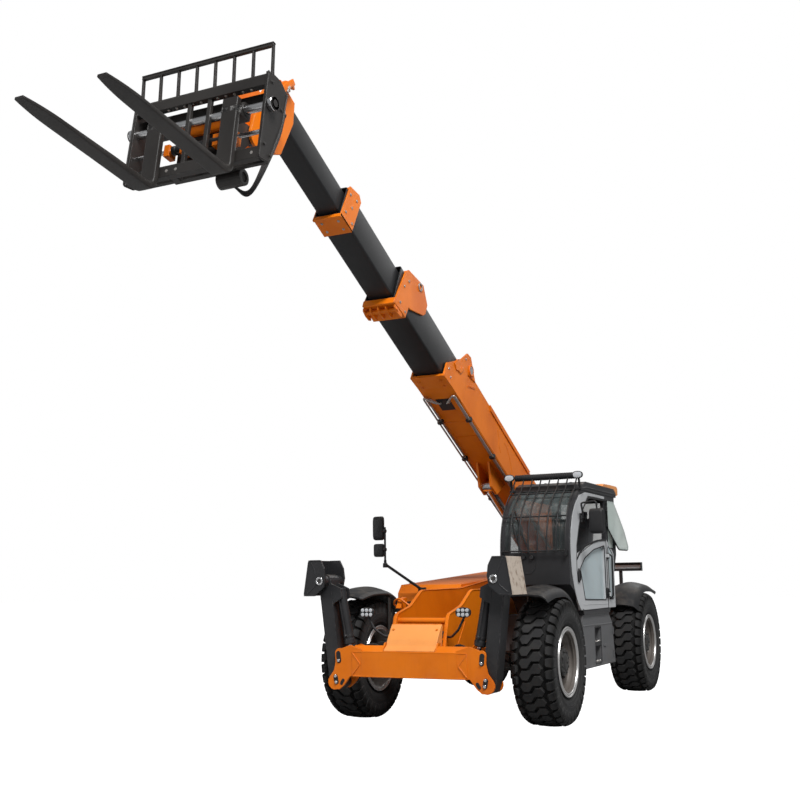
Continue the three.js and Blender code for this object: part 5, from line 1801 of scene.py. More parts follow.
@dataclass
class Cab(Assembly):
    """Cab: door, trims, guard, lamps, wipers, seat, wheel, mirrors and the swung window."""

    left: float = 1.140
    right: float = 0.420
    front: float = 0.300
    belt: float = 1.640
    radius: float = 0.674
    guard_bars: int = 8

    def screen(self, radius: float, angle: float | Array) -> Array:
        """Y and Z on a circle parallel to the windscreen, at an angle from its lower edge upwards."""
        turn = np.radians(180 - np.asarray(angle, float))
        centre = self.front + self.radius
        return np.stack([centre + radius * np.cos(turn), self.belt + radius * np.sin(turn)], -1)

    def guard_bar(self, x: float) -> Shell:
        """Round bar that follows the screen and then runs on straight over the roof's edge."""
        bow = self.screen(self.radius + 0.056, np.linspace(0, 63, 14))
        line = np.concatenate([bow, [(0.748, 2.418)]])
        return sweep(np.c_[np.full(len(line), x), line], circle(0.0075, 10))

    def guard(self) -> Shell:
        """Bars, three cross rails and their mounting feet."""
        xs = np.linspace(self.right + 0.022, self.left - 0.022, self.guard_bars)
        bars = [self.guard_bar(float(x)) for x in xs]
        rails = []
        for angle in (1, 30, 58):
            y, z = self.screen(self.radius + 0.047, angle)
            rails.append(rod((self.right + 0.014, y, z), (self.left - 0.014, y, z), 0.008, 12))
        feet = [box((x, 0.242, 1.602), (x + 0.020, 0.2995, 1.652)) for x in (self.right + 0.014, self.left - 0.034)]
        return joined([*bars, *rails, *feet])

    def top_bar(self) -> Shell:
        """Ribbed roll over the roof's edge: its radius swells by 3 mm in a wave along the bar."""
        x = np.linspace(self.right + 0.020, self.left - 0.020, 150)
        wave = 0.033 + 0.0028 * np.sin(np.linspace(0, 2 * math.pi * 14, 150)) ** 2
        path = np.stack([x, np.full_like(x, 0.762), np.full_like(x, 2.438)], -1)
        return sweep(path, circle(1.0, 18), wave)

    def work_lamp(self, x: float) -> tuple[Shell, Shell, Shell]:
        """Oval work lamp on its bracket.

        Args:
            x: Its place across the cab.

        Returns:
            Housing, lens and bracket.
        """
        section, height = oval(0.118, 0.078, 2.3, 32), 2.434
        sizes, depths = [0.92, 1.0, 1.0, 0.85, 0.5, 0.2], [0.0, 0.004, 0.012, 0.035, 0.055, 0.060]
        housing = grid(stacked(section, sizes, depths, (x, 0.655, height))[:, ::-1], wrap_v=True, caps=True)
        sizes, depths = [0.80, 0.74, 0.48, 0.05], [0.0, -0.004, -0.007, -0.009]
        lens = grid(stacked(section, sizes, depths, (x, 0.6555, height)), wrap_v=True, caps=True)
        bracket = joined([
            rod((x, 0.695, height), (x, 0.74, 2.30), 0.012, 12),
            box((x - 0.02, 0.72, 2.285), (x + 0.02, 0.82, 2.305)),
        ])
        return housing, lens, bracket

    def wiper(self, foot: float, tip_angle: float, lean: float) -> Shell:
        """Wiper: a sprung arm from its spindle up the screen and a blade along the glass.

        Args:
            foot: Where the spindle stands across the machine.
            tip_angle: How far up the screen's curve the arm reaches, in degrees.
            lean: How far its tip lies to the side of its foot.

        Returns:
            Arm, blade and spindle.
        """
        steps = np.linspace(-4, tip_angle, 12)
        line = self.screen(self.radius + 0.016, steps)
        x = foot + lean * (steps + 4) / (tip_angle + 4)
        arm = sweep(np.c_[x, line], oval(0.014, 0.008, 3, 10))
        blade_steps = np.linspace(tip_angle - 22, tip_angle + 16, 14)
        blade_line = self.screen(self.radius + 0.007, blade_steps)
        share = (blade_steps + 4) / (tip_angle + 4)
        blade = sweep(np.c_[foot + lean * share + 0.004, blade_line], oval(0.010, 0.016, 3, 10))
        spindle = at(disc(0.022, 0.030, 20), (foot, self.front + 0.002, self.belt - 0.052), (0, -1, 0))
        return joined([arm, blade, spindle])

    def washer(self) -> Shell:
        """Pressed U-shaped panel below the screen and its fixings."""
        y = self.front - 0.001
        line = [(0.60, y, 1.60), (0.60, y, 1.48), (0.64, y, 1.43), (0.74, y, 1.43), (0.78, y, 1.48), (0.78, y, 1.60)]
        return seam(line, 0.010, 0.007, (0, -1, 0))

    def side_outline(self) -> list[tuple[float, float]]:
        """Front edge of the door opening in Y and Z, from the sill to the roof."""
        return [(0.700, 1.062), (0.600, 1.190), (0.545, 1.330), (0.520, 1.500), (0.545, 1.700), (0.650, 1.900),
                (0.820, 2.090), (1.040, 2.235), (1.300, 2.240), (1.700, 2.240)]

    def side_line(self, x: float, points: Sequence[tuple[float, float]], width: float, proud: float,
                  radius: float = 0.08) -> Shell:
        """Strip on the cab's side that follows a line in Y and Z."""
        path = rounded([(x, y, z) for y, z in points], radius, 6)
        return sweep(path, oval(width, proud, 4, 12), up=(1, 0, 0))

    def pillar_trim(self) -> Shell:
        """Pale frame between the screen's edge and the door opening, down to the sill."""
        outer = [
            (0.640, 1.056), (0.520, 1.150), (0.425, 1.290), (0.374, 1.420), (0.350, 1.600), (0.354, 1.720),
            (0.376, 1.840), (0.442, 1.990), (0.555, 2.122), (0.720, 2.228), (0.950, 2.272), (1.700, 2.272),
        ]
        opening = [(y, z + 0.004) for y, z in self.side_outline()[::-1]]
        return prism([*outer, *opening], self.left - 0.002, self.left + 0.004)

    def seals(self) -> Shell:
        """Black rubber seals: round the opening, down the post and along the belt line."""
        x = self.left
        opening = self.side_line(x - 0.004, [(y + 0.022, z - 0.012) for y, z in self.side_outline()[2:]], 0.018, 0.012)
        belt = self.side_line(
            x + 0.001, [(0.545, 1.565), (0.700, 1.655), (0.900, 1.715), (1.200, 1.758), (1.450, 1.784), (1.688, 1.792)],
            0.020, 0.012, 0.10,
        )
        post = self.side_line(x - 0.004, [(1.708, 1.06), (1.708, 2.24)], 0.014, 0.010)
        lower = self.side_line(x - 0.003, [(0.545, 1.33), (0.600, 1.185), (0.702, 1.052), (1.705, 1.052)], 0.012, 0.010)
        corners = [(1.785, 1.705), (2.070, 1.705), (2.070, 2.220), (1.785, 2.220), (1.785, 1.705)]
        quarter = self.side_line(x + 0.001, corners, 0.014, 0.008, 0.05)
        return joined([opening, belt, post, lower, quarter])

    def pane_frame(self) -> Shell:
        """Rubber edge round the door's lower pane, with the bar that divides it."""
        x = self.left + 0.001
        loop = [(0.800, 1.162), (1.628, 1.142), (1.628, 1.728), (1.200, 1.678), (0.852, 1.588), (0.664, 1.480),
                (0.800, 1.162)]
        return self.side_line(x, loop, 0.012, 0.007, 0.04)

    def rear_panel(self) -> tuple[Shell, Shell, Shell]:
        """Fixed panel behind the door, its low pane and the pane's rubber edge."""
        x = self.left
        outline = [(1.722, 1.055), (1.995, 1.055), (2.000, 1.640), (1.970, 1.668), (1.722, 1.792)]
        panel = prism(outline, x - 0.006, x + 0.004)
        edge = [(1.752, 1.150), (1.930, 1.150), (1.945, 1.610), (1.925, 1.645), (1.752, 1.735)]
        pane = prism(edge, x, x + 0.007)
        return panel, pane, self.side_line(x + 0.004, [*edge, edge[0]], 0.016, 0.010, 0.05)

    def door_line(self) -> Shell:
        """Line pressed along the foot of the door."""
        x = self.left
        return self.side_line(x, [(0.74, 1.112), (1.66, 1.098)], 0.008, 0.006, 0.02)

    def handles(self) -> Shell:
        """Oval door handle at the front edge, latch at the rear and hinge covers."""
        cup = lathe([(0, 0), (0, 0.5), (0.10, 0.5), (0.16, 0.40), (0.12, 0.33), (0.10, 0.0)], 32, wrap=False)
        oval_cup = Shell(cup.points * [0.09, 0.078, 0.145], cup.faces)
        bar = sweep(rounded([(0, 0.0, -0.05), (0.016, 0.0, -0.045), (0.016, 0.0, 0.045), (0, 0.0, 0.05)], 0.012),
                    circle(0.006, 10))
        front_handle = joined([oval_cup, bar.shifted(x=0.006)]).shifted(self.left, 0.600, 1.405)
        latch = joined([Shell(cup.points * [0.10, 0.045, 0.115], cup.faces), bar.shifted(x=0.008)])
        rear_latch = latch.shifted(self.left, 1.655, 1.215)
        covers = [rod((1.156, 1.716, z - 0.012), (1.156, 1.716, z + 0.052), 0.0125, 16) for z in (1.18, 1.60)]
        return joined([front_handle, rear_latch, *covers])

    def grab_rails(self) -> Shell:
        """Grab rails beside the door and behind it."""
        first = rounded([(1.142, 1.760, 1.15), (1.180, 1.760, 1.17), (1.180, 1.790, 1.62), (1.142, 1.790, 1.64)], 0.03)
        return sweep(first, circle(0.010, 12))

    def roof_lines(self) -> Shell:
        """Ribs pressed along the roof and its gutter."""
        ribs = [sweep(np.array([(x, 0.98, 2.386), (x, 1.68, 2.386)]), oval(0.030, 0.012, 2.5, 12), up=(0, 0, 1))
                for x in (0.56, 0.70, 0.84, 0.98)]
        gutter = sweep(rounded([(1.148, 0.82, 2.31), (1.148, 0.98, 2.325), (1.148, 2.18, 2.325)], 0.04),
                       oval(0.022, 0.010, 3, 12), up=(0, 0, 1))
        return joined([*ribs, gutter])

    def cap_shell(self) -> Shell:
        """Roof's rear cap: its profile in Y and Z carried across, with rounded shoulders.

        Near each side the profile shrinks towards its middle line by a quarter circle.
        """
        profile = np.array([
            (1.700, 2.3855), (1.725, 2.405), (1.770, 2.424), (2.050, 2.431), (2.325, 2.432), (2.362, 2.420),
            (2.378, 2.400), (2.376, 2.335), (2.350, 2.325), (2.2005, 2.301), (2.2005, 2.346), (2.120, 2.3855),
        ])
        share = np.radians(np.linspace(0, 90, 7))
        inset = np.concatenate([0.024 * (1 - np.sin(share)), 0.024 * (1 - np.sin(share[::-1]))])
        x = np.concatenate([0.430 + 0.024 * (1 - np.cos(share)), 1.128 - 0.024 * (1 - np.cos(share[::-1]))])
        scale = 1 - inset[:, None, None] * np.array([0.6, 2.2])
        return grid(across_machine(profile, x, scale), wrap_v=True, caps=True)

    def swung_window(self) -> tuple[Shell, Shell, Shell]:
        """Upper window, swung back against the cab: rubber rim, pane and latch bar.

        Returns:
            Rim, pane and latch. The pane's outline is drawn closed and turned about the hinge line.
        """
        closed = [(1.680, 2.228), (1.447, 2.228), (1.252, 2.074), (1.054, 1.906), (0.914, 1.735), (0.930, 1.697),
                  (1.292, 1.697), (1.680, 1.924), (1.680, 2.228)]
        turn = Matrix.Translation((1.156, 1.716, 0)) @ Matrix.Rotation(math.radians(178), 4, "Z")
        turn = turn @ Matrix.Translation((-1.156, -1.716, 0))
        matrix = np.array([turn])
        x = self.left + 0.0102
        rim = sweep(rounded([(x + 0.006, y, z) for y, z in closed], 0.05, 7), oval(0.024, 0.011, 3, 12), up=(1, 0, 0))
        pane = prism(closed[:-1], x - 0.0025, x + 0.0025)
        bar = joined([
            rod((x + 0.018, 1.13, 1.80), (x + 0.018, 1.13, 1.99), 0.007, 10),
            at(disc(0.014, 0.024, 16), (x, 1.13, 1.86)),
        ])
        return copies(rim, matrix), copies(pane, matrix), copies(bar, matrix)

    def steering_wheel(self) -> tuple[Shell, Shell]:
        """Wheel rim with its spokes, hub and knob, and the column's shroud.

        Returns:
            Wheel and shroud.
        """
        angle = np.linspace(0, 2 * math.pi, 61)
        loop = np.stack([0.170 * np.cos(angle), 0.170 * np.sin(angle), np.zeros(61)], -1)
        wheel = [sweep(loop, circle(0.0135, 12))]
        for turn in (90, 210, 330):
            c, s = math.cos(math.radians(turn)), math.sin(math.radians(turn))
            spoke = np.array([(0.02 * c, 0.02 * s, -0.022), (0.165 * c, 0.165 * s, 0)])
            wheel.append(sweep(spoke, oval(0.030, 0.010, 3)))
        wheel.append(at(disc(0.045, 0.035, 28), (0, 0, -0.03), (0, 0, 1)))
        wheel.append(at(disc(0.016, 0.045, 18, 0.3), (0.150, -0.07, 0.0), (0, 0, 1)))
        turned_wheel = joined(wheel).turned(-22).shifted(0.780, 0.900, 1.585)
        shroud = sweep(
            through([(0.78, 0.835, 1.12), (0.78, 0.85, 1.30), (0.78, 0.872, 1.46), (0.78, 0.888, 1.545)], 6),
            oval(0.105, 0.105, 3, 20), np.interp(np.linspace(0, 1, 19), [0, 0.5, 1], [1.1, 0.85, 0.72]),
        )
        return turned_wheel, shroud

    def dashboard(self) -> Shell:
        """Dash: a padded profile in Y and Z carried across, with an instrument hood."""
        profile = through([
            (0.375, 1.405), (0.372, 1.520), (0.400, 1.556), (0.520, 1.566), (0.620, 1.552), (0.648, 1.500),
            (0.622, 1.420), (0.560, 1.398),
        ], 3, closed=True)
        x = np.array([0.4855, 0.4955, 1.070, 1.080])
        scale = np.array([0.96, 1.0, 1.0, 0.96])[:, None, None]
        body = grid(across_machine(profile, x, scale)[:, ::-1], wrap_v=True, caps=True)
        pod = sweep(np.array([(0.64, 0.60, 1.575), (0.92, 0.60, 1.575)]), oval(0.16, 0.075, 3, 24), up=(0, 0, 1))
        foot = box((0.700, 0.790, 1.0505), (0.860, 0.900, 1.150))
        return joined([body, pod, foot])

    def pillow(self, length: float, width: float, thick: float, crown: float, channels: int) -> Shell:
        """Upholstered pad, flat underneath.

        Args:
            length: Its length along Y.
            width: Its width.
            thick: Its thickness at rest.
            crown: How far its middle rises.
            channels: How many sewn grooves cross it.

        Returns:
            The surface over u and v from -1 to 1: the half thickness is
            thick / 2 * ((1 - u**6) * (1 - v**6)) ** 0.4, the top rises by crown * cos * cos, and each
            sewn channel and the piping cut a groove of 6 mm.
        """
        u = np.linspace(-1, 1, 49)
        v = np.linspace(-1, 1, 41)
        uu, vv = np.meshgrid(u, v, indexing="ij")
        pull = 1 - 0.05 * (np.cos(math.pi * vv / 2) ** 2) * np.abs(uu) ** 8
        side = 1 - 0.05 * (np.cos(math.pi * uu / 2) ** 2) * np.abs(vv) ** 8
        shape = np.clip((1 - uu**6) * (1 - vv**6), 0, 1) ** 0.4
        grooves = np.zeros_like(uu)
        for k in range(channels):
            place = -0.62 + 1.24 * k / max(1, channels - 1)
            grooves += np.exp(-((uu - place) / 0.022) ** 2)
        piping = np.exp(-((np.abs(vv) - 0.66) / 0.030) ** 2)
        puff = crown * np.cos(math.pi * uu / 2) * np.cos(math.pi * vv / 2)
        bolster = 0.020 * np.exp(-((np.abs(vv) - 0.84) / 0.13) ** 2)
        top = thick / 2 * shape + (puff + bolster) * shape - 0.006 * np.clip(grooves + piping, 0, 1) * shape
        low = -thick / 2 * shape
        x = vv * width / 2 * side
        y = uu * length / 2 * pull
        upper = np.stack([x, y, top], -1)
        under = np.stack([x, y, low], -1)
        both = np.concatenate([upper, under[:, ::-1][:, 1:-1]], axis=1)
        return grid(both[:, ::-1], wrap_v=True)

    def seat_shells(self) -> dict[str, Shell]:
        """Cushion, back, head rest and plinth of the seat."""
        cushion = self.pillow(0.500, 0.430, 0.120, 0.022, 4).shifted(0.78, 1.455, 1.375)
        back = self.pillow(0.640, 0.410, 0.105, 0.020, 5).turned(79).shifted(0.78, 1.772, 1.735)
        rest = self.pillow(0.150, 0.250, 0.085, 0.012, 0).turned(79).shifted(0.78, 1.832, 2.045)
        folds = [(0.012 * k, 0.026 * k) for k in range(5)]
        plinth = joined([
            box((0.610, 1.31, 1.0505), (0.950, 1.63, 1.12)),
            *[box((0.62 + dx, 1.32, 1.12 + dz), (0.94 - dx, 1.62, 1.138 + dz)) for dx, dz in folds],
            box((0.590, 1.22, 1.250), (0.970, 1.70, 1.312)),
            box((0.585, 1.700, 1.250), (0.975, 1.750, 1.420)),
        ])
        return {"seat_cushion": cushion, "seat_back": back, "head_rest": rest, "seat_plinth": plinth}

    def mirror_body(self, x: float, z: float, width: float, height: float, y: float) -> tuple[Shell, Shell]:
        """Mirror housing that opens to the rear, and its glass.

        Args:
            x: Middle across the machine.
            z: Middle height.
            width: Width.
            height: Height.
            y: Front of the housing.

        Returns:
            Housing and glass.
        """
        section = oval(width, height, 7, 40)
        sizes = [0.72, 0.88, 0.97, 1.0, 0.985, 0.93, 0.92]
        depths = [0.0, 0.006, 0.020, 0.044, 0.048, 0.048, 0.040]
        housing = stacked(section, sizes, depths, (x, y, z))
        glass = stacked(section, [0.915, 0.915], [0.0405, 0.0425], (x, y, z))
        return (
            grid(housing[:, ::-1], wrap_v=True, caps=True),
            grid(glass[:, ::-1], wrap_v=True, caps=True),
        )

    def mirrors(self) -> tuple[Shell, Shell, Shell]:
        """All three mirrors: housings, glasses, arms."""
        left = self.mirror_body(1.358, 1.947, 0.156, 0.256, 0.540)
        upper = self.mirror_body(-1.062, 1.947, 0.130, 0.262, 0.436)
        lower = self.mirror_body(-1.058, 1.707, 0.120, 0.144, 0.436)
        bend = rounded([(1.142, 0.730, 2.020), (1.185, 0.700, 2.040), (1.200, 0.575, 2.135), (1.360, 0.565, 2.150),
                        (1.366, 0.566, 2.070)], 0.03)
        hoop = rounded([(1.142, 0.730, 1.965), (1.200, 0.640, 1.985), (1.200, 0.575, 2.130)], 0.03)
        stalk = rounded([(-0.70, 0.800, 1.275), (-0.985, 0.470, 1.556), (-0.985, 0.470, 1.60)], 0.02)
        arms = [
            sweep(bend, circle(0.009, 12)),
            sweep(hoop, circle(0.007, 10)),
            box((1.1402, 0.700, 1.950), (1.156, 0.760, 2.040)),
            sweep(stalk, circle(0.015, 14)),
            rod((-0.985, 0.470, 1.536), (-0.985, 0.470, 1.958), 0.0115, 14),
            at(disc(0.026, 0.05, 20), (-0.985, 0.470, 1.520), (0, 0, 1)),
            at(disc(0.022, 0.03, 20), (-1.000, 0.468, 1.915), (1, 0, 0)),
            at(disc(0.022, 0.03, 20), (-1.000, 0.468, 1.715), (1, 0, 0)),
            box((-0.740, 0.780, 1.180), (-0.660, 0.8297, 1.300)),
        ]
        return joined([left[0], upper[0], lower[0]]), joined([left[1], upper[1], lower[1]]), joined(arms)

    def build(self) -> None:
        """Every piece of the cab."""
        self.piece("guard_cage", self.guard(), Finish.PLASTIC, "chassis", ["cab_guard"])
        self.piece("guard_roll", self.top_bar(), Finish.RUBBER, "chassis")
        lamps = [self.work_lamp(x) for x in (0.405, 1.150)]
        self.pieces(
            "chassis",
            ("work_lamps", joined(lamp[0] for lamp in lamps), Finish.PLASTIC),
            ("work_lamp_lenses", joined(lamp[1] for lamp in lamps), Finish.LENS),
            ("work_lamp_brackets", joined(lamp[2] for lamp in lamps), Finish.PLASTIC),
        )
        wipers = joined([self.wiper(0.66, 20, -0.10), self.wiper(0.75, 24, -0.14)])
        self.pieces(
            "chassis",
            ("wipers", wipers, Finish.PLASTIC),
            ("front_panel_line", self.washer(), Finish.CHARCOAL),
            ("pillar_trim", self.pillar_trim(), Finish.DOOR),
            ("door_seals", self.seals(), Finish.RUBBER),
        )
        self.piece("pane_edge", self.pane_frame(), Finish.RUBBER, "door")
        self.piece("door_line", self.door_line(), Finish.DOOR, "door")
        panel, pane, edge = self.rear_panel()
        self.pieces(
            "chassis",
            ("rear_panel", panel, Finish.DOOR),
            ("rear_pane", pane, Finish.COOL_GLASS),
            ("rear_pane_edge", edge, Finish.RUBBER),
        )
        self.piece("door_handles", self.handles(), Finish.PLASTIC, "door")
        self.pieces(
            "chassis",
            ("grab_rail", self.grab_rails(), Finish.PLASTIC),
            ("roof_ribs", self.roof_lines(), Finish.CHARCOAL),
            # Roof cap in the paler orange: painted highlight.
            ("roof_visor", self.cap_shell(), Finish.PALE_ORANGE, "roof_cap"),
        )
        rim, pane, bar = self.swung_window()
        self.piece("window_rim", rim, Finish.RUBBER, "door_window")
        self.piece("window_pane", pane, Finish.GREEN_GLASS, "door_window", ["upper_window"])
        self.piece("window_latch", bar, Finish.PLASTIC, "door_window")
        wheel, shroud = self.steering_wheel()
        self.pieces(
            "chassis",
            ("steering_wheel", wheel, Finish.PLASTIC, "steering_column"),
            ("column_shroud", shroud, Finish.PLASTIC),
            ("dashboard", self.dashboard(), Finish.PLASTIC),
        )
        shells = self.seat_shells()
        self.piece("seat_plinth", shells.pop("seat_plinth"), Finish.PLASTIC, "chassis", ["seat"])
        for name, shell in shells.items():
            pad = self.piece(name, shell, Finish.CLOTH, "chassis", smooth=60, repair=True)
        housings, glasses, arms = self.mirrors()
        self.pieces(
            "chassis",
            ("mirror_housings", housings, Finish.PLASTIC, "mirror_left", "mirror_right"),
            ("mirror_glasses", glasses, Finish.MIRROR),
            ("mirror_arms", arms, Finish.PLASTIC),
        )
        self.dress(Finish.CHARCOAL, "cab_body", "cab_roof")
        self.dress(Finish.DOOR, "door_lower")
        self.dress(Finish.COOL_GLASS, "door_glass")
        self.dress(Finish.GLASS, "windscreen", "right_glass")
        self.dress(Finish.GREEN_GLASS, "quarter_glass", "rear_glass")


# ---------------------------------------------------------------- boom


@dataclass(frozen=True)
class Tube:
    """One boom tube: half width, underside, top, ends along the boom and wall, in metres."""

    half: float
    under: float
    top: float
    tail: float
    mouth: float
    wall: float = 0.009

    def outline(self, inset: float = 0.0, radius: float = 0.022) -> Array:
        """Rounded rectangle of the section.

        Args:
            inset: How far inside the outer face it runs.
            radius: Radius of its corners.

        Returns:
            Points across and up, four quarter circles in turn.
        """
        half, low, high = self.half - inset, self.under + inset, self.top - inset
        corners = [(half, low), (half, high), (-half, high), (-half, low)]
        angle = np.radians(np.linspace(0, 90, 6))
        rings = []
        for k, (x, z) in enumerate(corners):
            cx, cz = x - math.copysign(radius, x), z + (radius if z == low else -radius)
            turn = angle + math.radians(90 * k - 90)
            rings.append(np.stack([cx + radius * np.cos(turn), cz + radius * np.sin(turn)], -1))
        return np.concatenate(rings)

    def shell(self) -> Shell:
        """Hollow tube: the outer outline goes from tail to mouth, the inner one comes back."""
        outer, inner = self.outline(), self.outline(self.wall, 0.016)
        rows = []
        for flat, s in ((outer, self.tail), (outer, self.mouth), (inner, self.mouth), (inner, self.tail)):
            rows.append(np.stack([flat[:, 0], np.full(len(flat), -s), flat[:, 1]], -1))
        return grid(np.array(rows), wrap_u=True, wrap_v=True)

    def pads(self, inner: "Tube") -> Shell:
        """Wear pads at the mouth that carry the next tube."""
        y0, y1 = -self.mouth + 0.02, -self.mouth + 0.16
        shells = [
            box((-0.07, y0, self.under + self.wall), (0.07, y1, inner.under - 0.0005)),
            box((-0.07, y0, inner.top + 0.0005), (0.07, y1, self.top - self.wall)),
        ]
        side = box((inner.half + 0.0005, y0, -0.11), (self.half - self.wall, y1, -0.03))
        return joined([*shells, both_sides(side)])


SECOND = Tube(0.150, -0.262, 0.120, 1.750, 6.296)
THIRD = Tube(0.125, -0.238, 0.072, 2.850, 7.386)
FOURTH = Tube(0.102, -0.212, 0.020, 4.000, 8.330, 0.008)


def on_boom(points: Sequence[tuple[float, float]]) -> list[tuple[float, float]]:
    """Distances along and across the boom as Y and Z of its frame."""
    return [(-s, n) for s, n in points]


def side_bolts(spots: Sequence[tuple[float, float]], x: float, radius: float = 0.011) -> Shell:
    """Bolt heads on both cheeks at (along, across)."""
    return both_sides(bolts([(x, -s, n) for s, n in spots], (1, 0, 0), radius, radius * 0.6))


@dataclass
class Boom(Assembly):
    """Telescopic boom: tubes, orange collars, gooseneck, pipes, hoses and lift cylinder."""

    def own(self, shell: Shell) -> Shell:
        """A shell carried from the boom's frame to the machine's."""
        return shell.on(BOOM)

    def collar_second(self) -> Shell:
        """Orange collar at the second tube's mouth: two cheeks, a sole plate, a front lip and a bridge."""
        m = SECOND.mouth + 0.004
        cheek = prism(on_boom([
            (m - 0.271, -0.163), (m - 0.250, -0.300), (m, -0.322), (m - 0.074, 0.096), (m - 0.121, 0.170),
            (m - 0.448, 0.253), (m - 0.600, 0.131), (m - 0.600, 0.020), (m - 0.560, -0.03), (m - 0.300, -0.163),
        ]), 0.1502, 0.1642)
        sole = box((-0.165, -m + 0.002, -0.306), (0.165, -m + 0.250, -0.264))
        lip = box((-0.160, -m, -0.325), (0.160, -m + 0.022, -0.262))
        top = prism(on_boom([(m - 0.09, 0.100), (m - 0.125, 0.170), (m - 0.448, 0.250), (m - 0.609, 0.122),
                             (m - 0.30, 0.122)]), -0.1502, 0.1502)
        return joined([both_sides(cheek), sole, lip, top])

    def hook_second(self) -> Shell:
        """Curled bracket under the second collar: cast fingers with pale worn tops."""
        m = SECOND.mouth
        finger = prism(on_boom([
            (m - 0.02, -0.326), (m - 0.03, -0.352), (m - 0.09, -0.366), (m - 0.16, -0.358), (m - 0.19, -0.338),
            (m - 0.17, -0.312),
        ]), 0.0, 0.012)
        fingers = copies(finger, shifts([(x, 0, 0) for x in (-0.168, -0.10, -0.02, 0.06, 0.150)]))
        return joined([fingers, box((-0.168, -m + 0.06, -0.352), (0.168, -m + 0.10, -0.330))])

    def collar_third(self) -> Shell:
        """Orange collar at the third tube's mouth, with the eye lug behind its top."""
        m = THIRD.mouth + 0.002
        cheek = prism(on_boom([(m - 0.221, -0.254), (m, -0.258), (m - 0.023, 0.099), (m - 0.184, 0.149),
                               (m - 0.236, 0.107)]), 0.1252, 0.135)
        sole = box((-0.135, -m + 0.001, -0.258), (0.135, -m + 0.221, -0.2382))
        lip = box((-0.135, -m, -0.272), (0.135, -m + 0.020, -0.238))
        top = box((-0.1252, -m + 0.03, 0.0722), (0.1252, -m + 0.235, 0.098))
        return joined([both_sides(cheek), sole, lip, top])

    def lug(self) -> Shell:
        """Round eye on a stem that reaches forwards from the third collar's top."""
        s, n = 7.495, 0.063
        eye = at(ring(0.040, 0.018, 0.05, 28), (-0.025, -s, n), (1, 0, 0))
        stem = [(s - 0.16, 0.074), (s - 0.16, 0.098), (s, 0.090), (s + 0.02, 0.030), (s - 0.06, 0.030)]
        return joined([eye, prism(on_boom(stem), -0.024, 0.024)])

    def head_trim(self) -> Shell:
        """Collar of the outer tube: cast lever, ribs, slab edges and the arc pressed in its sides."""
        x = 0.1852
        lever = prism(on_boom([(4.96, -0.03), (4.93, 0.045), (4.88, 0.050), (4.865, 0.0), (4.80, 0.02), (4.76, 0.065),
                               (4.735, 0.05), (4.79, -0.035), (4.86, -0.045), (4.90, -0.065)]), x, x + 0.010)
        rim = at(ring(0.060, 0.044, 0.014, 36), (x, -4.56, 0.165))
        line = seam([(x, -4.55, -0.02), (x, -4.38, 0.075)], 0.010, 0.005, (1, 0, 0))
        slab = prism(on_boom([(3.938, 0.158), (3.90, 0.105), (2.58, 0.105), (2.521, 0.158)]), 0.1752, 0.186)
        bow = [(0.1755, -(3.38 - 0.06 * k), 0.02 - 0.0062 * k * k) for k in range(7)]
        arc_line = seam(bow, 0.010, 0.005, (1, 0, 0))
        curl = seam([(0.1755, -3.62, 0.04), (0.1755, -3.55, -0.02), (0.1755, -3.52, -0.10), (0.1755, -3.44, -0.15)],
                    0.012, 0.005, (1, 0, 0))
        weld = seam([(0.1755, -4.60, -0.268), (0.1755, -0.5, -0.268)], 0.010, 0.008, (1, 0, 0))
        return both_sides(joined([lever, rim, line, slab, arc_line, curl, weld]))

    def underside(self) -> Shell:
        """Cross welds and bolt bosses under the outer tube."""
        strips = [
            seam([(-0.165, -s, -0.2862), (0.165, -s, -0.2862)], 0.012, 0.006, (0, 0, -1)) for s in (3.1, 3.7, 4.3)
        ]
        plate = box((-0.12, -4.02, -0.290), (0.12, -3.30, -0.2852))
        heads = bolts([(x, -s, -0.301) for x in (-0.12, 0.12) for s in (4.95, 5.05)], (0, 0, -1), 0.012, 0.008)
        return joined([*strips, plate, heads])

    def window(self) -> Shell:
        """Black plate on the tube's underside between the pipes' bends: painted shade for the dark inside of an
        opening.
        """
        return box((-0.075, -4.72, -0.2875), (0.075, -4.52, -0.2850))

    def pipes(self) -> Shell:
        """Bent steel pipes under the outer tube: a hairpin at the head, then a run along each edge."""
        shells = []
        for k, x in enumerate((0.150, 0.172, -0.150, -0.176)):
            inner = math.copysign(0.035 + 0.030 * (k % 2), x)
            drop = -0.306 - 0.012 * (k % 2)
            path = rounded([
                (inner, -4.66, -0.286), (inner, -4.67 - 0.03 * (k % 2), drop - 0.012),
                (x, -4.80 - 0.03 * (k % 2), drop), (x, -4.60, drop), (x, -3.4, drop), (x, -1.5, drop),
            ], 0.07, 7)
            shells.append(sweep(path, circle(0.0095, 12)))
        return joined(shells)

    def clips(self) -> Shell:
        """Clamps that hold the pipes."""
        clip = box((0.132, -0.018, -0.332), (0.190, 0.018, -0.284))
        return both_sides(copies(clip, shifts([(0, -s, 0) for s in (4.35, 3.62, 2.75, 2.0)])))

    def rails(self) -> Shell:
        """Hose tray along the top of the outer tube."""
        return box((0.06, -4.30, 0.152), (0.15, -0.30, 0.165))

    def gooseneck(self) -> Shell:
        """Orange cheeks of the head with a wavy hose guard behind the carriage's left side.

        Each finger of the guard is a flat bar swept along a curve; together they make the wavy edge.
        """
        bars = []
        for across, start in ((0.128, 0.0), (0.150, 0.03), (0.172, 0.01), (0.194, 0.05)):
            path = through([
                (across, -8.46 - start, 0.075), (across + 0.006, -8.58, -0.02 - start), (across + 0.012, -8.60, -0.20),
                (across, -8.545 - start, -0.36), (across - 0.012, -8.50, -0.50 + start * 0.6),
                (across - 0.010, -8.42 - start, -0.62),
            ], 8)
            bars.append(sweep(path, oval(0.020, 0.052, 5, 14), up=(0, 1, 0)))
        return joined(bars)

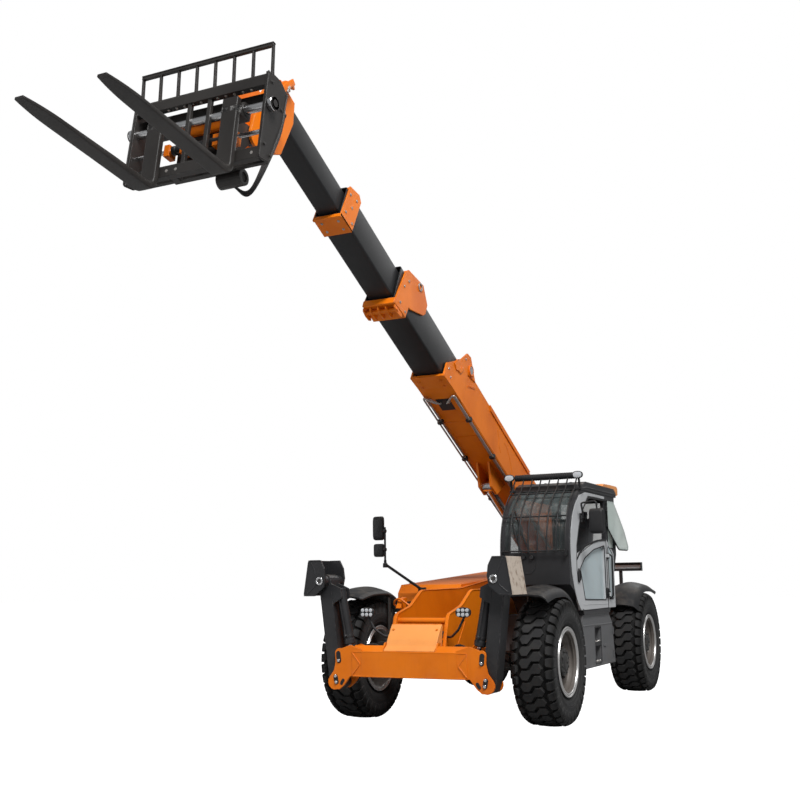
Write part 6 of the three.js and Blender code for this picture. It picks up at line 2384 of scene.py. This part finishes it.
    def head_hoses(self) -> Shell:
        """Black hoses that leave the gooseneck, loop down and rise again to the carriage."""
        shells = []
        for k in range(3):
            x = 0.158 + 0.030 * k
            drop = 0.028 * k
            start = BOOM.place([(x, -8.50, -0.30)])[0]
            turn = BOOM.place([(x + 0.018, -8.50, -0.62)])[0]
            low = CARRIAGE.place([(x + 0.06, -0.14 - drop, -0.530 - drop)])[0]
            rise = CARRIAGE.place([(x + 0.02, -0.31, -0.570 - drop)])[0]
            end = CARRIAGE.place([(x - 0.02, -0.425, -0.500)])[0]
            shells.append(hose([tuple(p) for p in (start, turn, low, rise, end)], 0.0085, 9))
        return joined(shells)

    def couplings(self) -> Shell:
        """Silver hose couplings on the guard: a hexagon between two collars."""
        nut = lathe([(0, 0), (0, 0.015), (0.018, 0.015), (0.020, 0.019), (0.040, 0.019), (0.042, 0.013), (0.07, 0.013),
                     (0.07, 0)], 6, wrap=False)
        spots = [(0.152 + 0.022 * k, -8.53, -0.27 - 0.012 * (k % 2)) for k in range(4)]
        spots += [(0.150 + 0.024 * k, -8.545, -0.02) for k in range(3)]
        return copies(nut, shifts(spots) @ facing((0.1, 0, -1)))

    def lift_seals(self) -> Shell:
        """Gland, cap rings and ports of the lift cylinder."""
        pin = np.array(joint_named("lift_barrel_swing")["pos_m"]) - ORIGIN
        way = self.lift_way()
        rings = []
        for start, size, width in ((2.19, 0.090, 0.062), (2.12, 0.086, 0.03), (0.14, 0.088, 0.04), (0.30, 0.085, 0.02)):
            rings.append(at(disc(size, width, 36), tuple(pin + way * start), tuple(way)))
        return joined(rings)

    def lift_way(self) -> Array:
        """Direction of the lift cylinder, from its base pin to its rod eye."""
        slide = np.array(joint_named("lift_rod_slide")["axis"], float)
        slide /= np.linalg.norm(slide)
        return slide if slide[2] > 0 else -slide

    def build(self) -> None:
        """Every piece of the boom."""
        for name, tube, inner in (("second", SECOND, THIRD), ("third", THIRD, FOURTH)):
            body = f"boom_{name}"
            self.piece(f"tube_{name}", self.own(tube.shell()), Finish.BOOM, body, [body], 30)
            self.piece(f"wear_pads_{name}", self.own(tube.pads(inner)), Finish.PLASTIC, body)
        self.piece("tube_fourth", self.own(FOURTH.shell()), Finish.BOOM, "boom_fourth", ["boom_fourth"], 30)
        self.piece("collar_second", self.own(self.collar_second()), Finish.ORANGE, "boom_second")
        self.piece("collar_second_hooks", self.own(self.hook_second()), Finish.ORANGE, "boom_second")
        self.piece("collar_third", self.own(self.collar_third()), Finish.ORANGE, "boom_third")
        self.piece("collar_third_lug", self.own(self.lug()), Finish.ORANGE, "boom_third")
        second_heads = side_bolts([(6.20, -0.24), (6.08, -0.26), (6.19, -0.04), (6.13, 0.07)], 0.165)
        second_ring = both_sides(at(ring(0.042, 0.028, 0.010, 32), (0.165, -5.910, 0.184)))
        third_heads = side_bolts([(7.33, -0.17), (7.20, -0.19), (7.33, 0.03), (7.22, 0.06), (7.26, -0.06)], 0.135)
        third_under = bolts([(x, -s, -0.2582) for x in (-0.08, 0.08) for s in (7.22, 7.32)], (0, 0, -1), 0.010, 0.006)
        self.piece("bolts_second", self.own(joined([second_heads, second_ring])), Finish.BARE, "boom_second")
        self.piece("bolts_third", self.own(joined([third_heads, third_under])), Finish.BARE, "boom_third")
        self.piece("head_fittings", self.own(self.head_trim()), Finish.ORANGE, "boom_outer")
        pin = both_sides(at(disc(0.043, 0.012, 32), (0.1852, -4.56, 0.165)))
        heads = side_bolts([(5.05, -0.16), (4.72, 0.20), (4.98, -0.22)], 0.185)
        self.piece("head_pins", self.own(joined([pin, heads])), Finish.STEEL, "boom_outer")
        self.piece("boom_underside", self.own(self.underside()), Finish.ORANGE, "boom_outer")
        # Black plate of painted shade where the underside has an opening.
        self.piece("boom_opening_shade", self.own(self.window()), Finish.PLASTIC, "boom_outer")
        self.piece("boom_pipes", self.own(self.pipes()), Finish.BARE, "boom_outer")
        self.piece("boom_pipe_clips", self.own(self.clips()), Finish.PLASTIC, "boom_outer")
        self.piece("boom_tray", self.own(self.rails()), Finish.PLASTIC, "boom_outer")
        self.piece("hose_guard", self.own(self.gooseneck()), Finish.ORANGE, "boom_fourth")
        self.piece("hose_couplings", self.own(self.couplings()), Finish.BARE, "boom_fourth")
        start, end = (BOOM.place([(0.17, -8.50, -0.60)])[0], CARRIAGE.place([(0.05, -0.38, -0.56)])[0])
        self.piece(
            "head_hoses", self.head_hoses(), Finish.RUBBER, "boom_fourth", bend=("carriage", start, end)
        )
        self.piece("lift_glands", self.lift_seals(), Finish.CHARCOAL, "lift_barrel")
        self.dress(Finish.ORANGE, "boom_outer", "boom_head", "lift_barrel")
        self.dress(Finish.STEEL, "lift_rod")


# ---------------------------------------------------------------- carriage and forks


@dataclass
class Carriage(Assembly):
    """Fork carriage: forks, shaft, collars, side-shift cylinder, bolts and latch tube."""

    half: float = 0.565
    shaft: tuple[float, float] = (-0.504, -0.142)
    spacing: float = 0.630
    width: float = 0.125
    thick: float = 0.050

    def fork(self) -> Shell:
        """One fork: a rectangular section carried down the shank, round the heel and out to the tip.

        The path is the middle line; the section's thickness falls to a third and its width narrows
        over the last quarter.
        """
        back, floor = -0.5663 - self.thick / 2, -0.640 - self.thick / 2
        corners = [(0, back, -0.095), (0, back, -0.40), (0, back, floor), (0, -1.10, floor), (0, -1.7945, floor)]
        path = rounded(corners, 0.075, 10)
        tail = np.linspace(path[-2], path[-1], 16)
        path = np.concatenate([path[:-2], tail])
        reach = -path[:, 1]
        share = np.clip((reach - 1.50) / 0.295, 0, 1)
        width = self.width * (1 - 0.46 * share**2)
        thick = self.thick * (1 - 0.62 * np.clip((reach - 0.85) / 0.945, 0, 1))
        section = oval(1.0, 1.0, 9, 28)
        tangent = np.gradient(path, axis=0)
        tangent /= np.linalg.norm(tangent, axis=1, keepdims=True)
        normal = np.cross(tangent, [1.0, 0, 0])
        rise = (self.thick - thick) / 2
        middle = path + normal * -rise[:, None] * np.where(reach > 0.8, 1, 0)[:, None]
        points = (
            middle[:, None, :]
            + section[None, :, :1] * width[:, None, None] * np.array([1.0, 0, 0])
            + section[None, :, 1:] * thick[:, None, None] * normal[:, None, :]
        )
        return grid(points, wrap_v=True, caps=True)

    def hook(self) -> Shell:
        """Eye at the top of the shank, round the shaft: the outline carried across the fork."""
        y, z = self.shaft
        outer = [*arc(y, z, 0.056, 0, 180, 12), (-0.616, z - 0.02), (-0.616, z - 0.06), (y + 0.05, z - 0.06)]
        body = prism(outer, -self.width / 2, self.width / 2)
        cheek = at(ring(0.047, 0.0325, 0.006, 28), (self.width / 2, y, z))
        return joined([body, both_sides(cheek)])

    def shaft_collars(self) -> Shell:
        """Bright stepped ring at each end of the shaft, with a dark bore."""
        y, z = self.shaft
        profile = [(0, 0.020), (0, 0.047), (0.010, 0.050), (0.034, 0.050), (0.040, 0.044), (0.046, 0.044),
                   (0.046, 0.026), (0.030, 0.020)]
        return both_sides(at(lathe(profile, 40), (self.half + 0.002, y, z)))

    def collar_bores(self) -> Shell:
        """Dark ends of the shaft seen in the collars."""
        y, z = self.shaft
        return both_sides(at(disc(0.026, 0.036, 28), (self.half + 0.002, y, z)))

    def shaft_rod(self) -> Shell:
        """Bright shaft and the side-shift cylinder's rod below it."""
        y, z = self.shaft
        main = rod((-self.half - 0.001, y, z), (self.half + 0.001, y, z), 0.0302, 32)
        shift = rod((-0.54, -0.475, -0.315), (0.54, -0.475, -0.315), 0.016, 20)
        return joined([main, shift])

    def shift_barrel(self) -> Shell:
        """Barrel of the side-shift cylinder with its glands and orange brackets' bolts."""
        profile = [
            (0, 0), (0, 0.034), (0.03, 0.034), (0.032, 0.029), (0.44, 0.029), (0.442, 0.034), (0.47, 0.034), (0.47, 0),
        ]
        return at(lathe(profile, 28, wrap=False), (-0.235, -0.475, -0.315))

    def brackets(self) -> Shell:
        """Orange lugs behind the posts that hold the side-shift cylinder."""
        lugs = [box((x, -0.50, -0.36), (x + 0.045, -0.4205, -0.27)) for x in (-0.30, -0.16, 0.115, 0.255)]
        plate = box((-0.22, -0.4380, -0.20), (0.22, -0.4205, -0.09))
        return joined([*lugs, plate])

    def side_trim(self) -> Shell:
        """Edge beads, slots' frames and bolts on the side plates and the top bar."""
        x = self.half
        edge = [(x, -0.555, 0.095), (x, -0.566, -0.573), (x, -0.449, -0.550), (x, -0.335, -0.200), (x, -0.309, 0.055)]
        bead = sweep(rounded(edge, 0.02, 4), oval(0.010, 0.010, 3, 10))
        spots = [(x, -0.36, -0.10), (x, -0.50, 0.04), (x, -0.52, -0.45), (x, -0.44, -0.50)]
        heads = bolts(spots, (1, 0, 0), 0.011, 0.007)
        return both_sides(joined([bead, heads]))

    def row_bolts(self) -> Shell:
        """Row of small bolt heads under the top bar and two rows on the lower one."""
        top = bolts([(-0.42 + 0.07 * k, -0.528, -0.006) for k in range(13)], (0, 0, -1), 0.009, 0.007)
        low = bolts([(x, -0.5605, -0.528) for x in (-0.50, -0.20, -0.12, 0.12, 0.20, 0.50)], (0, -1, 0), 0.012, 0.004)
        return joined([top, low])

    def latch(self) -> Shell:
        """Rings and bores at both ends of the latch tube."""
        y, z = -0.420 + 0.066, -0.562
        return joined([at(ring(0.0595, 0.034, 0.010, 36), (x, y, z)) for x in (0.112, 0.2995)])

    def backrest(self) -> Shell:
        """Rounded cap rail of the backrest and gussets at its feet."""
        line = np.array([(-self.half, -0.524, 0.336), (self.half, -0.524, 0.336)])
        rail = sweep(line, oval(0.034, 0.012, 4, 14), up=(0, 0, 1))
        gusset = prism([(-0.512, 0.112), (-0.486, 0.112), (-0.505, 0.185), (-0.522, 0.185)], 0.555, 0.5655)
        return joined([rail, both_sides(gusset)])

    def build(self) -> None:
        """Every piece of the carriage."""
        for side in Side:
            x = side.sign * self.spacing / 2
            shell = joined([self.fork(), self.hook()]).shifted(x=x).on(CARRIAGE)
            name = f"fork_{side.value}"
            self.piece(f"tine_{side.value}", shell, Finish.CARRIAGE, name, [name], 30)
        parts = [
            ("shaft_collars", self.shaft_collars(), Finish.STEEL),
            ("shaft_ends", self.collar_bores(), Finish.CAST),
            ("fork_shaft", self.shaft_rod(), Finish.STEEL),
            ("shift_cylinder", self.shift_barrel(), Finish.CHARCOAL),
            ("shift_brackets", self.brackets(), Finish.ORANGE),
            ("carriage_beads", self.side_trim(), Finish.CARRIAGE),
            ("carriage_bolts", self.row_bolts(), Finish.BARE),
            ("latch_rings", self.latch(), Finish.CARRIAGE),
            ("backrest_rail", self.backrest(), Finish.CARRIAGE),
        ]
        self.pieces("carriage", *((name, shell.on(CARRIAGE), finish) for name, shell, finish in parts))
        self.dress(Finish.CARRIAGE, "fork_carriage", "tool_carrier")


# ---------------------------------------------------------------- stabilisers


@dataclass
class Stabilizer(Assembly):
    """Folding legs at the front: feet with worn soles, pin rings, beads and cylinder glands."""

    length: float = 0.937
    half: float = 0.085
    cheek: float = 0.178
    lean: float = 7.3

    def level(self, shell: Shell) -> Shell:
        """The foot's shell turned upright about its pin, against the leg's lean."""
        return shell.shifted(z=-self.length).turned(-self.lean, (0.0, 1.0, 0.0)).shifted(z=self.length)

    def pin_rings(self) -> Shell:
        """Bright ring and dark bore at each end of the foot's pin."""
        outer = lathe([(0, 0.021), (0, 0.038), (0.006, 0.038), (0.009, 0.034), (0.009, 0.024), (0.006, 0.021)], 36)
        y = self.cheek + 0.020
        return joined([
            at(outer, (0, y, self.length), (0, 1, 0)),
            at(outer, (0, -y, self.length), (0, -1, 0)),
        ])

    def pin_bores(self) -> Shell:
        """Dark middle of each pin's end."""
        y = self.cheek + 0.020
        face = disc(0.0205, 0.004, 24)
        return joined([at(face, (0, y, self.length), (0, 1, 0)), at(face, (0, -y, self.length), (0, -1, 0))])

    def cheek_beads(self) -> Shell:
        """Folded flange along the sole's edges and the ridges pressed in each cheek."""
        z = self.length
        shells = []
        for y in (self.cheek + 0.020, -self.cheek - 0.020):
            out = (0, 1 if y > 0 else -1, 0)
            edge = [(-0.008, y, z + 0.192), (0.118, y, z + 0.192), (0.168, y, z - 0.135), (0.054, y, z - 0.135)]
            shells.append(sweep(rounded(edge, 0.02, 4), oval(0.012, 0.008, 3, 10), up=out))
            ridge = [(0.092, y, z + 0.18), (0.032, y, z + 0.045), (0.045, y, z - 0.045), (0.135, y, z - 0.12)]
            shells.append(sweep(rounded(ridge, 0.03, 5), oval(0.014, 0.006, 2.5, 10), up=out))
        return joined(shells)

    def sole(self) -> Shell:
        """Worn ground plate: a slightly dished slab with turned-up ends.

        Its middle bulges outwards by 4 mm * cos(pi v / 2) across the leg's depth.
        """
        z = self.length
        along = np.linspace(0, 1, 15)[:, None]
        across = np.linspace(-1, 1, 9)[None, :]
        x = 0.1215 + 0.050 * along + 0.0035 * np.cos(across * math.pi / 2)
        height = z + 0.196 - 0.336 * along + 0.0 * across
        y = across * (self.cheek + 0.0195) + 0.0 * along
        face = np.stack([x + 0.0 * across, y, height], -1)
        back = face.copy()
        back[..., 0] -= 0.008
        both = np.concatenate([face, back[:, ::-1]], axis=1)
        return grid(both[:, ::-1], wrap_v=True, caps=True)

    def leg_beads(self) -> Shell:
        """Weld beads down the leg's front and back faces, base plate and top collar."""
        shells = []
        for y in (self.half, -self.half):
            out = (0, 1 if y > 0 else -1, 0)
            for x in (-0.050, 0.066):
                shells.append(sweep(np.array([(x, y, 0.08), (x, y, 0.83)]), oval(0.010, 0.006, 2.5, 8), up=out))
        pads = [at(ring(0.050, 0.032, 0.008, 32), (0, y, 0), (0, y, 0)) for y in (self.half, -self.half)]
        return joined([*shells, *pads])

    def cylinder_way(self) -> tuple[Array, Array]:
        """Eye of the leg's cylinder and its direction, in the leg's frame."""
        turn = math.radians(3.9)
        return np.array([-0.112, 0.0, 0.800]), np.array([-math.sin(turn), 0.0, -math.cos(turn)])

    def glands(self) -> Shell:
        """Stepped gland at the barrel's mouth, end cap, ports and a hard line along the barrel."""
        eye, way = self.cylinder_way()
        rings = [
            at(disc(0.054, 0.050, 32), tuple(eye + way * 0.432), tuple(way)),
            at(disc(0.051, 0.026, 32), tuple(eye + way * 0.392), tuple(way)),
            at(disc(0.0505, 0.020, 32), tuple(eye - way * 0.046), tuple(way)),
        ]
        ports = [at(disc(0.014, 0.030, 18), tuple(eye + way * t + [0, -0.046, 0]), (0, -1, 0)) for t in (0.02, 0.40)]
        stops = ((0.02, -0.072), (0.08, -0.060), (0.34, -0.060), (0.40, -0.072))
        line = rounded([tuple(eye + way * t + [0, dy, 0]) for t, dy in stops], 0.02)
        return joined([*rings, *ports, sweep(line, circle(0.006, 10))])

    def build(self) -> None:
        """Both legs; the right one is the mirror image of the left."""
        for side in Side:
            def own(shell: Shell) -> Shell:
                """The shell on this side."""
                placed = shell.on(LEG)
                return placed if side is Side.LEFT else placed.mirrored()

            name = side.value
            foot = f"foot_{name}"
            leg = f"stabilizer_{name}"
            self.piece(f"foot_rings_{name}", own(self.level(self.pin_rings())), Finish.STEEL, foot)
            self.piece(f"foot_bores_{name}", own(self.level(self.pin_bores())), Finish.CAST, foot)
            self.piece(f"foot_beads_{name}", own(self.level(self.cheek_beads())), Finish.CHARCOAL, foot)
            self.piece(f"foot_sole_{name}", own(self.level(self.sole())), Finish.TAN, foot)
            self.piece(f"leg_beads_{name}", own(self.leg_beads()), Finish.CHARCOAL, leg)
            self.piece(f"leg_gland_{name}", own(self.glands()), Finish.CHARCOAL, leg)
            self.dress(Finish.CHARCOAL, f"leg_{name}", f"foot_{name}")
            self.dress(Finish.STEEL, f"leg_rod_{name}")


# ---------------------------------------------------------------- studio


@dataclass
class Studio:
    """Camera, floor, world and lamps; angles in degrees, the lens in millimetres."""

    eye: Point = (4.262, -10.032, 1.380)
    azimuth: float = 25.644
    look_up: float = 9.617
    roll: float = -0.775
    lens: float = 47.91
    film: float = 36.0
    sight: float = 300.0
    reach: float = 60.0
    white: Colour = (1.0, 1.0, 1.0)
    floor_grey: Colour = (0.42, 0.42, 0.42)
    floor_glow: float = 1.9
    floor_white: float = 0.62
    sky: Colour = (0.96, 0.98, 1.0)
    sky_light: float = 0.26

    def camera(self) -> None:
        """Camera from its place, its three angles and its lens.

        The view direction comes from the azimuth and the elevation; right and up are then turned by
        the roll about it.
        """
        a, e, r = map(math.radians, (self.azimuth, self.look_up, self.roll))
        forward = np.array([-math.sin(a) * math.cos(e), math.cos(a) * math.cos(e), math.sin(e)])
        right = np.array([math.cos(a), math.sin(a), 0])
        up = np.cross(right, forward)
        side = right * math.cos(r) + up * math.sin(r)
        top = up * math.cos(r) - right * math.sin(r)
        matrix = np.eye(4)
        matrix[:3, 0], matrix[:3, 1], matrix[:3, 2] = side, top, -forward
        matrix[:3, 3] = MACHINE.place([self.eye])[0]
        data = bpy.data.cameras.new("view")
        data.lens = self.lens
        data.sensor_width = self.film
        data.clip_end = self.sight
        camera = bpy.data.objects.new("view", data)
        camera.matrix_world = Matrix(matrix.tolist())
        bpy.context.scene.collection.objects.link(camera)
        bpy.context.scene.camera = camera

    def floor(self) -> None:
        """Pale floor that shows white where no shadow falls."""
        graph = Graph.material("pale_floor")
        white = graph.node("ShaderNodeEmission", sockets={"Color": rgba(self.white), "Strength": self.floor_glow})
        matt = graph.node("ShaderNodeBsdfDiffuse", sockets={"Color": rgba(self.floor_grey), "Roughness": 0.6})
        share = graph.seen_white() * self.floor_white
        both = graph.node("ShaderNodeMixShader", sockets={0: share, 1: matt.outputs[0], 2: white.outputs[0]})
        graph.node("ShaderNodeOutputMaterial", sockets={"Surface": both.outputs[0]})
        mesh = bpy.data.meshes.new("floor")
        sheet = grid(self.spread())
        mesh.from_pydata(sheet.points.tolist(), [], sheet.faces)
        mesh.materials.append(graph.owner)
        floor = bpy.data.objects.new("floor", mesh)
        bpy.context.scene.collection.objects.link(floor)

    def spread(self) -> Array:
        """Corner points of the floor."""
        x, y = np.meshgrid([-self.reach, self.reach], [-self.reach, self.reach], indexing="ij")
        return np.stack([x, y, np.zeros_like(x)], -1)

    def world(self) -> None:
        """Soft even light; white where the camera, a mirror or a pane sees it."""
        world = bpy.data.worlds.new("sky")
        graph = Graph(world)
        soft = graph.node("ShaderNodeBackground", sockets={"Color": rgba(self.sky), "Strength": self.sky_light})
        white = graph.node("ShaderNodeBackground", sockets={"Color": rgba(self.white)})
        sockets = {0: graph.seen_white(), 1: soft.outputs[0], 2: white.outputs[0]}
        blend = graph.node("ShaderNodeMixShader", sockets=sockets)
        graph.node("ShaderNodeOutputWorld", sockets={"Surface": blend.outputs[0]})
        bpy.context.scene.world = world

    def lamp(self, name: str, place: Point, target: Point, size: float, watts: float) -> None:
        """Square area lamp that looks at a point.

        Args:
            name: Its name.
            place: Where it stands, in the machine's frame.
            target: What it looks at.
            size: Length of its side.
            watts: Its power.
        """
        data = bpy.data.lights.new(name, "AREA")
        data.shape = "SQUARE"
        data.size = size
        data.energy = watts
        lamp = bpy.data.objects.new(name, data)
        place, target = MACHINE.place([place, target])
        matrix = facing(tuple(place - target))
        turn = Matrix(matrix.tolist()) @ Matrix.Rotation(math.radians(90), 4, "Y")
        lamp.matrix_world = Matrix.Translation(place.tolist()) @ turn
        bpy.context.scene.collection.objects.link(lamp)

    def build(self) -> None:
        """Set the whole stage."""
        self.camera()
        self.floor()
        self.world()
        self.lamp("key", (9.0, -9.5, 17.0), (0, 0, 1.5), 7.0, 4600)
        self.lamp("fill", (-9.0, -8.0, 5.0), (0, 0, 1.5), 6.0, 240)
        self.lamp("rim", (2.0, 14.0, 11.0), (0, 1, 2), 8.0, 420)
        bpy.context.scene.view_settings.view_transform = "Standard"
        log.info("studio ready")


def write_sizes() -> None:
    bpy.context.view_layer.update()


def main() -> None:
    """Build the machine's pieces in order and report each."""
    logging.basicConfig(level=logging.INFO, format="%(name)s: %(message)s")
    Studio().build()
    palette = build_palette()
    for assembly in (RunningGear, Fender, Chassis, Cab, Boom, Carriage, Stabilizer):
        log.info("building %s", assembly.__name__)
        assembly(palette).build()
    write_sizes()


if __name__ == "__main__":
    main()
